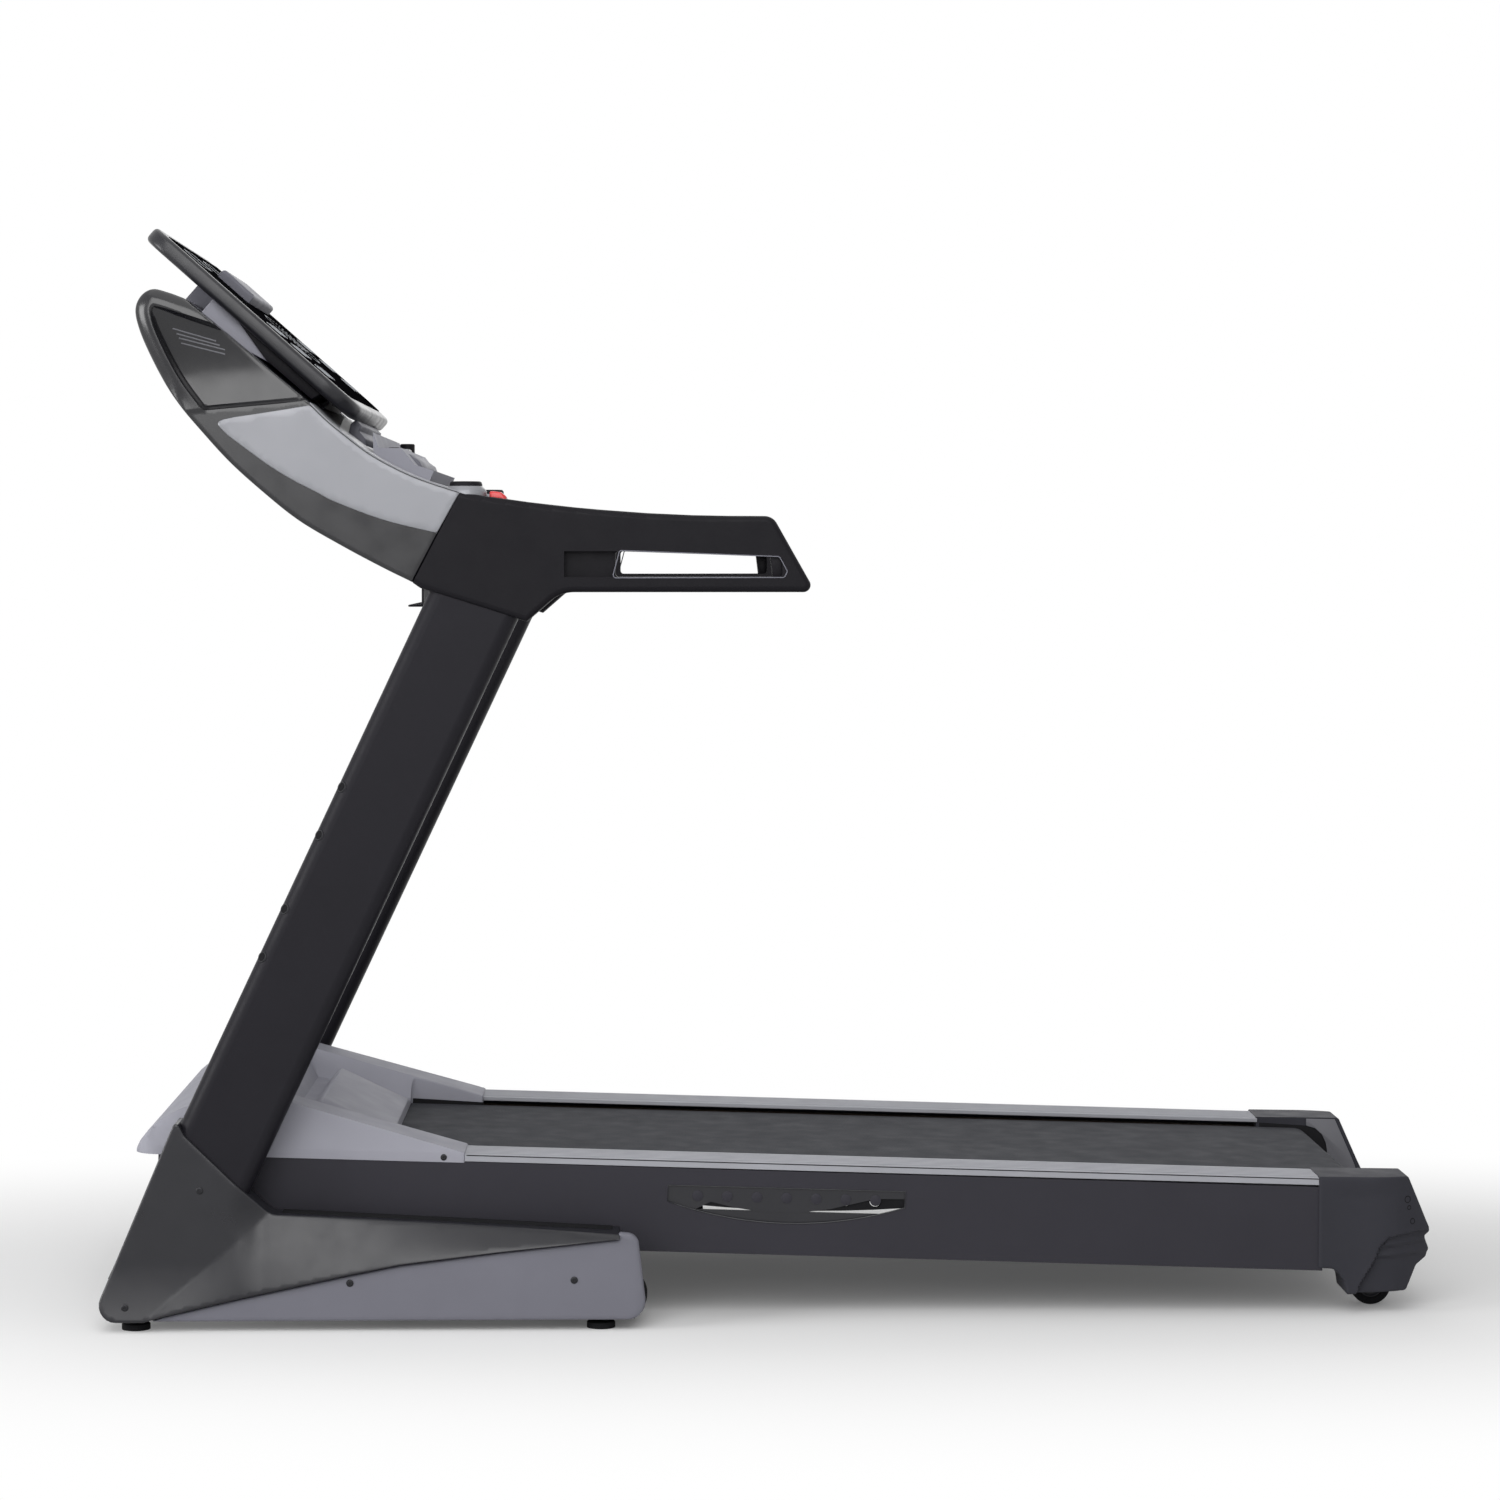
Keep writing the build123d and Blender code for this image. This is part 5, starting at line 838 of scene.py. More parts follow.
@dataclass
class Relief:
    """A moulded plate drawn in one view, with an outer face of varying depth, in millimetres.

    Attributes:
        outline: Closed line in the view.
        back: Depth of the flat back.
        depth: Rule for the depth of the outer face.
        edge: Radius of the rounded outer edge.
        pitch: Spacing of the points of the face.
        creases: Lines that the face folds along.
        rings: Distances inside the outline that carry rows of points.
        closed: Whether the back is closed.
    """

    outline: list[Flat]
    back: float
    depth: DepthRule
    edge: float = 3.0
    pitch: float = 6.0
    creases: tuple[list[Flat], ...] = ()
    rings: tuple[float, ...] = ()
    closed: bool = True

    # Least thickness, the step that tells inside from outside, the rows of points on the rounded edge as
    # shares of its radius, and the shares of the pitch or of a row's distance that stay free of other points.
    LEAST_WALL = 0.5
    TRIAL_STEP = 0.2
    EDGE_ROWS = (0.12, 0.4, 1.0)
    GRID_ROOM = 0.45
    ROW_ROOM = 0.95
    CREASE_ROOM = 0.4

    def face(self, x: Array, z: Array) -> Array:
        """Outer face with its rounded edge.

        Args:
            x: Places along.
            z: Places up.

        Returns:
            Depths.
        """
        away = np.minimum(line_distance(x, z, self.outline, True), self.edge)
        drop = self.edge - np.sqrt(np.maximum(self.edge ** 2 - (self.edge - away) ** 2, 0.0))
        return np.maximum(self.depth(x, z) - drop, self.back + self.LEAST_WALL)

    def _points(self) -> Array:
        """Points of the face inside its outline."""
        loop = np.array(self.outline)
        (left, low), (right, high) = loop.min(0), loop.max(0)
        grid = np.meshgrid(np.arange(left, right, self.pitch), np.arange(low, high, self.pitch))
        points = np.stack(grid, -1).reshape(-1, 2)
        tangent = np.roll(loop, -1, 0) - np.roll(loop, 1, 0)
        normal = np.stack([-tangent[:, 1], tangent[:, 0]], 1) / np.linalg.norm(tangent, axis=1)[:, None]
        if not is_inside(*(loop[:1] + self.TRIAL_STEP * normal[:1]).T, self.outline)[0]:
            normal = -normal
        insets = [self.edge * share for share in self.EDGE_ROWS] + list(self.rings)
        room = np.full(len(points), max(insets) + self.GRID_ROOM * self.pitch)
        for inset in insets:
            points = np.concatenate([points, loop + normal * inset])
            room = np.concatenate([room, np.full(len(loop), inset * self.ROW_ROOM)])
        keep = is_inside(points[:, 0], points[:, 1], self.outline)
        keep &= line_distance(points[:, 0], points[:, 1], self.outline, True) >= room
        for crease in self.creases:
            keep &= line_distance(points[:, 0], points[:, 1], crease) >= self.CREASE_ROOM * self.pitch
        return points[keep]

    def add_to(self, shape: BMesh, place: PlaceRule) -> None:
        """Add the plate to a mesh.

        Args:
            shape: The mesh.
            place: Rule that places a point of the view with its depth.
        """
        flat = [Vector(point) for point in self.outline]
        edges = [(index, (index + 1) % len(flat)) for index in range(len(flat))]
        for crease in self.creases:
            edges += [(len(flat) + index, len(flat) + index + 1) for index in range(len(crease) - 1)]
            flat += [Vector(point) for point in crease]
        flat += [Vector(point) for point in self._points()]
        places, _, faces, *_ = delaunay_2d_cdt(flat, edges, [list(range(len(self.outline)))], 1, 1e-4)
        x = np.array([spot[0] for spot in places])
        z = np.array([spot[1] for spot in places])
        made = [shape.verts.new(place(a, b, c)) for a, b, c in zip(x, z, self.face(x, z))]
        index_of = {vert: index for index, vert in enumerate(made)}
        new_faces = [shape.faces.new([made[index] for index in face]) for face in faces]
        rim = [edge for face in new_faces for edge in face.edges if edge.is_boundary]
        low = {}
        for vert in {vert for edge in rim for vert in edge.verts}:
            index = index_of[vert]
            low[vert] = shape.verts.new(place(x[index], z[index], self.back))
        foot = []
        for one, two in [tuple(edge.verts) for edge in rim]:
            shape.faces.new((one, two, low[two], low[one]))
            foot.append(shape.edges.get((low[one], low[two])))
        if self.closed:
            bmesh.ops.holes_fill(shape, edges=foot)


def finished(name: str, shape: BMesh) -> bpy.types.Object:
    """A piece from a mesh under construction.

    Args:
        name: Name of the piece.
        shape: The mesh, freed here.

    Returns:
        The piece, with its faces pointing outwards and its gentle folds shaded smooth.
    """
    bmesh.ops.recalc_face_normals(shape, faces=shape.faces)
    mesh = bpy.data.meshes.new(name)
    shape.to_mesh(mesh)
    shape.free()
    mesh.shade_smooth()
    mesh.set_sharp_from_angle(angle=SMOOTH_ANGLE)
    return link(name, mesh)


def stand_in(node: str, shape: BMesh, finish: Finish) -> bpy.types.Object:
    """Piece that stands for a frame node and rides on the node's body.

    Args:
        node: Name of the node.
        shape: The mesh, freed here.
        finish: Its finish.

    Returns:
        The piece.
    """
    return settle(finished(node + "_skin", shape), node_body(node), finish, node)


def relief_mesh(plate: Relief, places: Iterable[PlaceRule]) -> BMesh:
    """A mesh with a relief plate at each of some places."""
    shape = bmesh.new()
    for place in places:
        plate.add_to(shape, place)
    return shape


def add_prism(shape: BMesh, profile: Sequence[Flat], low: float, high: float, edge: float,
              place: Matrix = Matrix(), segments: int = 2) -> None:
    """Add a prism with rounded edges, drawn in x and z and drawn out along y, in millimetres.

    Args:
        shape: The mesh.
        profile: Closed line in x and z.
        low: Start along y.
        high: End along y.
        edge: Width of its rounded edges.
        place: Where it goes.
        segments: Faces across a rounded edge.
    """
    part = bmesh.new()
    first = [part.verts.new((MM * x, MM * low, MM * z)) for x, z in profile]
    last = [part.verts.new((MM * x, MM * high, MM * z)) for x, z in profile]
    part.faces.new(first)
    part.faces.new(list(reversed(last)))
    for index in range(len(profile)):
        after = (index + 1) % len(profile)
        part.faces.new((first[after], first[index], last[index], last[after]))
    bmesh.ops.recalc_face_normals(part, faces=part.faces)
    if edge > 0:
        sharp = [line for line in part.edges if line.calc_face_angle(0.0) > EDGE_ANGLE]
        bmesh.ops.bevel(part, geom=sharp, offset=MM * edge, segments=segments, profile=0.5, affect="EDGES",
                        clamp_overlap=True)
    part.transform(place)
    carry = bpy.data.meshes.new("carry")
    part.to_mesh(carry)
    part.free()
    shape.from_mesh(carry)
    bpy.data.meshes.remove(carry)


def add_pair(shape: BMesh, profile: Sequence[Flat], near: float, far: float, edge: float,
             place: Matrix = Matrix()) -> None:
    """Add a prism with rounded edges on both sides of the middle plane, in millimetres.

    Args:
        shape: The mesh.
        profile: Closed line in x and z.
        near: Start away from the middle plane.
        far: End away from it.
        edge: Width of its rounded edges.
        place: Where it goes.
    """
    for side in BOTH:
        low, high = sorted((side.value * near, side.value * far))
        add_prism(shape, profile, low, high, edge, place)


def add_lathe(shape: BMesh, profile: Sequence[Flat], place: Matrix, count: int = ROUND,
              hex_below: float = 0.0) -> None:
    """Add a turned shape about z, in millimetres, from its axis round to its axis.

    Args:
        shape: The mesh.
        profile: Radius and height of each ring; a radius of 0 closes the shape.
        place: Where it goes.
        count: Faces around.
        hex_below: Rings with a smaller radius than this, after the widest, are drawn as a hexagon.
    """
    rings: list[list[bmesh.types.BMVert]] = []
    widest = max(range(len(profile)), key=lambda index: profile[index][0])
    for index, (radius, height) in enumerate(profile):
        if radius == 0:
            rings.append([shape.verts.new(place @ Vector((0, 0, MM * height)))])
            continue
        ring = []
        for turn in range(count):
            angle = math.tau * turn / count
            reach = radius
            if index > widest and radius < hex_below:
                reach /= math.cos((angle % (math.tau / 6)) - math.tau / 12)
            spot = Vector((reach * math.cos(angle), reach * math.sin(angle), height))
            ring.append(shape.verts.new(place @ (MM * spot)))
        rings.append(ring)
    for lower, upper in zip(rings, rings[1:]):
        for turn in range(count):
            after = (turn + 1) % count
            corners = [lower[turn % len(lower)], lower[after % len(lower)], upper[after % len(upper)],
                       upper[turn % len(upper)]]
            shape.faces.new(list(dict.fromkeys(corners)))


class NodeGroup:
    """A Geometry Nodes tree with named inputs."""

    def __init__(self, name: str, **inputs: str) -> None:
        """Start the tree.

        Args:
            name: Name of the tree.
            **inputs: Socket type of each input, by its name with underscores for spaces.
        """
        self.tree = bpy.data.node_groups.new(name, "GeometryNodeTree")
        self.tree.is_modifier = True
        kinds = {"Geometry": "NodeSocketGeometry", **inputs, "Material": "NodeSocketMaterial"}
        self.keys = {}
        for key, kind in kinds.items():
            name = key.replace("_", " ")
            self.keys[key] = self.tree.interface.new_socket(name, in_out="INPUT", socket_type=kind).identifier
        self.tree.interface.new_socket("Geometry", in_out="OUTPUT", socket_type="NodeSocketGeometry")
        self.source = self.tree.nodes.new("NodeGroupInput")

    def node(self, kind: str, **settings: object) -> bpy.types.Node:
        """A new node of the tree, with settings as for feed."""
        return wire(self.tree, kind, **settings)

    def end(self, geometry: Socket) -> None:
        """Realize, dress and put out the geometry."""
        real = self.node("GeometryNodeRealizeInstances", Geometry=geometry)
        dressed = self.node("GeometryNodeSetMaterial", Geometry=real.outputs["Geometry"],
                            Material=self.source.outputs["Material"])
        self.node("NodeGroupOutput", Geometry=dressed.outputs["Geometry"])

    def run(self, piece: bpy.types.Object, finish: Finish, **values: object) -> bpy.types.Object:
        """Run the tree on a piece and keep the plain mesh.

        Args:
            piece: Object that carries the points or lines.
            finish: Finish of the result.
            **values: Inputs by name with underscores for spaces.

        Returns:
            The piece with its final mesh.
        """
        modifier = piece.modifiers.new(self.tree.name, "NODES")
        modifier.node_group = self.tree
        modifier[self.keys["Material"]] = finish.material()
        for key, value in values.items():
            modifier[self.keys[key]] = value
        baked(piece)
        piece.data.shade_smooth()
        piece.data.set_sharp_from_angle(angle=SMOOTH_ANGLE)
        return piece


class CopyTree(NodeGroup):
    """Copies of one shape on points, each turned to its point's facing."""

    def __init__(self) -> None:
        """Build the tree."""
        super().__init__("copies_on_points", Shape="NodeSocketObject", Size="NodeSocketFloat")
        shape = self.node("GeometryNodeObjectInfo", Object=self.source.outputs["Shape"])
        facing = self.node("GeometryNodeInputNamedAttribute", data_type="FLOAT_VECTOR", Name="facing")
        turn = self.node("FunctionNodeAlignRotationToVector", axis="Z", Vector=facing.outputs["Attribute"])
        copies = self.node("GeometryNodeInstanceOnPoints", Points=self.source.outputs["Geometry"],
                           Instance=shape.outputs["Geometry"], Rotation=turn.outputs["Rotation"],
                           Scale=self.source.outputs["Size"])
        self.end(copies.outputs["Instances"])

    def place(self, name: str, body: str, shape: BMesh, points: Sequence[tuple[Point, Point]], finish: Finish,
              *nodes: str) -> bpy.types.Object:
        """Copies of a shape at points.

        Args:
            name: Name of the piece.
            body: Body that it moves with.
            shape: The shape, facing +Z at the origin; freed here.
            points: Place in millimetres and facing of each copy.
            finish: Finish of the copies.
            *nodes: Frame nodes that the copies stand for.

        Returns:
            The piece.
        """
        bmesh.ops.recalc_face_normals(shape, faces=shape.faces)
        pattern_mesh = bpy.data.meshes.new(name + "_pattern")
        shape.to_mesh(pattern_mesh)
        shape.free()
        pattern = bpy.data.objects.new(name + "_pattern", pattern_mesh)
        mesh = bpy.data.meshes.new(name)
        mesh.from_pydata([[MM * value for value in place] for place, _ in points], [], [])
        facing = mesh.attributes.new("facing", "FLOAT_VECTOR", "POINT")
        facing.data.foreach_set("vector", [float(value) for _, face in points for value in face])
        piece = self.run(link(name, mesh), finish, Shape=pattern, Size=1.0)
        bpy.data.objects.remove(pattern)
        bpy.data.meshes.remove(pattern_mesh)
        return settle(piece, body, finish, *nodes)


class BeadTree(NodeGroup):
    """A round bead along a line."""

    FACES_AROUND = 8

    def __init__(self) -> None:
        """Build the tree."""
        super().__init__("bead_along_line", Bead_Radius="NodeSocketFloat")
        line = self.node("GeometryNodeMeshToCurve", Mesh=self.source.outputs["Geometry"])
        ring = self.node("GeometryNodeCurvePrimitiveCircle", Resolution=self.FACES_AROUND,
                         Radius=self.source.outputs["Bead Radius"])
        bead = self.node("GeometryNodeCurveToMesh", Curve=line.outputs["Curve"],
                         Profile_Curve=ring.outputs["Curve"], Fill_Caps=True)
        self.end(bead.outputs["Mesh"])

    def draw(self, name: str, body: str, lines: Sequence[tuple[Sequence[Point], bool]], radius: float,
             finish: Finish) -> bpy.types.Object:
        """Beads along lines.

        Args:
            name: Name of the piece.
            body: Body that it moves with.
            lines: Points in millimetres of each line, and whether it is closed.
            radius: Radius of the bead in millimetres.
            finish: Its finish.

        Returns:
            The piece.
        """
        places: list[list[float]] = []
        edges: list[tuple[int, int]] = []
        for line, closed in lines:
            first = len(places)
            places += [[MM * value for value in point] for point in line]
            edges += [(index, index + 1) for index in range(first, len(places) - 1)]
            if closed:
                edges.append((len(places) - 1, first))
        mesh = bpy.data.meshes.new(name)
        mesh.from_pydata(places, edges, [])
        return settle(self.run(link(name, mesh), finish, Bead_Radius=MM * radius), body, finish)


def screw_head(radius: float, height: float) -> BMesh:
    """A button head screw with a hexagon socket, in millimetres.

    Args:
        radius: Radius of the head.
        height: Height of the head.

    Returns:
        The head, standing on z = 0.
    """
    shape = bmesh.new()
    rings = [(0, -1), (radius, -1), (radius, 0.3 * height), (0.86 * radius, 0.75 * height),
             (0.6 * radius, height), (0.46 * radius, height), (0.44 * radius, 0.3 * height),
             (0, 0.25 * height)]
    add_lathe(shape, rings, Matrix(), SMALL_ROUND, 0.5 * radius)
    return shape


def hole_ring(radius: float, wall: float, proud: float) -> BMesh:
    """A pressed eyelet round a hole, in millimetres.

    Args:
        radius: Radius of the hole.
        wall: Width of the eyelet.
        proud: How far the eyelet stands up.

    Returns:
        The eyelet about z = 0.
    """
    shape = bmesh.new()
    rings = [(0, -2.4), (radius + wall, -2.4), (radius + wall, 0), (radius + 0.6 * wall, proud),
             (radius, 0.5 * proud), (radius - 0.3, -1.8), (0, -1.8)]
    add_lathe(shape, rings, Matrix(), SMALL_ROUND)
    return shape


def pad(radius: float, height: float, edge: float) -> BMesh:
    """A round pad with a soft edge, in millimetres."""
    shape = bmesh.new()
    rings = [(0, -1), (radius, -1), (radius, height - edge), (radius - 0.3 * edge, height - 0.3 * edge),
             (radius - edge, height), (0, height)]
    add_lathe(shape, rings, Matrix(), SMALL_ROUND)
    return shape


def outward(side: Side) -> Point:
    """Direction away from the middle plane on a side."""
    return (0.0, float(side.value), 0.0)


@dataclass
class BootCovers:
    """Moulded covers at the feet of the uprights, with their light side panels, in millimetres.

    The front face of a cover flares out towards the floor. Behind a crease a facet runs from lip to top.
    """

    outline: Outline = (
        (-954, 15.5, 40), (-834, 299, 5), (-822, 276, 8), (-706, 163, 26), (-216, 136, 3), (-214, 130, 2),
        (-387, 112, 90), (-522, 95, 90), (-593, 81, 90), (-748, 48, 60), (-851, 24, 40), (-880, 15.5, 10))
    lip: Line = (
        (-960, 15.5), (-880, 16), (-851, 24), (-748, 48), (-593, 81), (-522, 95), (-387, 112), (-214, 130))
    heel: Flat = (-706.0, 163.0)
    tail: Flat = (-216.0, 136.0)
    crease_foot: Flat = (-876.0, 19.0)
    crease_row: tuple[Flat, Flat] = ((-870.0, 24.0), (-706.8, 162.24))
    crease_parts: int = 30
    back: float = 366.0
    front_depth: float = 432.5
    lip_depth: float = 446.0
    flare_top: float = 95.0
    flare_height: float = 78.0
    flare_power: float = 1.5
    scoop: float = 9.0
    tail_rise: float = 20.0
    tail_power: float = 1.5
    facet_power: float = 1.15
    heel_dip: float = 17.0
    heel_reach: float = 62.0
    panel_outline: Outline = (
        (-872, 15.5, 1), (-851, 22.5, 20), (-748, 46.5, 60), (-593, 79.5, 90), (-522, 93.5, 90),
        (-387, 110.5, 90), (-217, 129, 3), (-217, 139, 4), (-190, 136, 22), (-176, 15.5, 26))
    panel_back: float = 428.0
    panel_depth: float = 437.0
    cover_screws: Line = ((-801, 199), (-905, 36))
    panel_screws: Line = ((-592, 69), (-279, 72))
    screw_size: Flat = (5.2, 1.6)
    # Dark rubber strip along each cover's top edge: painted shade for the dark band between cover and deck.
    seal: Line = ((-690, 158), (-226, 133), (-226, 138.2), (-690, 163.6))
    seal_sides: Flat = (370.0, 398.0)
    seal_edge: float = 1.2

    def _front(self, x: Array, z: Array) -> Array:
        """Front face of a cover, sunk round the heel.

        Args:
            x: Places along.
            z: Places up.

        Returns:
            Distances from the middle plane.
        """
        rise = self.lip_depth - self.front_depth
        flare = rise * np.clip((self.flare_top - z) / self.flare_height, 0, 1) ** self.flare_power
        dip = self.heel_dip * ease(1 - np.hypot(x - self.heel[0], z - self.heel[1]) / self.heel_reach)
        return self.front_depth + flare - dip

    def depth(self, x: Array, z: Array) -> Array:
        """Outer face of a cover.

        Args:
            x: Places along.
            z: Places up.

        Returns:
            Distances from the middle plane.
        """
        low = np.interp(x, *zip(*self.lip))
        crease = np.interp(x, *zip(self.crease_foot, self.heel))
        top = np.where(x < self.heel[0], crease, np.interp(x, *zip(self.heel, self.tail)))
        share = np.clip((x - self.heel[0]) / (self.tail[0] - self.heel[0]), 0, 1)
        sunk = self.front_depth - self.heel_dip - self.scoop * np.sin(np.pi * share)
        at_top = np.where(share > 0, sunk + self.tail_rise * share ** self.tail_power, self._front(x, crease))
        rising = np.clip((z - low) / np.maximum(top - low, 1), 0, 1)
        facet = self.lip_depth - (self.lip_depth - at_top) * rising ** self.facet_power
        on_front = (x < self.heel[0]) & (z > crease)
        return np.where(on_front, self._front(x, z), facet)

    def build(self, copies: CopyTree) -> None:
        """Make covers, panels, screws, and dark strips of painted shade along the covers' top edges.

        Args:
            copies: Tree that places the screws.
        """
        crease = straight(*self.crease_row, self.crease_parts)
        cover = Relief(rounded(self.outline), self.back, self.depth, edge=2.6, pitch=5.0, creases=(crease,))
        panel_face = level(self.panel_depth)
        panel = Relief(rounded(self.panel_outline), self.panel_back, panel_face, edge=4.0, pitch=8.0)
        for side in BOTH:
            stand_in(f"boot_cover_{side.word}", relief_mesh(cover, (beside(side),)), SHELL_DARK)
        stand_in("boot_panels", relief_mesh(panel, PAIR), SHELL_GREY)
        heads = []
        for side in BOTH:
            for plate, places in ((cover, self.cover_screws), (panel, self.panel_screws)):
                for x, z in places:
                    out = float(plate.face(np.array([x]), np.array([z]))[0])
                    heads.append(((x, side.value * out, z), outward(side)))
        copies.place("cover_screw_heads", node_body("cover_screws"), screw_head(*self.screw_size), heads,
                     DARK_STEEL, "cover_screws")
        # Dark rubber strips of painted shade along the covers' top edges.
        shade_strips = bmesh.new()
        add_pair(shade_strips, self.seal, *self.seal_sides, self.seal_edge)
        settle(finished("boot_seals", shade_strips), "base", RUBBER)


@dataclass
class ConsoleSides:
    """Cheeks of the console with their scooped sides, silver trims and vents, in millimetres."""

    back_edge: Line = (
        (-817, 1440), (-838, 1447.5), (-859, 1452), (-875, 1443), (-883, 1424), (-878, 1397), (-863, 1361),
        (-842, 1321), (-819, 1288), (-793, 1257))
    belly: Line = (
        (-754, 1214), (-710, 1174), (-659, 1133), (-600, 1098), (-544, 1068), (-501.5, 1047))
    top_edge: Line = (
        (-435.5, 1171.5), (-464, 1180.5), (-494, 1191), (-524, 1204.5), (-559, 1224), (-590, 1247),
        (-619, 1271), (-642, 1293.5))
    edge_step: float = 4.0
    back: float = 346.0
    face: float = 430.5
    fold: Line = ((-900, 1270), (-783, 1283), (-645, 1296))
    fold_soft: float = 5.0
    fold_ends: Flat = (-813.0, -645.0)
    fold_points: int = 50
    fold_rows: tuple[float, ...] = (0.0, 1.5, 3.0, 4.5, 6.0, 7.5, 9.2)
    step: float = 20.0
    step_run: float = 9.0
    slope: float = 0.22
    bend: float = -0.0022
    rim_end: Flat = (-760.0, 1421.0)
    rim_parts: int = 16
    rim_rows: tuple[float, ...] = (7.0, 12.0, 16.0, 19.0, 20.3, 21.5, 22.7, 23.9, 25.1, 26.5, 29.0)
    rim_width: float = 20.28
    rim_run: float = 6.24
    rim_proud: float = 1.5
    rim_fall: float = 11.0
    rim_start: float = 60.0
    trim_fold: Line = ((-643, 1291.5), (-676, 1286), (-714, 1280), (-745, 1275.5))
    trim_tip: Line = ((-761, 1272), (-767.5, 1269), (-769, 1265), (-765, 1260))
    trim_low: Line = (
        (-755, 1250), (-727, 1229), (-698, 1208), (-666, 1188.5), (-632, 1171), (-607, 1158), (-540, 1133),
        (-467, 1115))
    trim_inset: Flat = (0.4, 1.2)
    trim_step: float = 5.0
    trim_back: float = 427.5
    trim_depth: float = 433.4
    vents: tuple[tuple[Flat, Flat], ...] = (((-832, 1398), (-773, 1381)), ((-827, 1391), (-768, 1375)),
                                            ((-824, 1385), (-761, 1369)), ((-821, 1378), (-761, 1363)))
    vent_parts: int = 8
    vent_bead: float = 1.0
    strip_proud: float = 2.2
    strip_inset: Flat = (3.0, 9.0)
    strip_half: float = 427.0

    def depth(self, x: Array, z: Array) -> Array:
        """Outer face of a cheek: a flat band, and above the fold a rolled rim round a sunk field.

        Args:
            x: Places along.
            z: Places up.

        Returns:
            Distances from the middle plane.
        """
        away = line_distance(x, z, [self.rim_end] + flow(self.back_edge))
        rising = z - np.interp(x, *zip(*self.fold))
        sunk = np.maximum(self.step + self.slope * rising + self.bend * rising ** 2, 0)
        floor = self.face - sunk * ease(rising / self.step_run)
        outer = (1 - np.clip(away / self.rim_width, 0, 1)) ** 2
        crest = self.face + self.rim_proud - self.rim_fall * ease(rising / self.rim_start) * outer
        rolled = crest + (floor - crest) * ease((away - self.rim_width) / self.rim_run)
        above = ease(rising / self.fold_soft)
        return self.face * (1 - above) + rolled * above

    def build(self, beads: BeadTree) -> None:
        """Make cheeks, trims, vents and the strip across the front.

        Args:
            beads: Tree that draws the vents.
        """
        edge = spaced(flow(self.back_edge + self.belly) + flow(self.top_edge), self.edge_step)
        cheek = Relief(edge, self.back, self.depth, edge=2.5, pitch=5.0, creases=self._creases(),
                       rings=self.rim_rows)
        stand_in("console_cheeks", relief_mesh(cheek, PAIR), CHEEK_DARK)
        line = flow(self.top_edge)
        top = [(x - self.trim_inset[0], z - self.trim_inset[1]) for x, z in line]
        edge = top[:-1] + flow(self.trim_fold) + list(self.trim_tip) + flow(self.trim_low)
        edge = spaced(edge, self.trim_step)
        trim = Relief(edge, self.trim_back, level(self.trim_depth), edge=1.4, pitch=8.0)
        stand_in("console_trims", relief_mesh(trim, PAIR), SILVER)
        # Beads along the vents in a lighter copy of the dark moulding: painted highlights for the light lines
        # of the vent slits.
        vent_highlight_lines = []
        for side in BOTH:
            for ends in self.vents:
                points = straight(*ends, self.vent_parts)
                out = self.depth(*np.array(points, dtype=float).T)
                vent_highlight_lines.append(([(x, side.value * y, z) for (x, z), y in zip(points, out)], False))
        beads.draw("cheek_vent_fins", "base", vent_highlight_lines, self.vent_bead, SHELL_PAINTED_LIGHT)
        strip = bmesh.new()
        profile = [(x, z + self.strip_proud) for x, z in line]
        profile += [(x - self.strip_inset[0], z - self.strip_inset[1]) for x, z in reversed(line)]
        add_prism(strip, profile, -self.strip_half, self.strip_half, 0.0)
        settle(finished("console_front_strip", strip), "base", SILVER)

    def _creases(self) -> tuple[list[Flat], ...]:
        """Rows of points along the fold and along the straight end of the rim."""
        along = np.linspace(*self.fold_ends, self.fold_points)
        fold = list(zip(along, np.interp(along, *zip(*self.fold))))
        rows = [[(float(x), float(z) + up) for x, z in fold] for up in self.fold_rows]
        start, end = Vector(self.back_edge[0]), Vector(self.rim_end)
        inward = Vector((end.y - start.y, start.x - end.x)).normalized()
        places = [start.lerp(end, part / self.rim_parts) for part in range(self.rim_parts + 1)]
        rows += [[tuple(place + inward * row) for place in places] for row in self.rim_rows[3:]]
        return tuple(rows)


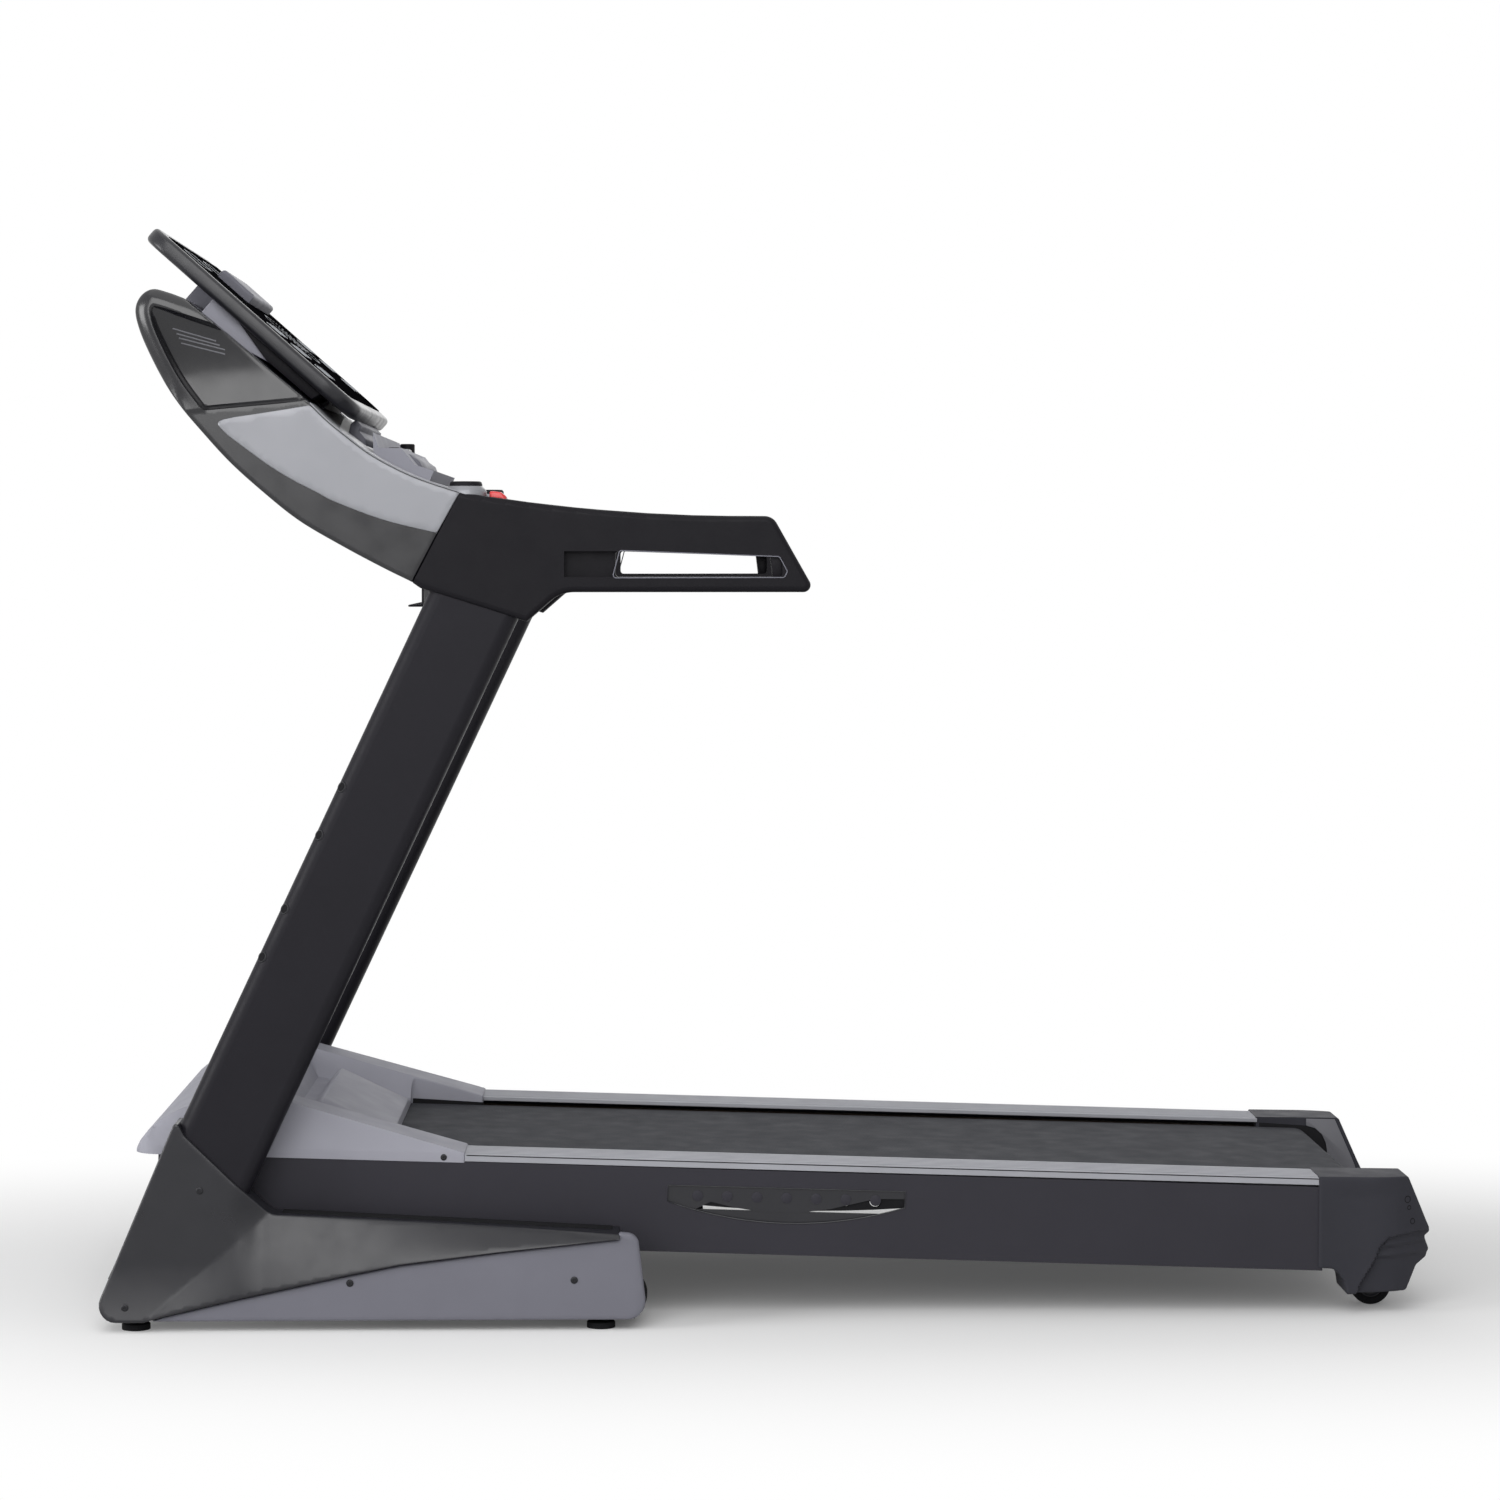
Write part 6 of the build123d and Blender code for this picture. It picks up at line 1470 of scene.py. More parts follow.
@dataclass
class KeyShelf:
    """Keys, mouldings and thumb controls on the console, in millimetres."""

    half: float = 210.0
    chin: Line = (
        (-606, 1256), (-602, 1273), (-594, 1279), (-586, 1270), (-590, 1262), (-581, 1252), (-579, 1237),
        (-596, 1237))
    steps: Line = (
        (-523, 1200), (-523, 1229), (-518, 1230), (-503, 1219), (-500, 1212), (-499, 1190), (-515, 1186))
    moulding_edge: float = 1.6
    pads: Line = ((-206.0, -46.0), (46.0, 92.0), (128.0, 206.0))
    pad_x: Flat = (-555.0, -527.0)
    pad_up: Flat = (1235.0, 1237.4)
    pad_edge: float = 0.8
    key_pitch: float = 26.0
    key_size: Corner = (8.0, 2.0, 1.2)
    pod: Point = (-428.0, 401.0, 1168.0)
    pod_foot: Line = ((0, -3), (29, -3), (29, 5), (27.5, 8), (23, 12.5), (15, 12.5), (0, 12.5))
    pod_ring: Line = ((0, 11), (22.5, 11), (23, 14), (22, 17.5), (20, 19), (17, 18.2), (15.5, 15), (0, 14.5))
    pod_middle: Line = ((0, 13), (13.5, 13), (13.5, 15.6), (12.6, 16.6), (8, 15.8), (0, 15.2))
    stop_slope: float = 8.0
    stop_drop: float = 2.0
    stop_edge: float = 3.4
    hidden_drop: float = 7.0

    def build(self, copies: CopyTree) -> None:
        """Make the mouldings, key pads, thumb controls and stop buttons.

        Args:
            copies: Tree that places the keys.
        """
        shape = bmesh.new()
        for profile in (self.chin, self.steps):
            add_prism(shape, profile, -self.half, self.half, self.moulding_edge)
        settle(finished("key_shelf_mouldings", shape), "base", SHELL_GREY)
        shape = bmesh.new()
        (x0, x1), (low_up, top_up) = self.pad_x, self.pad_up
        profile = [(x0, low_up), (x1, low_up), (x1, top_up), (x0, top_up)]
        places = []
        for low, high in self.pads:
            add_prism(shape, profile, low, high, self.pad_edge)
            count = max(1, int((high - low) // self.key_pitch))
            for index in range(count):
                y = low + (high - low) * (index + 0.5) / count
                places.append((((x0 + x1) / 2, y, top_up), (0, 0, 1)))
        settle(finished("key_pads", shape), "base", SHELL_GREY)
        copies.place("shelf_keys", "base", pad(*self.key_size), places, GRIP_BLACK)
        self._thumb_controls()
        for side in BOTH:
            self._stop_button(side)

    def _thumb_controls(self) -> None:
        """Round thumb controls on the handrails: a silver foot, a dark ring and a dished middle."""
        foot, ring, middle = bmesh.new(), bmesh.new(), bmesh.new()
        along, out, up = self.pod
        for side in BOTH:
            place = Matrix.Translation(MM * Vector((along, side.value * out, up)))
            add_lathe(foot, self.pod_foot, place, WIDE_ROUND)
            add_lathe(ring, self.pod_ring, place, WIDE_ROUND)
            add_lathe(middle, self.pod_middle, place)
        stand_in("control_pods", foot, SILVER)
        settle(finished("control_rings", ring), "base", GRIP_BLACK)
        settle(finished("control_middles", middle), "base", STEEL)

    def _stop_button(self, side: Side) -> None:
        """A red stop button with a top that slopes to the runner."""
        node = f"stop_button_{side.word}"
        low, high = (PER_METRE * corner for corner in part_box(node))
        top = high.z - (self.hidden_drop if side is Side.RIGHT else 0.0)
        shape = bmesh.new()
        profile = [(low.x, low.z), (high.x, low.z), (high.x, top - self.stop_slope),
                   (high.x - self.stop_slope, top - self.stop_drop), (low.x, top)]
        add_prism(shape, profile, low.y, high.y, self.stop_edge, segments=3)
        stand_in(node, shape, KEY_RED)


DISPLAY_PLACE = Matrix.Translation((-0.727, 0.0, 1.408)) @ Matrix.Rotation(math.radians(41.5), 4, "Y")


@dataclass
class Display:
    """Tilted display housing with its dark glass and light marks, in millimetres."""

    half_width: float = 345.0
    upper: float = -196.0
    lower: float = 188.0
    half_thick: float = 12.0
    upper_round: float = 40.0
    lower_round: float = 62.0
    least_round: float = 8.0
    round_parts: int = 10
    front_gap: float = 0.5
    housing_edge: float = 7.0
    glass_margin: float = 22.0
    glass_thick: float = 3.0
    glass_proud: float = 0.8
    glass_edge: float = 0.6
    back_shell: Line = ((-20, -12), (45, -27), (128, -26), (134, -10), (-20, -10))
    back_half: float = 330.0
    back_edge: float = 5.0
    neck: Line = ((-814, 1413), (-784, 1447), (-720, 1391), (-706, 1354))
    neck_half: float = 325.0
    neck_edge: float = 2.0
    mark_up: float = 0.85
    dot: Corner = (2.0, 0.3, 0.15)
    oval_dots: int = 44
    oval_middle: float = 20.0
    oval_half: Flat = (52.0, 92.0)
    bar_rows: tuple[int, ...] = (1, 6, 4, 2, 7, 5, 3, 1, 6, 4, 2, 7, 5, 3)
    bars_start: Flat = (44.0, -52.0)
    bar_pitch: float = 8.0
    ring_widths: tuple[float, ...] = (-290.0, -245.0, -200.0, 200.0, 245.0, 290.0)
    ring_slopes: tuple[float, ...] = (20.0, 65.0, 110.0)
    ring_half: Flat = (14.0, 16.0)
    ring_parts: int = 28
    frame_widths: tuple[float, ...] = (-240.0, 0.0, 240.0)
    frame_slopes: Flat = (-148.0, -112.0)
    frame_half: float = 62.0
    line_bead: float = 0.6

    def outline(self, margin: float) -> list[Flat]:
        """Plan of the display, drawn in slope and width.

        Args:
            margin: Distance inside the housing's edge.

        Returns:
            Points of the closed line.
        """
        wide = self.half_width - margin
        top, low = self.upper + margin, self.lower - margin
        over = max(self.least_round, self.upper_round - margin)
        under = max(self.least_round, self.lower_round - margin)
        corners = [(top, -wide, over), (low, -wide, under), (low, wide, under), (top, wide, over)]
        return rounded(corners, LONG_STEP, self.round_parts)

    def _slab(self, margin: float, low: float, high: float, edge: float) -> BMesh:
        """A slab with the display's plan.

        Args:
            margin: Distance inside the housing's edge.
            low: Its back.
            high: Its front.
            edge: Rounding of its edges.

        Returns:
            The slab in its place.
        """
        shape = bmesh.new()
        turn = DISPLAY_PLACE @ Matrix.Rotation(math.radians(-90), 4, "X")
        add_prism(shape, self.outline(margin), -high, -low, edge, turn, 4)
        return shape

    def build(self, copies: CopyTree, beads: BeadTree) -> None:
        """Make housing, glass, the back shell, the neck and marks.

        Args:
            copies: Tree that places the dots.
            beads: Tree that draws the lines.
        """
        housing = self._slab(0.0, -self.half_thick, self.half_thick - self.front_gap, self.housing_edge)
        stand_in("display_panel", housing, SHELL_DARK)
        low, high = self.half_thick - self.glass_thick, self.half_thick + self.glass_proud
        stand_in("display_glass", self._slab(self.glass_margin, low, high, self.glass_edge), SCREEN)
        # The back shell is a real part, but its near-black colour also paints the shadow in the gap under the
        # display's lower edge.
        back = bmesh.new()
        add_prism(back, self.back_shell, -self.back_half, self.back_half, self.back_edge, DISPLAY_PLACE, 3)
        settle(finished("display_back_shell", back), "base", GRIP_BLACK)
        neck = bmesh.new()
        add_prism(neck, self.neck, -self.neck_half, self.neck_half, self.neck_edge)
        settle(finished("display_neck", neck), "base", HOOD_GREY)
        self._dots(copies)
        self._lines(beads)

    def _on_glass(self, slope: float, width: float) -> Point:
        """Point on the glass, in millimetres."""
        place = DISPLAY_PLACE @ (MM * Vector((slope, width, self.half_thick + self.mark_up)))
        return tuple(PER_METRE * place)

    def _dots(self, copies: CopyTree) -> None:
        """Plain light dots: a lap oval and bars.

        Args:
            copies: Tree that places them.
        """
        places = []
        along, across = self.oval_half
        for index in range(self.oval_dots):
            angle = math.tau * index / self.oval_dots
            places.append((self.oval_middle + along * math.sin(angle), across * math.cos(angle)))
        slope, width = self.bars_start
        for bar, rows in enumerate(self.bar_rows):
            for row in range(rows):
                places.append((slope - self.bar_pitch * row, width + self.bar_pitch * bar))
        up = tuple(DISPLAY_PLACE.to_3x3() @ Vector((0, 0, 1)))
        dots = [(self._on_glass(*place), up) for place in places]
        copies.place("display_dots", "base", pad(*self.dot), dots, MARK)

    def _lines(self, beads: BeadTree) -> None:
        """Plain light lines: key rings and frames.

        Args:
            beads: Tree that draws them.
        """
        loops = []
        angles = [math.tau * part / self.ring_parts for part in range(self.ring_parts)]
        along, across = self.ring_half
        for width in self.ring_widths:
            for slope in self.ring_slopes:
                loops.append([(slope + along * math.cos(angle), width + across * math.sin(angle))
                              for angle in angles])
        top, low = self.frame_slopes
        for width in self.frame_widths:
            left, right = width - self.frame_half, width + self.frame_half
            corners = ((top, left), (low, left), (low, right), (top, right))
            loops.append(rounded([(*corner, self.least_round) for corner in corners], LONG_STEP))
        lines = [([self._on_glass(*point) for point in loop], True) for loop in loops]
        beads.draw("display_frames", "base", lines, self.line_bead, MARK)


@dataclass
class RearCaps:
    """Moulded caps at the rear of the deck, in millimetres.

    Attributes:
        turn: Start, length and depth of the turn to the rear.
        hollow: Start, length and depth of the hollow in the side.
        hollow_top: Height where the hollow begins, and the height over which it grows.
        scoop: Start, depth and soft edge of the scoop over the wheel.
        ridges: Height and slope of the ridges in the scoop.
        ridge_start: Place along where they have that height.
        ledge: Depth and soft edge of the ledge under each ridge.
        ridge: Rise, half width and height of each ridge over its ledge.
    """

    outline: Outline = (
        (779, 201, 2), (909, 199, 5), (938, 134, 20), (947, 115, 4), (937, 109, 3), (945, 90, 8),
        (941, 78, 8), (925, 68, 8), (909, 33, 6), (820, 31, 3), (817, 50, 14), (804, 68, 18), (778.5, 70, 2))
    scoop_edge: Line = (
        (836, 31), (838, 44), (861, 82), (867, 100), (880, 113), (901, 117.5), (941, 122))
    back: float = 264.0
    side: float = 353.5
    turn: Corner = (852.0, 95.0, 40.0)
    hollow: Corner = (782.0, 110.0, 4.0)
    hollow_top: Flat = (196.0, 30.0)
    scoop: Corner = (836.0, 8.0, 4.0)
    ridges: Line = ((97.0, 0.11), (83.0, 0.05))
    ridge_start: float = 869.0
    ledge: Flat = (2.4, 2.5)
    ridge: Corner = (3.0, 2.2, 1.6)
    adjusters: tuple[tuple[Flat, float], ...] = (((908, 166), 4.2), ((910.5, 154), 2.4), ((916, 134), 3.4))
    adjuster_wall: Flat = (1.1, 0.5)
    inner: Line = (
        (858, 187), (872, 183), (883, 173), (889, 160), (891, 148), (891, 110), (928, 110), (938, 116),
        (931, 134), (903, 197), (858, 198))
    inner_sides: Flat = (262.0, 265.0)
    # Dark rubber sheet in each cap's throat: painted shade where the opening under the cap's top shows only
    # shade.
    throat: Line = (
        (784, 120), (891, 120), (891, 148), (889, 160), (883, 173), (872, 183), (858, 187), (784, 192))
    throat_sides: Flat = (263.0, 265.0)
    wall_edge: float = 0.5

    def depth(self, x: Array, z: Array) -> Array:
        """Outer face of a cap, which turns round to the rear and is scooped over the wheel.

        Args:
            x: Places along.
            z: Places up.

        Returns:
            Distances from the middle plane.
        """
        start, length, inward = self.turn
        turned = inward * np.clip((x - start) / length, 0, 1) ** 2
        start, length, deep = self.hollow
        top, grow = self.hollow_top
        hollow = deep * np.sin(np.pi * np.clip((x - start) / length, 0, 1)) * ease((top - z) / grow)
        start, deep, soft = self.scoop
        inside = ease(np.where(x > start, np.interp(x, *zip(*self.scoop_edge)) - z, -1) / soft)
        steps = deep * inside
        for height, slope in self.ridges:
            under = height + slope * (x - self.ridge_start) - z
            deep, soft = self.ledge
            rise, half, proud = self.ridge
            steps = steps + deep * ease(under / soft) * inside
            steps = steps - proud * np.exp(-(((under + rise) / half) ** 2)) * inside
        return self.side - turned - hollow - steps

    def build(self, copies: CopyTree) -> None:
        """Make the caps, their inner walls in painted light, dark sheets of painted shade in their throats,
        and their adjuster holes.

        Args:
            copies: Tree that places the adjusters.
        """
        cap = Relief(rounded(self.outline), self.back, self.depth, edge=2.4, pitch=2.6)
        stand_in("rear_caps", relief_mesh(cap, PAIR), CAP_DARK)
        # The inner walls carry painted light in a lighter copy of the dark moulding; the throats are dark
        # rubber sheets of painted shade.
        for name, profile, sides, finish in (("cap_inner_walls", self.inner, self.inner_sides, SHELL_PAINTED_LIGHT),
                                             ("cap_throats", self.throat, self.throat_sides, RUBBER)):
            shape = bmesh.new()
            add_pair(shape, profile, *sides, self.wall_edge)
            settle(finished(name, shape), "deck", finish)
        for order, ((x, z), radius) in enumerate(self.adjusters):
            near = cap.depth(np.array([x - 1.0, x, x + 1.0]), np.array([z, z, z], dtype=float))
            slope = float(near[2] - near[0]) / 2
            spots = []
            for side in BOTH:
                facing = Vector((-slope, side.value, 0.0)).normalized()
                spots.append(((x, side.value * float(near[1]), z), tuple(facing)))
            eyelet = hole_ring(radius, *self.adjuster_wall)
            copies.place(f"cap_adjuster_{order}", "deck", eyelet, spots, RUBBER)


@dataclass
class Wheel:
    """A small wheel with a grooved tyre and a dished hub, in millimetres.

    Attributes:
        node: Name of the frame's wheel.
        groove: Depth of its grooves.
        groove_place: Place of the grooves as a share of the half width.
        groove_halves: Half width of a groove at the tread and at its bottom.
        shoulder: Drop and inset of the points of the tyre's shoulder.
        tyre_share: Radius where the tyre ends, as a share of the wheel's.
        dish: Depth of the wheel's sides inside the tyre.
        hub_share: Radius of the hub, as a share of the wheel's.
        hub_rings: Share of the hub's radius and inset of each of its rings.
    """

    node: str
    groove: float = 1.2
    groove_place: float = 0.36
    groove_halves: Flat = (1.4, 0.7)
    shoulder: Line = ((2.5, 0.0), (0.6, 1.2), (0.0, 3.0))
    tyre_share: float = 0.66
    dish: float = 1.5
    hub_share: float = 0.62
    hub_rings: Line = (
        (0.0, 3.0), (1.0, 3.0), (1.0, 0.6), (0.9, 0.2), (0.8, 1.4), (0.4, 1.2), (0.34, 0.2), (0.28, 0.0),
        (0.0, 0.0))

    def _tread(self, radius: float, half: float) -> list[Flat]:
        """Outer line of the tyre.

        Args:
            radius: Radius of the wheel.
            half: Half of its width.

        Returns:
            Radius and height of each ring.
        """
        tread = [(radius - drop, inset - half) for drop, inset in self.shoulder]
        wide, narrow = self.groove_halves
        for middle in (-self.groove_place * half, self.groove_place * half):
            tread += [(radius, middle - wide), (radius - self.groove, middle - narrow),
                      (radius - self.groove, middle + narrow), (radius, middle + wide)]
        return tread + [(radius - drop, half - inset) for drop, inset in reversed(self.shoulder)]

    def build(self) -> None:
        """Make tyre and hub from the frame's own size."""
        low, high = (PER_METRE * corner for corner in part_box(self.node))
        radius, half = (high.z - low.z) / 2, (high.y - low.y) / 2
        place = Matrix.Translation(MM * (low + high) / 2) @ Matrix.Rotation(math.radians(90), 4, "X")
        rim, hub, side = self.tyre_share * radius, self.hub_share * radius, half - self.dish
        tyre = bmesh.new()
        rings = [(0, -side), (rim, -side), (rim, -half), *self._tread(radius, half), (rim, half), (rim, side)]
        add_lathe(tyre, rings + [(0, side)], place, TYRE_ROUND)
        body = node_body(self.node)
        settle(finished(self.node + "_tyre", tyre), body, RUBBER, self.node)
        disc = bmesh.new()
        for turn in (0, 180):
            add_lathe(disc, [(share * hub, half - inset) for share, inset in self.hub_rings],
                      place @ Matrix.Rotation(math.radians(turn), 4, "X"), WIDE_ROUND)
        settle(finished(self.node + "_hub", disc), body, SHELL_DARK)


DECK_PLACE = Matrix.Translation((-0.825, 0.0, 0.175)) @ Matrix.Rotation(math.radians(1.8), 4, "Y")


def on_deck(x: float, y: float, z: float) -> Vector:
    """World place, in metres, of a point of the deck's own frame, in millimetres."""
    return DECK_PLACE @ (MM * Vector((x, y, z)))


@dataclass
class Hood:
    """Moulded motor hood, drawn from above in the deck's own frame: ears, a sunk middle and a raised field.

    Attributes:
        plan: Outline from above.
        crest: Height of the ears along the deck.
        floor: Height of the middle.
        swell: Height of the raised field over the middle.
        swell_front: Start of the field and the length over which it rises.
        swell_side: Half width of the field and the width over which it falls.
        ear_side: Start of the ears across the deck and the width over which they rise.
        fold_range: First place, last place and step of the points along the ears' outer folds.
    """

    plan: Outline = (
        (-79, -351, 30), (388, -351, 3), (388, -257, 3), (276, -257, 8), (276, 257, 8), (388, 257, 3),
        (388, 351, 3), (-79, 351, 30))
    crest: Line = (
        (-79, 66), (-72, 80), (-60, 96), (-42, 111), (-20, 124), (20, 141), (55, 151.5), (78, 154),
        (100, 149), (388, 76))
    floor: Line = ((98, 149.5), (106, 144), (130, 101), (150, 97), (276, 70))
    swell: Line = ((172, 33), (276, 9))
    swell_front: Flat = (144.0, 32.0)
    swell_side: Flat = (222.0, 52.0)
    ear_side: Flat = (242.0, 17.0)
    fold_range: Corner = (-20.0, 384.0, 6.0)
    half: float = 351.0
    lip_up: float = 75.0
    draft: float = 0.26
    back: float = 62.0
    screw: Flat = (358.0, 69.0)
    screw_size: Flat = (4.6, 1.5)
    # Dark rubber strip along each ear's inner lower edge: painted shade for the dark line between ear and
    # belt.
    seal: Line = ((276, 61.5), (389, 61.5), (389, 66), (276, 69.5))
    seal_sides: Flat = (254.8, 257.5)

    def depth(self, x: Array, y: Array) -> Array:
        """Height of the hood.

        Args:
            x: Places along the deck.
            y: Places across.

        Returns:
            Heights above the deck's own zero.
        """
        out = np.abs(y)
        ear = np.interp(x, *zip(*self.crest))
        middle = np.minimum(np.interp(x, *zip(*self.floor)), ear)
        (start, rise), (reach, fall) = self.swell_front, self.swell_side
        swell = np.interp(x, *zip(*self.swell)) * ease((x - start) / rise) * ease((reach - out) / fall)
        middle = middle + swell
        start, rise = self.ear_side
        beside_middle = np.where(x < self.floor[0][0], 1.0, ease((out - start) / rise))
        top = middle * (1 - beside_middle) + ear * beside_middle
        return np.minimum(top, self.lip_up + (self.half - out) / self.draft)

    def build(self, copies: CopyTree) -> None:
        """Make the hood, its screws, and dark strips of painted shade along the ears' inner edges over the
        belt.

        Args:
            copies: Tree that places the screws.
        """
        along = np.arange(*self.fold_range)
        across = self.half - self.draft * (np.interp(along, *zip(*self.crest)) - self.lip_up)
        folds = tuple([(float(x), side.value * float(y)) for x, y in zip(along, across)] for side in BOTH)
        cover = Relief(rounded(self.plan), self.back, self.depth, edge=1.6, creases=folds, closed=False)
        stand_in("motor_hood", relief_mesh(cover, (on_deck,)), HOOD_GREY)
        heads = []
        for side in BOTH:
            place = on_deck(self.screw[0], side.value * self.half, self.screw[1])
            heads.append((tuple(place / MM), outward(side)))
        copies.place("hood_screw_heads", "deck", screw_head(*self.screw_size), heads, DARK_STEEL)
        # Dark rubber strips of painted shade between the ears and the belt.
        shape = bmesh.new()
        add_pair(shape, self.seal, *self.seal_sides, 0.0, DECK_PLACE)
        settle(finished("hood_seals", shape), "deck", RUBBER)


@dataclass
class DeckSides:
    """Small parts on the sides of the deck, in its own frame: those of the windows, and foot rail lines.

    Attributes:
        window_shoulder: Height of the ends of a window's bowed lower edge.
        window_bottom: Height of the middle of that edge.
        web: Outer face of the side beams.
        plug_size: Radius, height and edge of a plug.
        arch: Lower edge of the upper liner.
        sill: Ends and upper edge of the lower liner.
        sill_inset: How far the lower liner stands behind the upper one.
        rail_line: Ends and height of the line under a foot rail.
    """

    window_ends: Flat = (677.0, 1014.0)
    window_top: float = 38.0
    window_shoulder: float = 15.0
    window_bottom: float = -12.0
    bow_parts: int = 24
    web: float = 350.0
    liner: float = 348.5
    liner_thick: float = 2.0
    plugs: int = 7
    plug_up: float = 24.0
    plug_size: Corner = (7.9, 1.0, 0.4)
    arch: Line = (
        (1014, 26.9), (972, 26.2), (908, 9.8), (866, 3.5), (809, 3.5), (772, 8.4), (738, 15.7), (716, 4.5))
    sill: Corner = (716.0, 978.0, 4.8)
    sill_inset: float = 1.0
    rail_line: Corner = (390.0, 1608.0, 72.6)
    rail_proud: float = 1.0
    bezel_bead: float = 1.0
    rail_bead: float = 0.7

    @staticmethod
    def world(x: float, y: float, z: float) -> Point:
        """World place, in millimetres, of a point of the deck's own frame."""
        return tuple(on_deck(x, y, z) / MM)

    def _bow(self) -> list[Flat]:
        """Lower edge of a window, from rear to front."""
        front, rear = self.window_ends
        half, drop = (rear - front) / 2, self.window_shoulder - self.window_bottom
        radius = (half ** 2 + drop ** 2) / (2 * drop)
        bow = []
        for part in range(self.bow_parts + 1):
            x = rear - 2 * half * part / self.bow_parts
            across = x - (front + half)
            bow.append((x, self.window_bottom + radius - math.sqrt(radius ** 2 - across ** 2)))
        return bow

    def build(self, copies: CopyTree, beads: BeadTree) -> None:
        """Make plugs, liners, bezels and rail lines.

        Args:
            copies: Tree that places the plugs.
            beads: Tree that draws the lines.
        """
        front, rear = self.window_ends
        pitch = (rear - front) / (self.plugs + 1)
        spots = []
        for side in BOTH:
            for order in range(1, self.plugs + 1):
                place = self.world(front + order * pitch, side.value * self.liner, self.plug_up)
                spots.append((place, outward(side)))
        copies.place("window_plugs", "deck", pad(*self.plug_size), spots, BEAM_BLACK)
        top, bow = [(front, self.window_top), (rear, self.window_top)], self._bow()
        start, end, up = self.sill
        upper = top + list(self.arch) + [point for point in bow if point[0] < start]
        lower = [point for point in reversed(bow) if start <= point[0] <= end] + [(end, up), (start, up)]
        shape = bmesh.new()
        for profile, outer in ((upper, self.liner), (lower, self.liner - self.sill_inset)):
            add_pair(shape, profile, outer - self.liner_thick, outer, 0.0, DECK_PLACE)
        settle(finished("window_liners", shape), "deck", SHELL_DARK)
        bezels, marks = [], []
        first, last, up = self.rail_line
        for side in BOTH:
            bezels.append(([self.world(x, side.value * self.web, z) for x, z in top + bow], True))
            out = side.value * (self.web + self.rail_proud)
            marks.append(([self.world(x, out, up) for x in (first, last)], False))
        beads.draw("window_bezels", "deck", bezels, self.bezel_bead, SHELL_DARK)
        beads.draw("foot_rail_lines", "deck", marks, self.rail_bead, RUBBER)


@dataclass
class GripSlots:
    """Light beads round the grip slots of the handrails, and the slots' rear ends, in millimetres."""

    line: Outline = (
        (-214, 1091, 4), (8, 1082.5, 5), (19, 1062, 4), (15, 1053.5, 4), (-224, 1053, 4))
    bead: float = 0.8
    side: float = 433.8
    end: Line = ((-1, 1053), (13, 1053), (13, 1085), (-5, 1086))
    end_sides: Flat = (396.0, 428.0)
    end_edge: float = 1.0

    def build(self, beads: BeadTree) -> None:
        """Make the beads and the ends.

        Args:
            beads: Tree that draws the beads.
        """
        corners = rounded(self.line, LONG_STEP)
        lines = [([(x, side.value * self.side, z) for x, z in corners], True) for side in BOTH]
        beads.draw("grip_slot_beads", "base", lines, self.bead, SHELL_GREY)
        shape = bmesh.new()
        add_pair(shape, self.end, *self.end_sides, self.end_edge)
        settle(finished("grip_slot_ends", shape), "base", GRIP_BLACK)


@dataclass
class UprightHoles:
    """Eyelets of the cable holes on the rounded front edges of the uprights, in millimetres and degrees."""

    lean: float = 25.24
    middle: Flat = (-612.7, 600.0)
    half_depth: float = 64.0
    side: float = 428.0
    corner: float = 20.0
    heights: tuple[float, ...] = (500.0, 567.0, 670.0, 737.0)
    turn: float = 48.0
    eyelet: Corner = (6.2, 1.8, 1.0)
    floor: Corner = (6.4, 0.15, 0.05)

    def build(self, copies: CopyTree) -> None:
        """Make the eyelets.

        Args:
            copies: Tree that places them.
        """
        lean = math.radians(self.lean)
        forward = Vector((-math.cos(lean), 0.0, math.sin(lean)))
        turn = math.radians(self.turn)
        spots = []
        for side in BOTH:
            for up in self.heights:
                line = Vector((self.middle[0] + (up - self.middle[1]) * math.tan(lean), 0.0, up))
                out = Vector((0.0, side.value, 0.0))
                facing = forward * math.sin(turn) + out * math.cos(turn)
                centre = line + forward * (self.half_depth - self.corner) + out * (self.side - self.corner)
                spots.append((tuple(centre + facing * self.corner), tuple(facing)))
        copies.place("upright_eyelets", "base", hole_ring(*self.eyelet), spots, SHELL_DARK)
        copies.place("upright_hole_floors", "base", pad(*self.floor), spots, RUBBER)


def skins(finish: Finish, width: float, *nodes: str) -> list[Softening]:
    """Nodes that share a finish and the width of their rounded edges, in metres."""
    return [Softening(node, finish, width) for node in nodes]


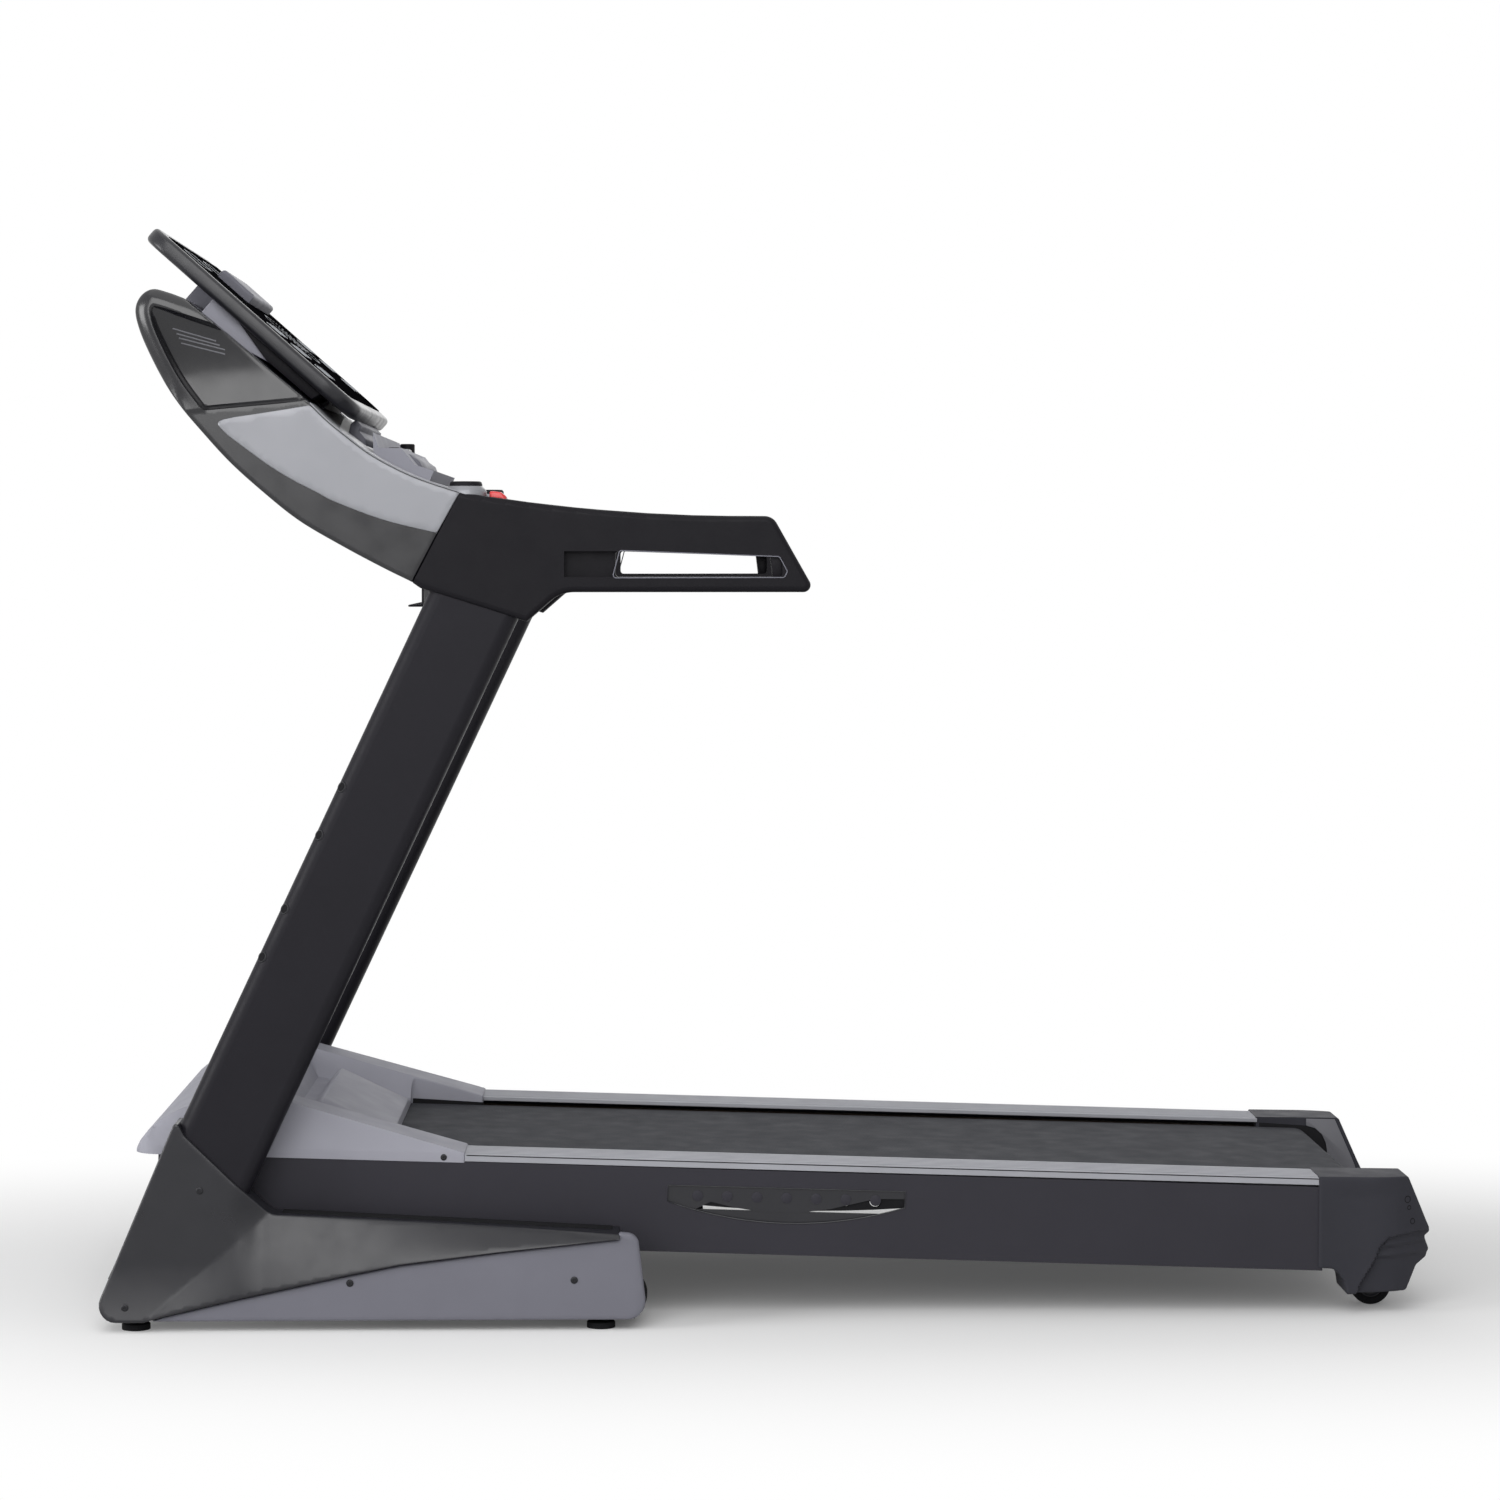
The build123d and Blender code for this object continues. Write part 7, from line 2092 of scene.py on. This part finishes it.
SKINS = (
    *skins(FRAME_BLACK, 0.0, "upright_left", "upright_right"),
    *skins(FRAME_BLACK, 0.004, "base_rails"),
    *skins(FRAME_BLACK, 0.002, "base_cross_tubes"),
    *skins(FRAME_BLACK, 0.0015, "upright_brace"),
    *skins(FRAME_BLACK, 0.003, "lift_arms"),
    *skins(FRAME_BLACK, 0.0015, "fold_yoke", "lift_rear_tube"),
    Softening("side_beams", BEAM_BLACK, 0.0012, limit=((-FAR, -FAR, -FAR), (0.785, FAR, FAR))),
    *skins(FRAME_BLACK, 0.002, "cross_members"),
    *skins(FRAME_BLACK, 0.001, "motor_pan"),
    Softening("handrail_left", GRIP_BLACK, 0.003, 3, longer=(0.015, 0.009)),
    Softening("handrail_right", GRIP_BLACK, 0.003, 3, longer=(0.015, 0.009)),
    Softening("console_body", HOOD_GREY, 0.0015, limit=((-FAR, -0.352, -FAR), (FAR, 0.352, FAR))),
    *skins(SHELL_GREY, 0.002, "display_ledge", "display_brackets"),
    *skins(RAIL_GREY, 0.0004, "foot_rails"),
    Softening("wheel_housings", SHELL_DARK, 0.002, limit=((0.832, -0.286, -FAR), (0.905, 0.286, FAR))),
    Softening("rear_guard", SHELL_DARK, 0.0, limit=((-FAR, -FAR, -FAR), (FAR, FAR, 0.11))),
    *skins(BELT, 0.0006, "running_belt"),
    *skins(BOARD, 0.0015, "running_board"),
    *skins(RUBBER, 0.001, "board_cushions"),
    *skins(SILVER, 0.0008, "start_key"),
    *skins(GRIP_BLACK, 0.0008, "safety_key", "power_inlet"),
    *skins(GRIP_BLACK, 0.0006, "power_switch"),
    *skins(MOTOR_DARK, 0.0015, "motor_controller"),
    *skins(MOTOR_DARK, 0.001, "drive_motor"),
    *skins(MOTOR_DARK, 0.0015, "incline_motor"),
    *skins(MOTOR_DARK, 0.0008, "spring_cylinder"),
    *skins(STEEL, 0.0005, "spring_rod"),
    *skins(RUBBER, 0.0005, "drive_belt"),
    *skins(RUBBER, 0.0006, "levelling_feet"),
    *skins(STEEL, 0.0008, "fold_shaft", "front_roller", "rear_roller", "motor_rotor"),
    *skins(STEEL, 0.0006, "deck_axles", "tension_bolts", "spring_pin", "incline_screw", "base_bolts"),
)


def main() -> None:
    """Dress the treadmill."""
    logging.basicConfig(level=logging.INFO, format="%(message)s")
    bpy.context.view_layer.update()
    Studio().build()
    for task in SKINS:
        soften(task)
    copies, beads = CopyTree(), BeadTree()
    BootCovers().build(copies)
    ConsoleSides().build(beads)
    KeyShelf().build(copies)
    Display().build(copies, beads)
    RearCaps().build(copies)
    for node in ("rear_wheel_left", "rear_wheel_right", "carry_wheel_left", "carry_wheel_right"):
        Wheel(node).build()
    Hood().build(copies)
    DeckSides().build(copies, beads)
    GripSlots().build(beads)
    UprightHoles().build(copies)


if __name__ == "__main__":
    main()
